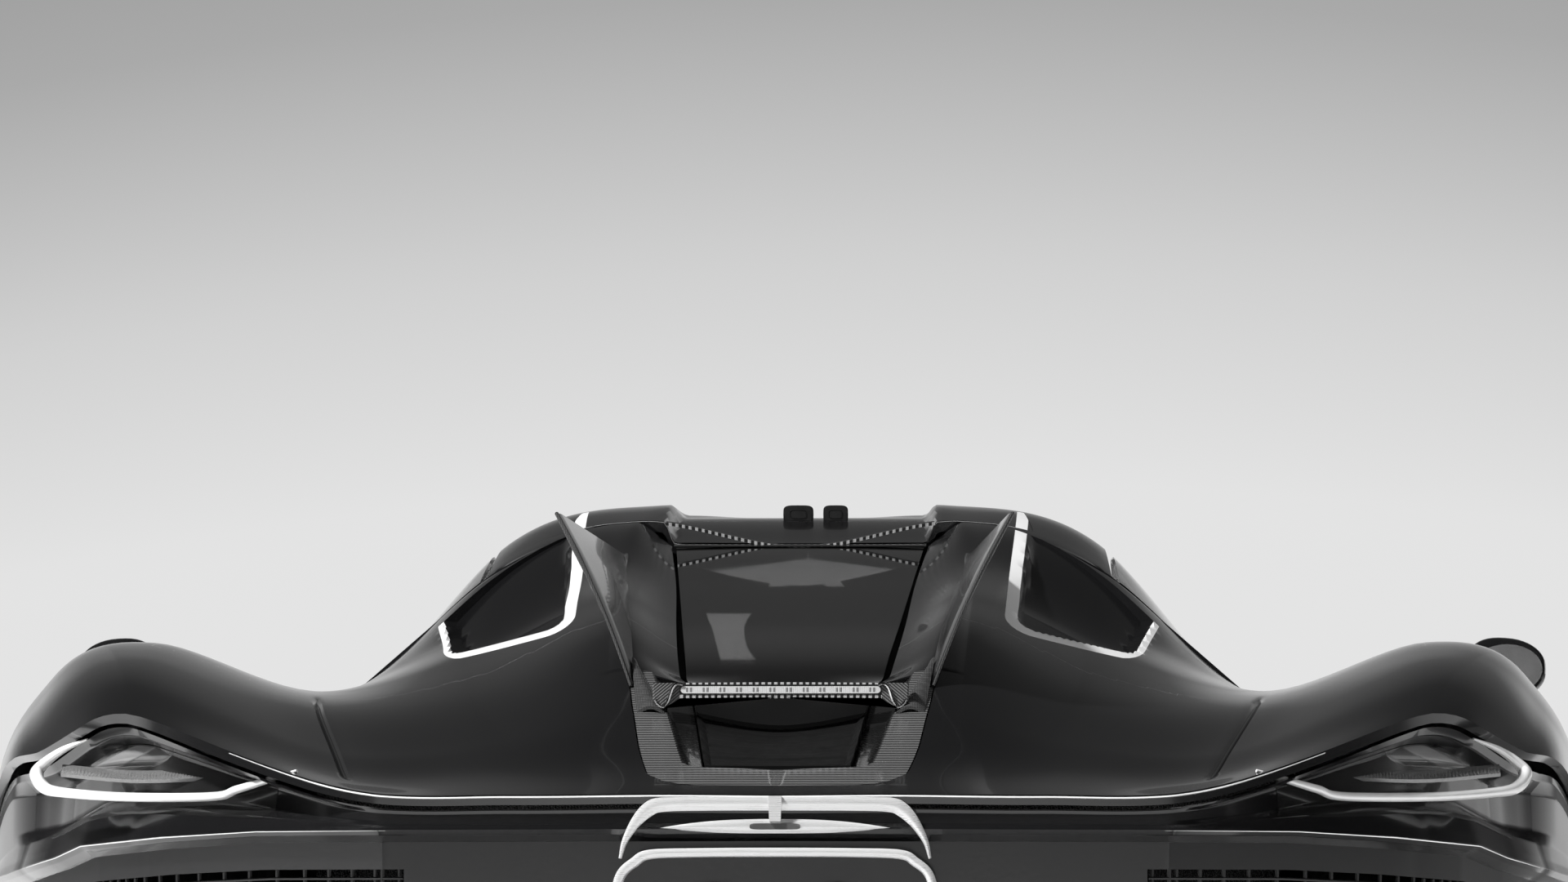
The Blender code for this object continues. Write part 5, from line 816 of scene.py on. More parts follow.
# Tail lamps: a dark bowl under the brow, a hooked bright tube, a smoked lens above it and a
# finely ribbed strip between them.
LAMP_HOOK = ((0.553, -2.320, 0.789), (0.590, -2.305, 0.778), (0.625, -2.290, 0.7680), (0.655, -2.270, 0.7600),
             (0.761, -2.220, 0.7600), (0.8415, -2.160, 0.7660), (0.868, -2.125, 0.7730), (0.880, -2.090, 0.7890),
             (0.868, -2.088, 0.8040), (0.846, -2.098, 0.8180), (0.817, -2.120, 0.8290))
HOOK_RADII = (0.0026, 0.0050, 0.0062, 0.0066, 0.0068, 0.0076, 0.0096, 0.0105, 0.0076, 0.0052, 0.0018)
LENS = ((0.600, -2.240, 0.799), (0.655, -2.215, 0.807), (0.705, -2.185, 0.811), (0.760, -2.150, 0.808),
        (0.812, -2.105, 0.797))
STRIP = ((0.600, -2.262, 0.786), (0.680, -2.228, 0.782), (0.760, -2.180, 0.781), (0.850, -2.105, 0.789))

lamp_dark = Finish("lamp_bowl", Roughness=0.25, Coat_Weight=1.0, Coat_Roughness=0.05)
lamp_dark.feed("Base Color", lamp_dark.mix(lamp_dark.noise(60.0, 3.0), rgba(0.006), rgba(0.014)))
bowl_lines, bowl_levels = np.linspace(3.42, 5.02, 60), np.linspace(1.6, 4.2, 26)
bowl, facing = tail_wall(bowl_lines, bowl_levels)
bowl_up, bowl_along = np.linspace(0, 1, 26)[:, None], np.linspace(0, 1, 60)
edge_fade = np.minimum(1, np.minimum(bowl_up, 1 - bowl_up) * 6) * np.minimum(
    1, np.minimum(bowl_along, 1 - bowl_along) * 9)
bowl = bowl + facing * (0.001 + 0.0015 * edge_fade[..., None])
build("lamp_bowls", both_sides(*shell(bowl, bowl - facing * 0.004)), lamp_dark, "chassis",
      ("tail_lamp_left", "tail_lamp_right"))

hook_path = curve(LAMP_HOOK, 90)
hook_size = np.interp(np.linspace(0, len(LAMP_HOOK) - 1, 90), np.arange(len(LAMP_HOOK)), HOOK_RADII)
frosted = Finish("frosted_tube", Roughness=0.22, Metallic=0.30, Coat_Weight=0.6, Coat_Roughness=0.04)
frosted.feed("Base Color", frosted.mix(frosted.noise(25.0, 5.0), rgba(0.70), rgba(0.92)))
build("lamp_hooks", both_sides(*tube(hook_path, hook_size, 16, 0.8)), frosted, "chassis")

lens_path = curve(LENS, 60)
lens_size = 0.0005 + 0.0115 * np.sin(np.linspace(0.08, pi - 0.08, 60)) ** 0.7
smoked = Finish("smoked_lens", Roughness=0.06, Coat_Weight=1.0, Coat_Roughness=0.02, IOR=1.49)
smoke_x, smoke_y, smoke_z = smoked.axes()
facet = ((smoke_x.math("ABSOLUTE") + smoke_z * 2.0) * 85.0).math("SINE").step(-0.2, 0.4)
smoked.feed("Base Color", smoked.mix(facet * 0.6 + smoked.noise(40.0, 4.0) * 0.4, rgba(0.05), rgba(0.20)))
smoked.feed("Normal", smoked.bump(facet, 0.002, 0.5))
build("lamp_lenses", both_sides(*tube(lens_path, lens_size, 20, 1.3)), smoked, "chassis")

strip_u, strip_v = np.linspace(0, 1, 240), np.linspace(0, 1, 8)
strip_base = curve(STRIP, 240)
ridge = 0.0022 * np.abs(np.sin(strip_u * pi * 62))
strip = strip_base[:, None, :] + strip_v[None, :, None] * np.array([0.0, 0.020, 0.011])
strip[..., 1] -= ridge[:, None] * np.sin(pi * strip_v)[None, :]
ribbed = Finish("ribbed_strip", Roughness=0.25, Metallic=0.6, Coat_Weight=0.5, Coat_Roughness=0.05)
ribbed.feed("Base Color", ribbed.mix(ribbed.noise(300.0, 2.0), rgba(0.16), rgba(0.30)))
build("lamp_strips", both_sides(*shell(strip, strip + (0, 0.003, -0.004))), ribbed, "chassis")

# Middle of the tail: a wide silver arch with a spindle under it, a small post, and the bright
# hood of the exhaust with its two pipes.
CENTRE_Y = -2.4035
# Outlines as x and z from the right end to the middle, and their widths
ARCH_SPAN = ((0.177, 0.688), (0.172, 0.707), (0.160, 0.728), (0.146, 0.743), (0.130, 0.7495),
             (0.085, 0.7510), (0.0, 0.7512))
ARCH_WIDTH = (0.0035, 0.0065, 0.0120, 0.0165, 0.0170, 0.0170, 0.0170)
HOOD_SPAN = ((0.186, 0.605), (0.183, 0.640), (0.176, 0.669), (0.160, 0.684), (0.143, 0.6925),
             (0.090, 0.6945), (0.0, 0.6950))
HOOD_WIDTH = (0.0085, 0.0095, 0.0105, 0.0110, 0.0108, 0.0104, 0.0104)
HOOD_FLOOR_SPAN = ((0.186, 0.605), (0.178, 0.565), (0.150, 0.530), (0.100, 0.524), (0.0, 0.523))
HOOD_FLOOR_WIDTH = (0.0075, 0.0075, 0.0075, 0.0065, 0.0065)


def band(middle_line, widths, low_y, high_y, crown=0.003):
    """Closed flat band that follows an outline of x and z, its width set along it."""
    line = np.asarray(middle_line, float)
    line = np.concatenate([line, line[-2::-1] * (-1, 1)])
    sizes = np.concatenate([widths, list(widths)[-2::-1]])
    path = curve(np.c_[line, sizes], 120)
    way = np.gradient(path[:, :2], axis=0)
    way /= np.linalg.norm(way, axis=1, keepdims=True)
    out = np.stack([way[:, 1], -way[:, 0]], 1)
    across = np.linspace(-1, 1, 9)
    spot = path[:, None, :2] + out[:, None, :] * (across[None, :, None] * path[:, None, 2:3] / 2)
    face_y = low_y + crown * across[None, :] ** 2 + 0 * path[:, :1]
    front = np.stack([spot[..., 0], face_y, spot[..., 1]], -1)
    back = front.copy()
    back[..., 1] = high_y
    return shell(front, back)


brushed = Finish("brushed_silver", Metallic=0.45)
brush_x, brush_y, brush_z = brushed.axes()
streak = brushed.noise(1.0, 4.0, brushed.node("ShaderNodeMapping", {}, {
    "Vector": brushed.place(), "Scale": Vector((18.0, 400.0, 900.0))}))
brushed.feed("Base Color", brushed.mix(streak, rgba(0.62), rgba(0.80)))
brushed.feed("Roughness", brushed.between(streak, 0.20, 0.38))
brushed.feed("Normal", brushed.bump(streak, 0.0002, 0.3))
build("silver_arch", band(ARCH_SPAN, ARCH_WIDTH, CENTRE_Y, CENTRE_Y + 0.020), brushed, "chassis",
      sharp=50)
spindle_x = np.linspace(-1, 1, 70)
spindle_half = 0.0082 * (1 - np.abs(spindle_x) ** 2.6)
spindle_rows = []
for share in np.linspace(-1, 1, 9):
    spindle_rows.append(np.stack([spindle_x * 0.1315, CENTRE_Y + 0.0015 + 0.003 * share ** 2 + 0 * spindle_x,
                                  0.7228 + 0.002 * (1 - spindle_x ** 2) + share * spindle_half], 1))
spindle = np.array(spindle_rows)
build("silver_spindle", shell(spindle, spindle + (0, 0.014, 0)), brushed, "chassis", sharp=50)


def squared(count, half_across, half_up, across_power, up_power):
    """Outline of a rounded oblong: the cosine and the sine of a turn, each raised to a power that
    keeps its sign, times its half size."""
    turn = np.linspace(0, 2 * pi, count, endpoint=False)
    across, up = np.cos(turn), np.sin(turn)
    return np.c_[np.sign(across) * np.abs(across) ** across_power * half_across,
                 np.sign(up) * np.abs(up) ** up_power * half_up]


build("spindle_window", crosswise(squared(32, 0.0290, 0.0036, 0.3, 0.5) + (0, 0.7245), CENTRE_Y - 0.0008,
                                  CENTRE_Y + 0.006), smoked, "chassis")
build("centre_post", crosswise([(-0.0066, 0.7300), (0.0066, 0.7300), (0.0078, 0.7590), (-0.0078, 0.7590)],
                               CENTRE_Y - 0.004, CENTRE_Y + 0.016, 0.02), brushed, "chassis")

build("exhaust_hood", band(HOOD_SPAN, HOOD_WIDTH, -2.4215, -2.330), brushed, "chassis", ("exhaust",),
      sharp=50)
build("exhaust_hood_floor", band(HOOD_FLOOR_SPAN, HOOD_FLOOR_WIDTH, -2.4205, -2.335), satin, "chassis",
      sharp=50)
heated = Finish("heated_metal", Metallic=1.0)
heat_y = heated.axes()[1]
blue = (heat_y + 2.42).step(0.0, 0.12)
heated.feed("Base Color", heated.mix(blue, (0.22, 0.24, 0.34, 1), (0.55, 0.47, 0.38, 1)))
heated.feed("Roughness", heated.between(heated.noise(60.0, 4.0), 0.18, 0.36))


def turned(profile, centre, steps, axis="y"):
    """Closed profile of (along, radius) points swept round an axis through the centre."""
    profile = np.asarray(profile, float)
    turn = np.linspace(0, 2 * pi, steps, endpoint=False)[:, None]
    along = np.broadcast_to(profile[:, 0], (steps, len(profile)))
    first, second = np.sin(turn) * profile[:, 1], np.cos(turn) * profile[:, 1]
    parts = (first, along, second) if axis == "y" else (along, first, second)
    return (np.stack(parts, -1) + np.asarray(centre)).reshape(-1, 3), grid_faces(
        steps, len(profile), closed_rows=True, closed_columns=True)


pipe_profile = [(-2.405, 0.0480), (-2.402, 0.0490), (-2.10, 0.0490), (-2.10, 0.0440), (-2.35, 0.0440),
                (-2.402, 0.0450)]
build("exhaust_pipes", both_sides(*turned(pipe_profile, (0.070, 0, 0.610), 48)), heated, "chassis")
silencer_outline = [(0.28 * cos(t), 0.590 + 0.088 * sin(t)) for t in np.linspace(0, 2 * pi, 41)[:-1]]
silencer_outline = [(abs(x / 0.28) ** 0.5 * 0.28 * np.sign(x), z) for x, z in silencer_outline]
build("silencer", crosswise(silencer_outline, -2.178, -1.952, 0.03), heated, "chassis")
stay = [(-0.335, 0.3605), (0.335, 0.3605), (0.335, 0.52), (-0.335, 0.52)]
build("silencer_stay", crosswise(stay, -2.169, -2.151, 0.005), satin, "chassis")
inside_hood = Finish("hood_inside", Roughness=0.6)
inside_hood.feed("Base Color", inside_hood.mix(inside_hood.noise(40.0, 4.0), rgba(0.004), rgba(0.010)))
hood_back = [(x * 0.97, (z - 0.61) * 0.97 + 0.61) for x, z in
             list(HOOD_SPAN) + [(-x, z) for x, z in HOOD_SPAN[-2::-1]] + [(-0.150, 0.530), (0.150, 0.530)]]
build("exhaust_hood_back", crosswise(hood_back[::-1], -2.338, -2.331, 0.0), inside_hood, "chassis")

# Diffuser: a rising carbon plate with five strakes under the tail.
STRAKE_COUNT = 5
DIFFUSER_HALF = 0.560
# y and z of the middle of the plate's thickness, from its front edge to the rear one
DIFFUSER_PATH = ((-1.700, 0.124), (-1.950, 0.192), (-2.200, 0.270), (-2.252, 0.292), (-2.300, 0.2937),
                 (-2.405, 0.2937))

weave = Finish("carbon_weave", Coat_Weight=0.8, Coat_Roughness=0.08)
weave_x, weave_y, weave_z = weave.axes()
warp = ((weave_x + weave_y * 0.2 + weave_z) * 1250.0).math("SINE")
weft = ((weave_y - weave_x * 0.2 + weave_z * 0.7) * 1250.0).math("SINE")
cross = (warp * weft).step(-0.3, 0.3)
weave.feed("Base Color", weave.mix(cross, rgba(0.010), rgba(0.038)))
weave.feed("Roughness", weave.between(cross, 0.24, 0.40))
weave.feed("Normal", weave.bump(warp * weft, 0.0003, 0.5))
profile = curve(DIFFUSER_PATH, 60)
plate_x = np.linspace(-DIFFUSER_HALF, DIFFUSER_HALF, 40)
plate = np.stack(np.broadcast_arrays(plate_x[:, None], profile[:, 0], profile[:, 1] + 0.0055), -1)
diffuser_pieces = [shell(plate, plate - (0, 0, 0.011))]
along = np.linspace(0, 1, 30)
strake_y = np.interp(along, (0, 1), (-1.72, -2.375))
strake_z = np.stack([np.interp(along, (0, 0.8, 1), (0.122, 0.286, 0.288)),
                     np.interp(along, (0, 0.9, 1), (0.114, 0.142, 0.160))])
for strake_x in np.linspace(-DIFFUSER_HALF + 0.02, DIFFUSER_HALF - 0.02, STRAKE_COUNT):
    face = np.stack(np.broadcast_arrays(strake_x, strake_y, strake_z), -1)
    diffuser_pieces.append(shell(face - (0.004, 0, 0), face + (0.004, 0, 0)))
build("diffuser_blades", joined(*diffuser_pieces), weave, "chassis", ("diffuser",))

# Roof: a panel with two raised bubbles and a sunk channel between them, a carbon header above
# the window, two small camera housings, and the frame that carries the windscreen.
ROOF_LINE = 1.52
ROOF_Y = (-0.418, 0.330)
PODS = ((-0.030, 0.0156), (0.0275, 0.0653))
POD_Z = 1.1865
POD_HALF_HEIGHT = 0.0134


def even(y_low, y_high, line_low, line_high, rows, columns):
    """Grid of y and line between two lengths and two lines, which may be functions of y."""
    y = np.linspace(y_low, y_high, rows)[:, None] * np.ones(columns)
    low = line_low(y[:, 0]) if callable(line_low) else np.full(rows, line_low)
    high = line_high(y[:, 0]) if callable(line_high) else np.full(rows, line_high)
    return y, low[:, None] + (high - low)[:, None] * np.linspace(0, 1, columns)


roof_y, roof_line = even(*ROOF_Y, -ROOF_LINE + 0.004, ROOF_LINE - 0.004, 70, 110)
roof_x = skin(roof_y, roof_line)[..., 0]
level = skin(roof_y, roof_line)[..., 2] - skin(roof_y, 0.0 * roof_line)[..., 2] - 0.003
channel = level * softened((0.192 - np.abs(roof_x)) / 0.022) * softened((0.26 - roof_y) / 0.25)
roof_stripe = np.where(roof_y < -0.150, seen_over(roof_y, roof_line), -1.0)
build("roof", wall_of(roof_y, roof_line, 0.016, depth=channel), paint, "chassis", ("roof_panel",),
      values={"stripe": np.concatenate([roof_stripe.ravel(), np.full(roof_stripe.size, -1.0)])})
pod_shapes = []
for low_x, high_x in PODS:
    middle, half = (low_x + high_x) / 2, (high_x - low_x) / 2 - 0.001
    ring = squared(32, half, POD_HALF_HEIGHT, 0.45, 0.45)
    pod_shapes.append(crosswise(ring + (middle, POD_Z), -0.1295, -0.0805, 0.10))
    pod_shapes.append(crosswise(ring * (0.55, 0.45) + (middle, POD_Z), -0.1300, -0.1285, 0.10))
build("roof_pods", joined(*pod_shapes), lamp_dark, "chassis")

header_y, header_line = even(-0.4385, -0.4195, -0.83, 0.83, 8, 60)
header_finish = Finish("header_carbon_painted_glints", Roughness=0.3, Coat_Weight=0.7, Coat_Roughness=0.05)
head_x, head_y, head_z = header_finish.axes()
# A row of bright dashes at the header's rear edge and the top of its hem: painted glints of light on the carbon weave.
head_row = (head_y + 0.4375).math("ABSOLUTE").step(0.0042, 0.0026)
head_glint_dashes = head_row * (head_x * (2 * pi / 0.0092)).math("SINE").step(-0.1, 0.3)
header_finish.feed("Base Color", header_finish.mix(head_glint_dashes * 0.75, rgba(0.012), rgba(0.45)))
header_finish.feed("Normal", header_finish.bump((head_x * 1300.0).math("SINE"), 0.0003, 0.4))
build("roof_header", wall_of(header_y, header_line, 0.004, lift=0.0006), header_finish, "chassis")
# The hem of the header hangs down to the glass; the bright dashes along its top are painted glints.
hem_top = np.stack(np.broadcast_arrays(np.linspace(-0.176, 0.176, 90), -0.4385, skin(-0.4385, 0.0)[2] + 0.002), 1)
hem = np.stack([hem_top + (0, -0.0005, 0.0015), hem_top + (0, -0.0165, -0.0008)])
build("header_hem", shell(hem, hem - (0, 0, 0.0015)), header_finish, "chassis")

SCREEN_Y = (0.365, 1.222)
BELT = 3.0


def screen_edge(y):
    """Line along the side of the windscreen."""
    return np.interp(y, (0.30, 1.25), (1.88, 2.42))


def side_glass_edge(y):
    """Upper edge of the side window."""
    return np.interp(y, (0.30, 0.62, 0.925), (2.12, 2.42, 2.90))


screen_y, screen_line = even(*SCREEN_Y, lambda y: -screen_edge(y) + 0.01, lambda y: screen_edge(y) - 0.01, 60, 80)
build("front_screen", wall_of(screen_y, screen_line, 0.005), glass, "chassis", ("windscreen",))

pillar_y = np.concatenate([np.linspace(-0.655, -0.52, 12), np.linspace(-0.51, 0.36, 50),
                           np.linspace(0.37, 1.225, 60), np.linspace(1.226, 1.2555, 4)])
pillar_low = np.where(pillar_y > 0.352, np.where(pillar_y < 1.226, screen_edge(pillar_y), 0.002), ROOF_LINE)
start_line = np.interp(pillar_y, (-0.660, -0.520, -0.440), (2.59, 1.88, 1.30)) + 0.02
pillar_low = np.where(pillar_y < -0.418, start_line, pillar_low)
pillar_low = np.where((pillar_y > 0.331) & (pillar_y < 0.3640), 0.002, pillar_low)
pillar_high = np.where(pillar_y < -0.498, 2.95, side_glass_edge(pillar_y) - 0.055)
pillar_high = np.where(pillar_y > 0.94, np.interp(pillar_y, (0.990, 1.256), (2.95, 2.55)), pillar_high)
pillar_high = np.maximum(pillar_high, pillar_low + 0.03)
pillar_line = pillar_low[:, None] + (pillar_high - pillar_low)[:, None] * np.linspace(0, 1, 26)
frame_parts = [wall_of(pillar_y[:, None], pillar_line * sign, 0.026) for sign in (1, -1)]
build("cabin_frame_panels", joined(*frame_parts), paint, "chassis", ("cabin_frame",))

# Doors: one thick panel each, from the belt down to the sill, with its side window, its handle
# and a mirror on a stalk.
DOOR_REAR_Y = -0.648
DOOR_FRONT_GAP = 0.010
DOOR_BOTTOM_Z = 0.280
MIRROR_CENTRE = (1.070, 0.700, 0.985)
MIRROR_SIZE = (0.0625, 0.074, 0.049)

share = np.linspace(0, 1, 90)[:, None] * np.ones(70)
full_lines = np.linspace(BELT + 0.012, 6.6, 70)
front_y = read_line(FENDER_REAR_EDGE, full_lines) - DOOR_FRONT_GAP
door_y = DOOR_REAR_Y + (front_y - DOOR_REAR_Y) * share
door_low = line_at_height(door_y, DOOR_BOTTOM_Z)
door_line = full_lines[0] + (door_low - full_lines[0]) * np.linspace(0, 1, 70)
scoop = 0.020 * softened((door_line - 4.9) / 0.7) * softened((6.7 - door_line) / 0.8)
scoop = scoop * softened((0.35 - door_y) / 0.6) * softened((door_y + 0.66) / 0.1)
door_shape = wall_of(door_y, door_line, 0.045, depth=scoop)
handle_y = np.linspace(-0.46, -0.30, 20)
handle_path = skin(handle_y, 4.62) + skin_normal(handle_y, 4.62) * (0.004 * np.sin(np.linspace(0, pi, 20)))[:, None]
handle = tube(handle_path, 0.006, 10, 0.6)
mirror_x, mirror_y, mirror_z = MIRROR_CENTRE
for side, sign in (("right", 1), ("left", -1)):
    body = "door_" + side
    turn = np.array((sign, 1, 1))
    build(body + "_panel", joined((door_shape[0] * turn, door_shape[1]), (handle[0] * turn, handle[1])), paint, body,
          (body,))
    glass_y, glass_line = even(-0.490, 0.920, side_glass_edge, BELT + 0.004, 70, 24)
    points, faces = wall_of(glass_y, glass_line, 0.005)
    build("side_glass_" + side, (points * turn, faces), glass, body, ("door_glass_" + side,))
    polar, azimuth = np.linspace(0.03, pi - 0.03, 30)[:, None], np.linspace(0, 2 * pi, 49)[:-1][None, :]
    shell_x = np.sin(polar) * np.cos(azimuth)
    shell_z = np.sin(polar) * np.sin(azimuth)
    shell_y = np.cos(polar) + 0 * azimuth
    shape = np.stack([np.sign(shell_x) * np.abs(shell_x) ** 0.85 * MIRROR_SIZE[0],
                      np.where(shell_y < 0, np.maximum(shell_y * MIRROR_SIZE[1], -0.034 + 0.006 * np.abs(shell_x)),
                               shell_y * MIRROR_SIZE[1]),
                      np.sign(shell_z) * np.abs(shell_z) ** 0.85 * MIRROR_SIZE[2] * (1 - 0.12 * shell_x)], -1)
    shape = (shape + MIRROR_CENTRE).reshape(-1, 3) * turn
    faces = grid_faces(30, 48, closed_columns=True)
    count = len(shape)
    caps = np.array([(mirror_x, mirror_y + MIRROR_SIZE[1], mirror_z), (mirror_x, mirror_y - 0.034, mirror_z)]) * turn
    index = np.arange(48)
    near = np.stack([np.full(48, count), (index + 1) % 48, index, np.full(48, count)], 1)
    far = np.stack([np.full(48, count + 1), 29 * 48 + index, 29 * 48 + (index + 1) % 48, np.full(48, count + 1)], 1)
    faces = np.concatenate([faces[:, ::-1], near, far])[:, ::-1]
    foot = skin(np.array([0.688]), np.array([3.52]))[0]
    stalk = curve([foot, foot + (0.030, 0.004, 0.045), (0.985, mirror_y, 0.962), (1.040, mirror_y, 0.972)], 30)
    stalk_points, stalk_faces = tube(stalk, np.linspace(0.017, 0.012, 30), 14, 1.5)
    build("mirror_shell_" + side, joined((np.concatenate([shape, caps]), faces), (stalk_points * turn, stalk_faces)),
          paint, body, ("mirror_" + side,))
    face_turn = np.linspace(0, 2 * pi, 49)[:-1]
    glass_ring = np.c_[mirror_x * sign + np.cos(face_turn) * 0.054, mirror_z + np.sin(face_turn) * 0.038]
    build("mirror_face_" + side, crosswise(glass_ring, 0.6630, 0.6670), bright, body)
    seal_y = np.linspace(-0.63, 0.955, 60)
    seal = skin(seal_y, BELT + 0.045) + skin_normal(seal_y, BELT + 0.045) * 0.0008
    points, faces = tube(seal, 0.0028, 8)
    build("belt_seal_" + side, (points * turn, faces), satin, body)

# Front: fenders and nose in one panel with open arches, the hood, and the lamps let into them.
HOOD_LINE = 1.95
HOOD_Y = (COWL_Y + 0.020, 2.054)
LAMP_AT = (3.45, 4.55)
WING_BOTTOM = 6.76


def lamp_rear(line):
    """Rear edge of the headlamp."""
    return 1.93 - (line - 4) * 0.06


def lamp_front(line):
    """Front edge of the headlamp."""
    return 2.15 - (line - 4) * 0.10


arch_y, arch_z, arch_radius = FRONT_ARCH
wing_parts = []
# line ends, columns, and the shares of the way from the rear edge to the nose that are kept
WING_STRIPS = ((0.0, HOOD_LINE, 34, "nose"), (HOOD_LINE, LAMP_AT[0], 34, "all"), (*LAMP_AT, 28, "behind"),
               (*LAMP_AT, 28, "before"), (LAMP_AT[1], WING_BOTTOM, 60, "all"))
for low_line, high_line, columns, kept in WING_STRIPS:
    strip = np.linspace(low_line, high_line, columns)
    rear, nose = read_line(FENDER_REAR_EDGE, strip), read_line(NOSE_EDGE, strip)
    start = {"nose": np.full(columns, 2.060), "before": lamp_front(strip) + 0.0012}.get(kept, rear)
    end = lamp_rear(strip) - 0.0012 if kept == "behind" else nose
    rows = 130 if kept != "nose" else 50
    y = start + (end - start) * np.linspace(0, 1, rows)[:, None]
    line = np.broadcast_to(strip, y.shape).copy()
    if high_line > 6:
        spread_lines = (strip - low_line) / (high_line - low_line)
        rim = arch_z + np.sqrt(np.maximum(arch_radius ** 2 - (y - arch_y) ** 2, 0))
        over = np.abs(y - arch_y) < arch_radius - 0.001
        bottom = np.where(over, np.minimum(line_at_height(y, rim, 4.6, 7.0), WING_BOTTOM), WING_BOTTOM)
        line = low_line + (bottom - low_line) * spread_lines
    wing_parts.append(wall_of(y, line))
build("front_wings", both_sides(*joined(*wing_parts)), paint, "chassis", ("front_clamshell",))

hood_y, hood_line = even(*HOOD_Y, -HOOD_LINE + 0.035, HOOD_LINE - 0.035, 90, 90)
hood_x = skin(hood_y, hood_line)[..., 0]
vent = 0.0096 * softened((0.19 - np.abs(np.abs(hood_x) - 0.22)) / 0.02) * softened((hood_y - 1.62) / 0.05)
vent = vent * softened((1.86 - hood_y) / 0.16)
build("hood_skin", wall_of(hood_y, hood_line, depth=vent), paint, "hood", ("hood",))

strip = np.linspace(*LAMP_AT, 40)
lamp_y = lamp_rear(strip) + (lamp_front(strip) - lamp_rear(strip)) * np.linspace(0.004, 0.996, 30)[:, None]
lamp_shapes = [wall_of(lamp_y, strip * sign, 0.003) for sign in (1, -1)]
bowl_shapes = [wall_of(lamp_y, strip * sign, 0.030, lift=-0.010) for sign in (1, -1)]
clear = Finish("clear_lens", Roughness=0.01, IOR=1.45, Transmission_Weight=1.0)
clear.feed("Base Color", clear.mix(clear.noise(5.0), rgba(0.90), rgba(0.96)))
build("headlamp_lenses", joined(*lamp_shapes), clear, "chassis")
build("headlamp_bowls", joined(*bowl_shapes), lamp_dark, "chassis", ("headlamp_left", "headlamp_right"))
blade_parts = []
for offset in (3.62, 3.86, 4.10, 4.34):
    y = np.linspace(lamp_rear(offset) + 0.03, lamp_front(offset) - 0.03, 24)
    blade_parts.append(tube(skin(y, offset) - skin_normal(y, offset) * 0.010, 0.0055, 10))
build("headlamp_tubes", both_sides(*joined(*blade_parts)), frosted, "chassis")

# Nose: a wall under the wings' front edge with three mesh intakes, over a flat splitter.
# share of the way down, and how far the wall is drawn in there
NOSE_ROWS = ((0.0, 0.0), (0.10, -0.006), (0.22, -0.030), (0.36, -0.046), (0.50, -0.058), (0.64, -0.063),
             (0.78, -0.066), (1.0, -0.050))
NOSE_BOTTOM_Z = 0.140
# middle x, half width, low and high z
INTAKES = ((0.0, 0.30, 0.185, 0.300), (0.60, 0.155, 0.200, 0.345))

nose_lines = np.linspace(0, 6.75, 150)


def nose_wall(lines, heights, push=0.0):
    """Points of the nose at these lines and heights, and their outward directions."""
    edge_y = read_line(NOSE_EDGE, np.abs(lines))
    top = skin(edge_y + 0.0008, lines)
    facing = plan_normal(top, 1.0)
    swell = np.interp(np.abs(lines), (3.0, 6.0), (1.0, 0.0))
    shares, insets = np.array(NOSE_ROWS).T
    z = np.minimum(heights, top[:, 2] - 0.0005)
    share = (z - top[:, 2]) / (NOSE_BOTTOM_Z - top[:, 2])
    inset = np.interp(share, shares, insets)
    row = top - facing * (inset * swell + push)[:, None]
    row[:, 2] = z
    return row, facing


nose_heights = np.concatenate([np.linspace(NOSE_BOTTOM_Z, 0.185, 8), np.linspace(0.186, 0.345, 30),
                               np.linspace(0.35, 0.60, 40)])
nose_grid = np.array([nose_wall(nose_lines, h)[0] for h in nose_heights])
nose_facing = nose_wall(nose_lines, 0.2)[1]
scoops = np.zeros(nose_grid.shape[:2])
for middle_x, half_width, low_z, high_z in INTAKES:
    reach = np.maximum(np.abs(nose_grid[..., 0] - middle_x) - half_width,
                       np.abs(nose_grid[..., 2] - (low_z + high_z) / 2) - (high_z - low_z) / 2)
    scoops = np.maximum(scoops, 0.034 * softened(-reach / 0.014))
nose_shape = nose_grid - nose_facing[None] * scoops[..., None]
nose_half = shell(nose_shape, nose_shape - nose_facing[None] * 0.010)
build("nose_panel", both_sides(*nose_half), paint, "chassis", ("front_bumper",))
mesh_parts = []
for middle_x, half_width, low_z, high_z in INTAKES:
    low_x = max(middle_x - half_width, 0.0)
    lines = np.abs(line_at_width(np.full(60, 2.30), np.linspace(low_x + 0.01, middle_x + half_width - 0.01, 60)))
    for z in np.arange(low_z + 0.012, high_z - 0.006, 0.016):
        row, facing = nose_wall(lines, z, 0.018)
        mesh_parts.append(tube(row, 0.0022, 6))
build("nose_meshes", both_sides(*joined(*mesh_parts)), lattice, "chassis")
low_nose, facing = nose_wall(np.concatenate([-nose_lines[:0:-1], nose_lines]), NOSE_BOTTOM_Z)
blade_front = low_nose[:, :2] + facing[:, :2] * (2.4215 - low_nose[:, 1].max()) * 0.98
blade_rear_y = np.interp(np.abs(blade_front[:, 0]), (0.34, 0.46, 0.8, 1.0), (1.22, 1.64, 1.90, 1.92))
blade_back = np.c_[np.clip(blade_front[:, 0] * 0.86, -0.80, 0.80), blade_rear_y]
across = np.linspace(0, 1, 30)[:, None, None]
blade = blade_front[None] * (1 - across) + blade_back[None] * across
blade_top = np.concatenate([blade, np.full(blade.shape[:2] + (1,), 0.1392)], -1)
build("splitter_blade", shell(blade_top, blade_top - (0, 0, 0.0165)), weave, "chassis", ("front_splitter",))

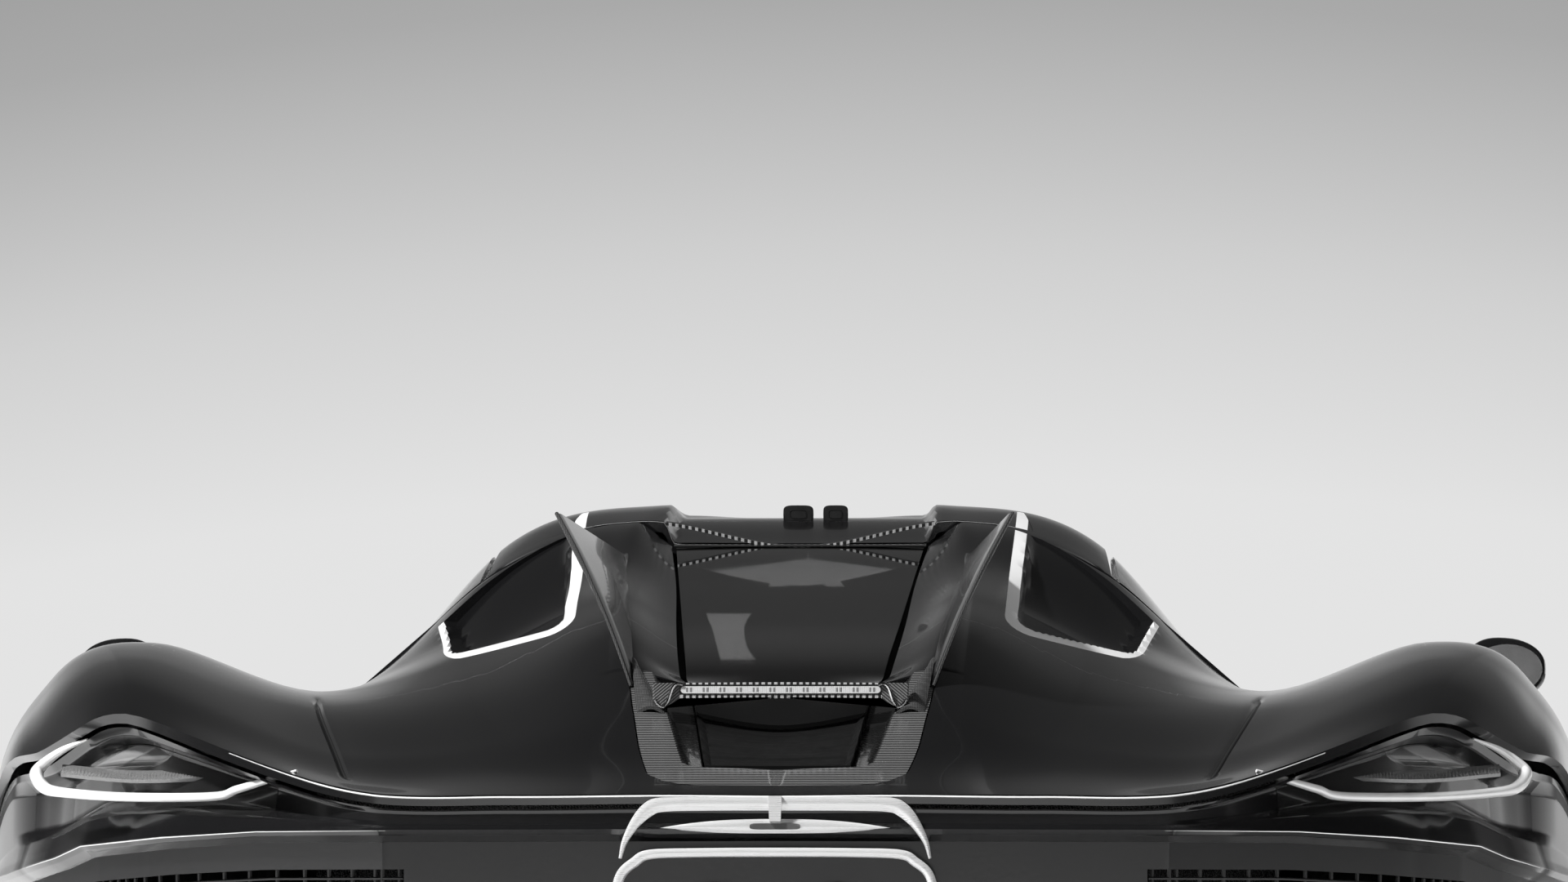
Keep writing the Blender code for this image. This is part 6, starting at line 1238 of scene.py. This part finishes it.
# Side panels between the doors and the rear wheels, each with a tall air intake.
QUARTER_Y = (-1.10, -0.660)
QUARTER_BOTTOM_Z = 0.2715
q_y, q_line = even(*QUARTER_Y, 5.5, 7.0, 70, 60)
q_top = line_at_height(q_y[:, :1], skin(q_y[:, :1], 6.0)[..., 2] - 0.0075, 5.5, 7.0)
q_low = line_at_height(q_y[:, :1], QUARTER_BOTTOM_Z)
q_line = q_top + (q_low - q_top) * np.linspace(0, 1, 60)
q_points = skin(q_y, q_line)
q_normal = skin_normal(q_y, q_line)
arch_y, arch_z, arch_radius = REAR_ARCH
reach = np.maximum(np.abs(q_points[..., 1] + 0.760) - 0.055, np.abs(q_points[..., 2] - 0.520) - 0.100)
q_sink = 0.060 * softened(-reach / 0.016)
q_points = q_points - q_normal * q_sink[..., None]
away = np.hypot(q_points[..., 1] - arch_y, q_points[..., 2] - arch_z)
pull = np.maximum(arch_radius + 0.001 - away, 0) / away
q_points[..., 1] += (q_points[..., 1] - arch_y) * pull
q_raised = np.maximum(q_points[..., 2] + (q_points[..., 2] - arch_z) * pull, QUARTER_BOTTOM_Z)
q_points[..., 2] = np.where(pull > 0, q_raised, q_points[..., 2])
quarter_shape = shell(q_points, q_points - q_normal * 0.018)
for side, sign in (("right", 1), ("left", -1)):
    build("quarter_panel_" + side, (quarter_shape[0] * (sign, 1, 1), quarter_shape[1]), paint, "chassis",
          ("quarter_" + side,))

# Wheels: low tyres with grooved tread and ribbed shoulders on deep dark rims with nine forked
# spokes, and a brake disc behind them.
# name, y, half track, tyre radius, tyre width, rim radius
WHEELS = (
    ("front", 1.4475, 0.850, 0.347, 0.265, 0.254),
    ("rear", -1.2525, 0.828, 0.364, 0.325, 0.267),
)
SPOKES = 9
TYRE_STEPS = 144
DISC_RADIUS = 0.188
HUB_INNER_X = -0.078

rubber = Finish("tyre_rubber")
rubber_grain = rubber.noise(300.0, 3.0)
rubber.feed("Base Color", rubber.mix(rubber.noise(14.0, 5.0), rgba(0.012), rgba(0.026)))
rubber.feed("Roughness", rubber.between(rubber_grain, 0.62, 0.85))
rubber.feed("Normal", rubber.bump(rubber_grain, 0.0004, 0.5))
alloy = Finish("dark_alloy", Metallic=1.0)
alloy.feed("Base Color", alloy.mix(alloy.noise(50.0, 5.0), rgba(0.10), rgba(0.15)))
alloy.feed("Roughness", alloy.between(alloy.noise(80.0, 4.0), 0.22, 0.36))
alloy.feed("Normal", alloy.bump(alloy.noise(900.0, 2.0), 0.0001, 0.3))
disc_finish = Finish("brake_disc", Metallic=0.7)
disc_finish.feed("Base Color", disc_finish.mix(disc_finish.noise(140.0, 4.0), rgba(0.10), rgba(0.20)))
disc_finish.feed("Roughness", disc_finish.between(disc_finish.noise(200.0, 3.0), 0.30, 0.50))

for axle, axle_y, half_track, tyre_radius, tyre_width, rim_radius in WHEELS:
    half = tyre_width / 2
    bead, middle = half - 0.014, (tyre_radius + rim_radius) / 2
    side_wall = [(bead, rim_radius + 0.0005), (bead + 0.002, rim_radius + 0.012), (bead + 0.006, rim_radius + 0.014),
                 (half - 0.003, middle - 0.015), (half, middle), (half - 0.001, middle + 0.016),
                 (half - 0.004, tyre_radius - 0.018), (half - 0.008, tyre_radius - 0.010),
                 (half - 0.020, tyre_radius - 0.003)]
    tread = []
    for groove in np.array([-0.62, -0.22, 0.22, 0.62]) * (half - 0.020):
        tread += [(groove - 0.0050, tyre_radius), (groove - 0.0035, tyre_radius - 0.006),
                  (groove + 0.0035, tyre_radius - 0.006), (groove + 0.0050, tyre_radius)]
    edge = half - 0.026
    inner_wall = [(-x, r) for x, r in side_wall[::-1]]
    liner = [(-bead + 0.006, rim_radius + 0.008), (-bead + 0.020, middle), (bead - 0.020, middle),
             (bead - 0.006, rim_radius + 0.008)]
    profile = side_wall + [(edge, tyre_radius)] + tread[::-1] + [(-edge, tyre_radius)] + inner_wall + liner
    bead_out = bead + 0.0063
    barrel = [(bead_out, rim_radius - 0.008), (bead_out + 0.001, rim_radius - 0.004), (bead_out, rim_radius + 0.009),
              (bead + 0.0008, rim_radius + 0.009), (bead, rim_radius), (bead - 0.02, rim_radius - 0.002),
              (-bead + 0.02, rim_radius - 0.002), (-bead, rim_radius), (-bead - 0.0008, rim_radius + 0.009),
              (-bead_out, rim_radius + 0.009), (-bead_out, rim_radius - 0.008), (0.0, rim_radius - 0.014)]
    face_x = half - 0.022
    for side, sign in (("right", 1), ("left", -1)):
        centre = (sign * half_track, axle_y, tyre_radius)
        body = f"wheel_{axle}_{side}"
        points, faces = turned(profile, (0, 0, 0), TYRE_STEPS, "x")
        radius = np.hypot(points[:, 1], points[:, 2])
        angle = np.arctan2(points[:, 1], points[:, 2])
        block = np.sign(np.sin(angle * 52 + np.abs(points[:, 0]) * 40))
        on_block = (radius > tyre_radius - 0.002) & (np.abs(points[:, 0]) > edge * 0.55) & (block > 0)
        points[:, 1:] *= ((radius - np.where(on_block, 0.0022, 0.0)) / radius)[:, None]
        build(f"tyre_fine_{axle}_{side}", (points + centre, faces), rubber, body, (f"tyre_{axle}_{side}",),
              sharp=28)
        rim_parts = [turned(barrel, centre, 96, "x")]
        hub_profile = [(HUB_INNER_X, 0.002), (HUB_INNER_X, 0.054), (face_x - 0.030, 0.054),
                       (face_x - 0.022, 0.046), (face_x - 0.014, 0.040), (face_x - 0.010, 0.024),
                       (face_x - 0.012, 0.002)]
        rim_parts.append(turned([(sign * x, r) for x, r in hub_profile], centre, 48, "x"))
        turn = np.linspace(0, 2 * pi, 17)[:-1]
        for number in range(SPOKES):
            for fork in (-1, 1):
                along = np.linspace(0, 1, 16)
                lean = 2 * pi * number / SPOKES + fork * 0.085 * softened((along - 0.15) / 0.8)
                reach = 0.040 + (rim_radius - 0.010 - 0.040) * along
                spoke_x = face_x - 0.020 + 0.014 * along ** 1.5 - 0.004 * np.sin(pi * along)
                width, thick = 0.0085 - 0.0020 * along, 0.0095 - 0.003 * along
                sine, cosine = np.sin(lean)[:, None], np.cos(lean)[:, None]
                sideways = np.cos(turn) * width[:, None]
                rings = np.stack([sign * spoke_x[:, None] + np.sin(turn) * thick[:, None],
                                  cosine * sideways - sine * reach[:, None],
                                  cosine * reach[:, None] + sine * sideways], -1)
                rim_parts.append(loft(rings + centre))
        nut_profile = [(face_x - 0.012, 0.001), (face_x - 0.012, 0.020), (face_x - 0.002, 0.017),
                       (face_x - 0.001, 0.001)]
        rim_parts.append(turned([(sign * x, r) for x, r in nut_profile], centre, 6, "x"))
        build(f"rim_fine_{axle}_{side}", joined(*rim_parts), alloy, body, (f"rim_{axle}_{side}",))
        disc_profile = [(-0.0655, 0.056), (-0.0655, DISC_RADIUS), (-0.0600, DISC_RADIUS + 0.0005),
                        (-0.0560, DISC_RADIUS - 0.006), (-0.0440, DISC_RADIUS - 0.006),
                        (-0.0400, DISC_RADIUS + 0.0005), (-0.0345, DISC_RADIUS), (-0.0345, 0.056)]
        build(f"brake_disc_{axle}_{side}", turned([(sign * x, r) for x, r in disc_profile], centre, 96, "x"),
              disc_finish, body)

# Cabin: two bucket seats as soft pads, the dashboard with a blank screen, the steering wheel,
# and the dark trim behind the seats with its openings to the road ahead.
SEAT_X = 0.360
SEAT_PATH = ((0.322, 0.296), (0.200, 0.250), (0.020, 0.210), (-0.090, 0.222), (-0.165, 0.330), (-0.240, 0.500),
             (-0.310, 0.690), (-0.360, 0.860), (-0.383, 0.950))
SEAT_HALF_WIDTHS = (0.198, 0.218, 0.228, 0.233, 0.233, 0.233, 0.208, 0.134, 0.104)
SEAT_THICKNESS = 0.040
PAD_MOVE = 0.016

hide = Finish("seat_leather", Roughness=0.5)
hide_x, hide_y, hide_z = hide.axes()
grain = hide.node("ShaderNodeTexVoronoi", {}, {"Vector": hide.place(), "Scale": 420.0})
seam = ((hide_x.math("ABSOLUTE") - SEAT_X).math("ABSOLUTE") - 0.135).math("ABSOLUTE").step(0.0022, 0.0008)
stitch = ((hide_y + hide_z) * (2 * pi / 0.009)).math("SINE").step(0.0, 0.3) * (
    ((hide_x.math("ABSOLUTE") - SEAT_X).math("ABSOLUTE") - 0.140).math("ABSOLUTE").step(0.0014, 0.0006))
hide.feed("Base Color", hide.mix(stitch, hide.mix(hide.noise(16.0, 5.0), rgba(0.014), rgba(0.030)), rgba(0.35)))
hide.feed("Roughness", hide.between(grain, 0.42, 0.66))
hide.feed("Normal", hide.bump(grain * 0.4 - seam * 2.0, 0.0010, 0.6))
trim = Finish("cabin_trim")
nap = trim.noise(700.0, 3.0)
trim.feed("Base Color", trim.mix(nap, rgba(0.012), rgba(0.034)))
trim.feed("Roughness", trim.between(nap, 0.72, 0.92))
trim.feed("Normal", trim.bump(nap, 0.0006, 0.6))

path = curve(np.c_[np.array(SEAT_PATH), np.array(SEAT_HALF_WIDTHS)], 60)
seat_way = np.gradient(path[:, :2], axis=0)
seat_way /= np.linalg.norm(seat_way, axis=1, keepdims=True)
seat_face = np.stack([seat_way[:, 1], -seat_way[:, 0]], 1)
across = np.linspace(-1, 1, 41)
bolster = 0.072 * np.abs(across) ** 4
seam_groove = 0.008 * np.exp(-((np.abs(across) - 0.6) / 0.05) ** 2)
lift = (bolster - seam_groove)[None, :, None] * seat_face[:, None, :]
seat_top = np.concatenate([(across * path[:, 2:3])[..., None], path[:, None, :2] + lift], -1)
seat_under = seat_top - np.stack([np.zeros(60), seat_face[:, 0], seat_face[:, 1]], 1)[:, None, :] * SEAT_THICKNESS
seat_shape = shell(seat_top, seat_under)


def soften(piece, cell, reach):
    """Swells a closed pad like stuffed leather: an even mesh, air pressure, and a limit to each
    point's travel, after which it is a plain mesh again."""
    graph = bpy.context.evaluated_depsgraph_get
    remesh = piece.modifiers.new("even", "REMESH")
    remesh.mode, remesh.voxel_size = "VOXEL", cell
    even_mesh = bpy.data.meshes.new_from_object(piece.evaluated_get(graph()))
    piece.modifiers.clear()
    piece.data = even_mesh
    start = np.zeros(len(even_mesh.vertices) * 3)
    even_mesh.vertices.foreach_get("co", start)
    cloth = piece.modifiers.new("air", "CLOTH")
    cloth.settings.use_pressure = True
    cloth.settings.uniform_pressure_force = 4.0
    cloth.settings.effector_weights.gravity = 0.0
    cloth.point_cache.frame_start, cloth.point_cache.frame_end = 1, 20
    for step in range(1, 21):
        bpy.context.scene.frame_set(step)
    swollen = piece.evaluated_get(graph()).to_mesh()
    moved = np.zeros_like(start)
    swollen.vertices.foreach_get("co", moved)
    way = (moved - start).reshape(-1, 3)
    length = np.linalg.norm(way, axis=1, keepdims=True)
    way *= np.minimum(1, reach / np.maximum(length, 1e-9))
    piece.modifiers.clear()
    even_mesh.vertices.foreach_set("co", (start + way.ravel()).astype(np.float32))
    even_mesh.update()
    even_mesh.shade_smooth()
    bpy.context.scene.frame_set(1)


for side, sign in (("right", 1), ("left", -1)):
    pad = build("seat_pad_" + side, (seat_shape[0] + (sign * SEAT_X, 0, 0), seat_shape[1]), hide, "chassis",
                ("seat_" + side,), sharp=180)
    soften(pad, 0.006, PAD_MOVE)
    rounding = pad.modifiers.new("round", "SUBSURF")
    rounding.levels = rounding.render_levels = 1
    rails = []
    for rail_x in (-0.14, 0.14):
        x = sign * SEAT_X + rail_x
        rails.append(tube([(x, -0.06, 0.150), (x, 0.10, 0.152), (x, 0.24, 0.150)], 0.014, 12))
        for foot_y in (-0.03, 0.18):
            foot_path = [(x, foot_y, 0.150), (x, foot_y + 0.002, 0.180), (x, foot_y + 0.004, 0.212)]
            rails.append(tube(foot_path, 0.010, 12))
    build("seat_rails_" + side, joined(*rails), satin, "chassis")

DASH_PROFILE = ((0.632, 0.602), (0.660, 0.680), (0.690, 0.726), (0.760, 0.746), (0.860, 0.749), (1.038, 0.744),
                (1.038, 0.642), (0.960, 0.610), (0.900, 0.592), (0.760, 0.594))
dash_ring = curve(DASH_PROFILE + DASH_PROFILE[:1], 60)[:-1]
dash_x = np.linspace(-0.5, 0.5, 60)
tuck = 1 - 0.06 * np.abs(dash_x / 0.5) ** 6
dash_middle = dash_ring.mean(0)
dash_rings = np.stack([np.broadcast_to(dash_x[:, None], (60, 59)),
                       dash_middle[0] + (dash_ring[:, 0] - dash_middle[0]) * tuck[:, None],
                       dash_middle[1] + (dash_ring[:, 1] - dash_middle[1]) * tuck[:, None]], -1)
build("dashboard_pad", loft(dash_rings), trim, "chassis", ("dashboard",))
screen_glass = Finish("blank_screen", Roughness=0.08, Coat_Weight=1.0, Coat_Roughness=0.02)
screen_glass.feed("Base Color", screen_glass.mix(screen_glass.noise(4.0), rgba(0.004), rgba(0.009)))
screen_ring = squared(40, 0.090, 0.052, 0.3, 0.3) + (0, 0.668)
build("centre_screen", crosswise(screen_ring, 0.634, 0.646, 0.03), screen_glass, "chassis")

COLUMN_AXIS = np.array((0.0, 0.93634, -0.35112))
WHEEL_SIDE = np.array((1.0, 0.0, 0.0))
WHEEL_UP = np.array((0.0, 0.35112, 0.93634))
WHEEL_CENTRE = np.array((-0.360, 0.52298, 0.68575))
RING_RADIUS = 0.160
turn = np.linspace(0, 2 * pi, 97)[:-1]
reach = np.minimum(RING_RADIUS, 0.118 / np.maximum(np.sin(turn), 1e-6))
reach = np.where(np.sin(turn) > 0, reach, RING_RADIUS)
section = np.linspace(0, 2 * pi, 15)[:-1]
around = np.cos(turn)[:, None] * WHEEL_SIDE + np.sin(turn)[:, None] * WHEEL_UP
grip = 0.0125 + 0.0012 * np.sin(turn * 2) ** 2
ring_points = (WHEEL_CENTRE + around[:, None, :] * (reach[:, None, None] + (grip[:, None] * np.cos(section))[..., None])
               + (grip[:, None] * np.sin(section))[..., None] * COLUMN_AXIS)
wheel_parts = [(ring_points.reshape(-1, 3), grid_faces(96, 14, closed_rows=True, closed_columns=True))]
for start, end, width in (((-0.158, 0.0), (-0.04, 0.004), 0.012), ((0.158, 0.0), (0.04, 0.004), 0.012),
                          ((0.0, -0.158), (0.0, -0.03), 0.014)):
    middle = (np.array(start) + end) / 2
    wheel_parts.append(tube([WHEEL_CENTRE + WHEEL_SIDE * x + WHEEL_UP * u for x, u in (start, middle, end)],
                            width, 12, 0.6))
boss_edge = squared(32, 0.054, 0.044, 0.5, 0.5) @ np.stack([WHEEL_SIDE, WHEEL_UP])
column_edge = squared(32, 0.021, 0.021, 1.0, 1.0) @ np.stack([WHEEL_SIDE, WHEEL_UP])
wheel_parts.append(loft(np.array([WHEEL_CENTRE + boss_edge * size + COLUMN_AXIS * depth for size, depth in
                                  ((0.80, -0.013), (0.97, -0.011), (1.0, 0.0), (1.0, 0.024), (0.55, 0.030))])))
wheel_parts.append(loft(np.array([WHEEL_CENTRE + COLUMN_AXIS * depth + column_edge
                                  for depth in (0.02, 0.07, 0.1297)])))
build("steering_wheel_fine", joined(*wheel_parts), hide, "steering_wheel", ("steering_wheel",))

# Trim behind the seats: a thin dark panel between the tub and the roof, with two openings
# through which light falls into the engine room.
BACK_BOTTOM_Z = 0.803
behind = Finish("rear_cabin_trim", Roughness=0.9)
behind_x, behind_y, behind_z = behind.axes()
pane = (behind_x + 0.085 + (behind_z - 0.998) * 0.35).math("ABSOLUTE").step(0.0345, 0.0325)
pane = pane * (behind_z - 0.9975).math("ABSOLUTE").step(0.0290, 0.0270)
from_corner = ((behind_x + 0.040) * (behind_x + 0.040) + (behind_z - 1.000) * (behind_z - 1.000)).math("SQRT")
from_middle = ((behind_x - 0.010) * (behind_x - 0.010) + (behind_z - 1.020) * (behind_z - 1.020)).math("SQRT")
arc = from_middle.step(0.0690, 0.0675) * from_middle.step(0.0500, 0.0530) * behind_z.step(1.0620, 1.0640) * (
    behind_x - 0.006).math("ABSOLUTE").step(0.012, 0.022)
opening = (pane * from_corner.step(0.0345, 0.0365) + arc).math("MINIMUM", 1.0)
behind.feed("Base Color", behind.mix(behind.noise(60.0, 4.0), rgba(0.008), rgba(0.016)))
behind.feed("Alpha", 1.0 - opening)
back_x = np.linspace(-0.36, 0.36, 60)
back_top = skin(-0.55, line_at_width(-0.55, back_x))[:, 2] - 0.045
back_z = BACK_BOTTOM_Z + (back_top - BACK_BOTTOM_Z) * np.linspace(0, 1, 40)[:, None]
back_grid = np.stack(np.broadcast_arrays(back_x, -0.560, back_z), -1)
build("rear_cabin_panel", shell(back_grid, back_grid + (0, 0.003, 0)), behind, "chassis")

# What stays as the solids have it, with its own finish: the carbon tub, the cast frames and
# engine block, the trimmed luggage tub and the machined knuckles.
steel = Finish("machined_steel", Metallic=1.0)
mark = steel.noise(120.0, 5.0)
steel.feed("Base Color", steel.mix(mark, rgba(0.26), rgba(0.42)))
steel.feed("Roughness", steel.between(mark, 0.26, 0.46))
cast = Finish("cast_metal", Metallic=0.8)
pits = cast.noise(260.0, 4.0)
cast.feed("Base Color", cast.mix(cast.noise(9.0, 5.0), (0.10, 0.10, 0.105, 1), (0.22, 0.215, 0.21, 1)))
cast.feed("Roughness", cast.between(pits, 0.40, 0.66))
cast.feed("Normal", cast.bump(pits, 0.0006, 0.6))
for node_name, kept_finish in (("monocoque_tub", weave), ("front_frame", cast), ("rear_frame", cast), ("engine", cast),
                               ("luggage_tub", trim), ("knuckle_left", steel), ("knuckle_right", steel)):
    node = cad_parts[node_name]
    if not node.material_slots:
        node.data.materials.append(kept_finish.material)
    for material_slot in node.material_slots:
        material_slot.link = "OBJECT"
        material_slot.material = kept_finish.material

bpy.context.view_layer.update()
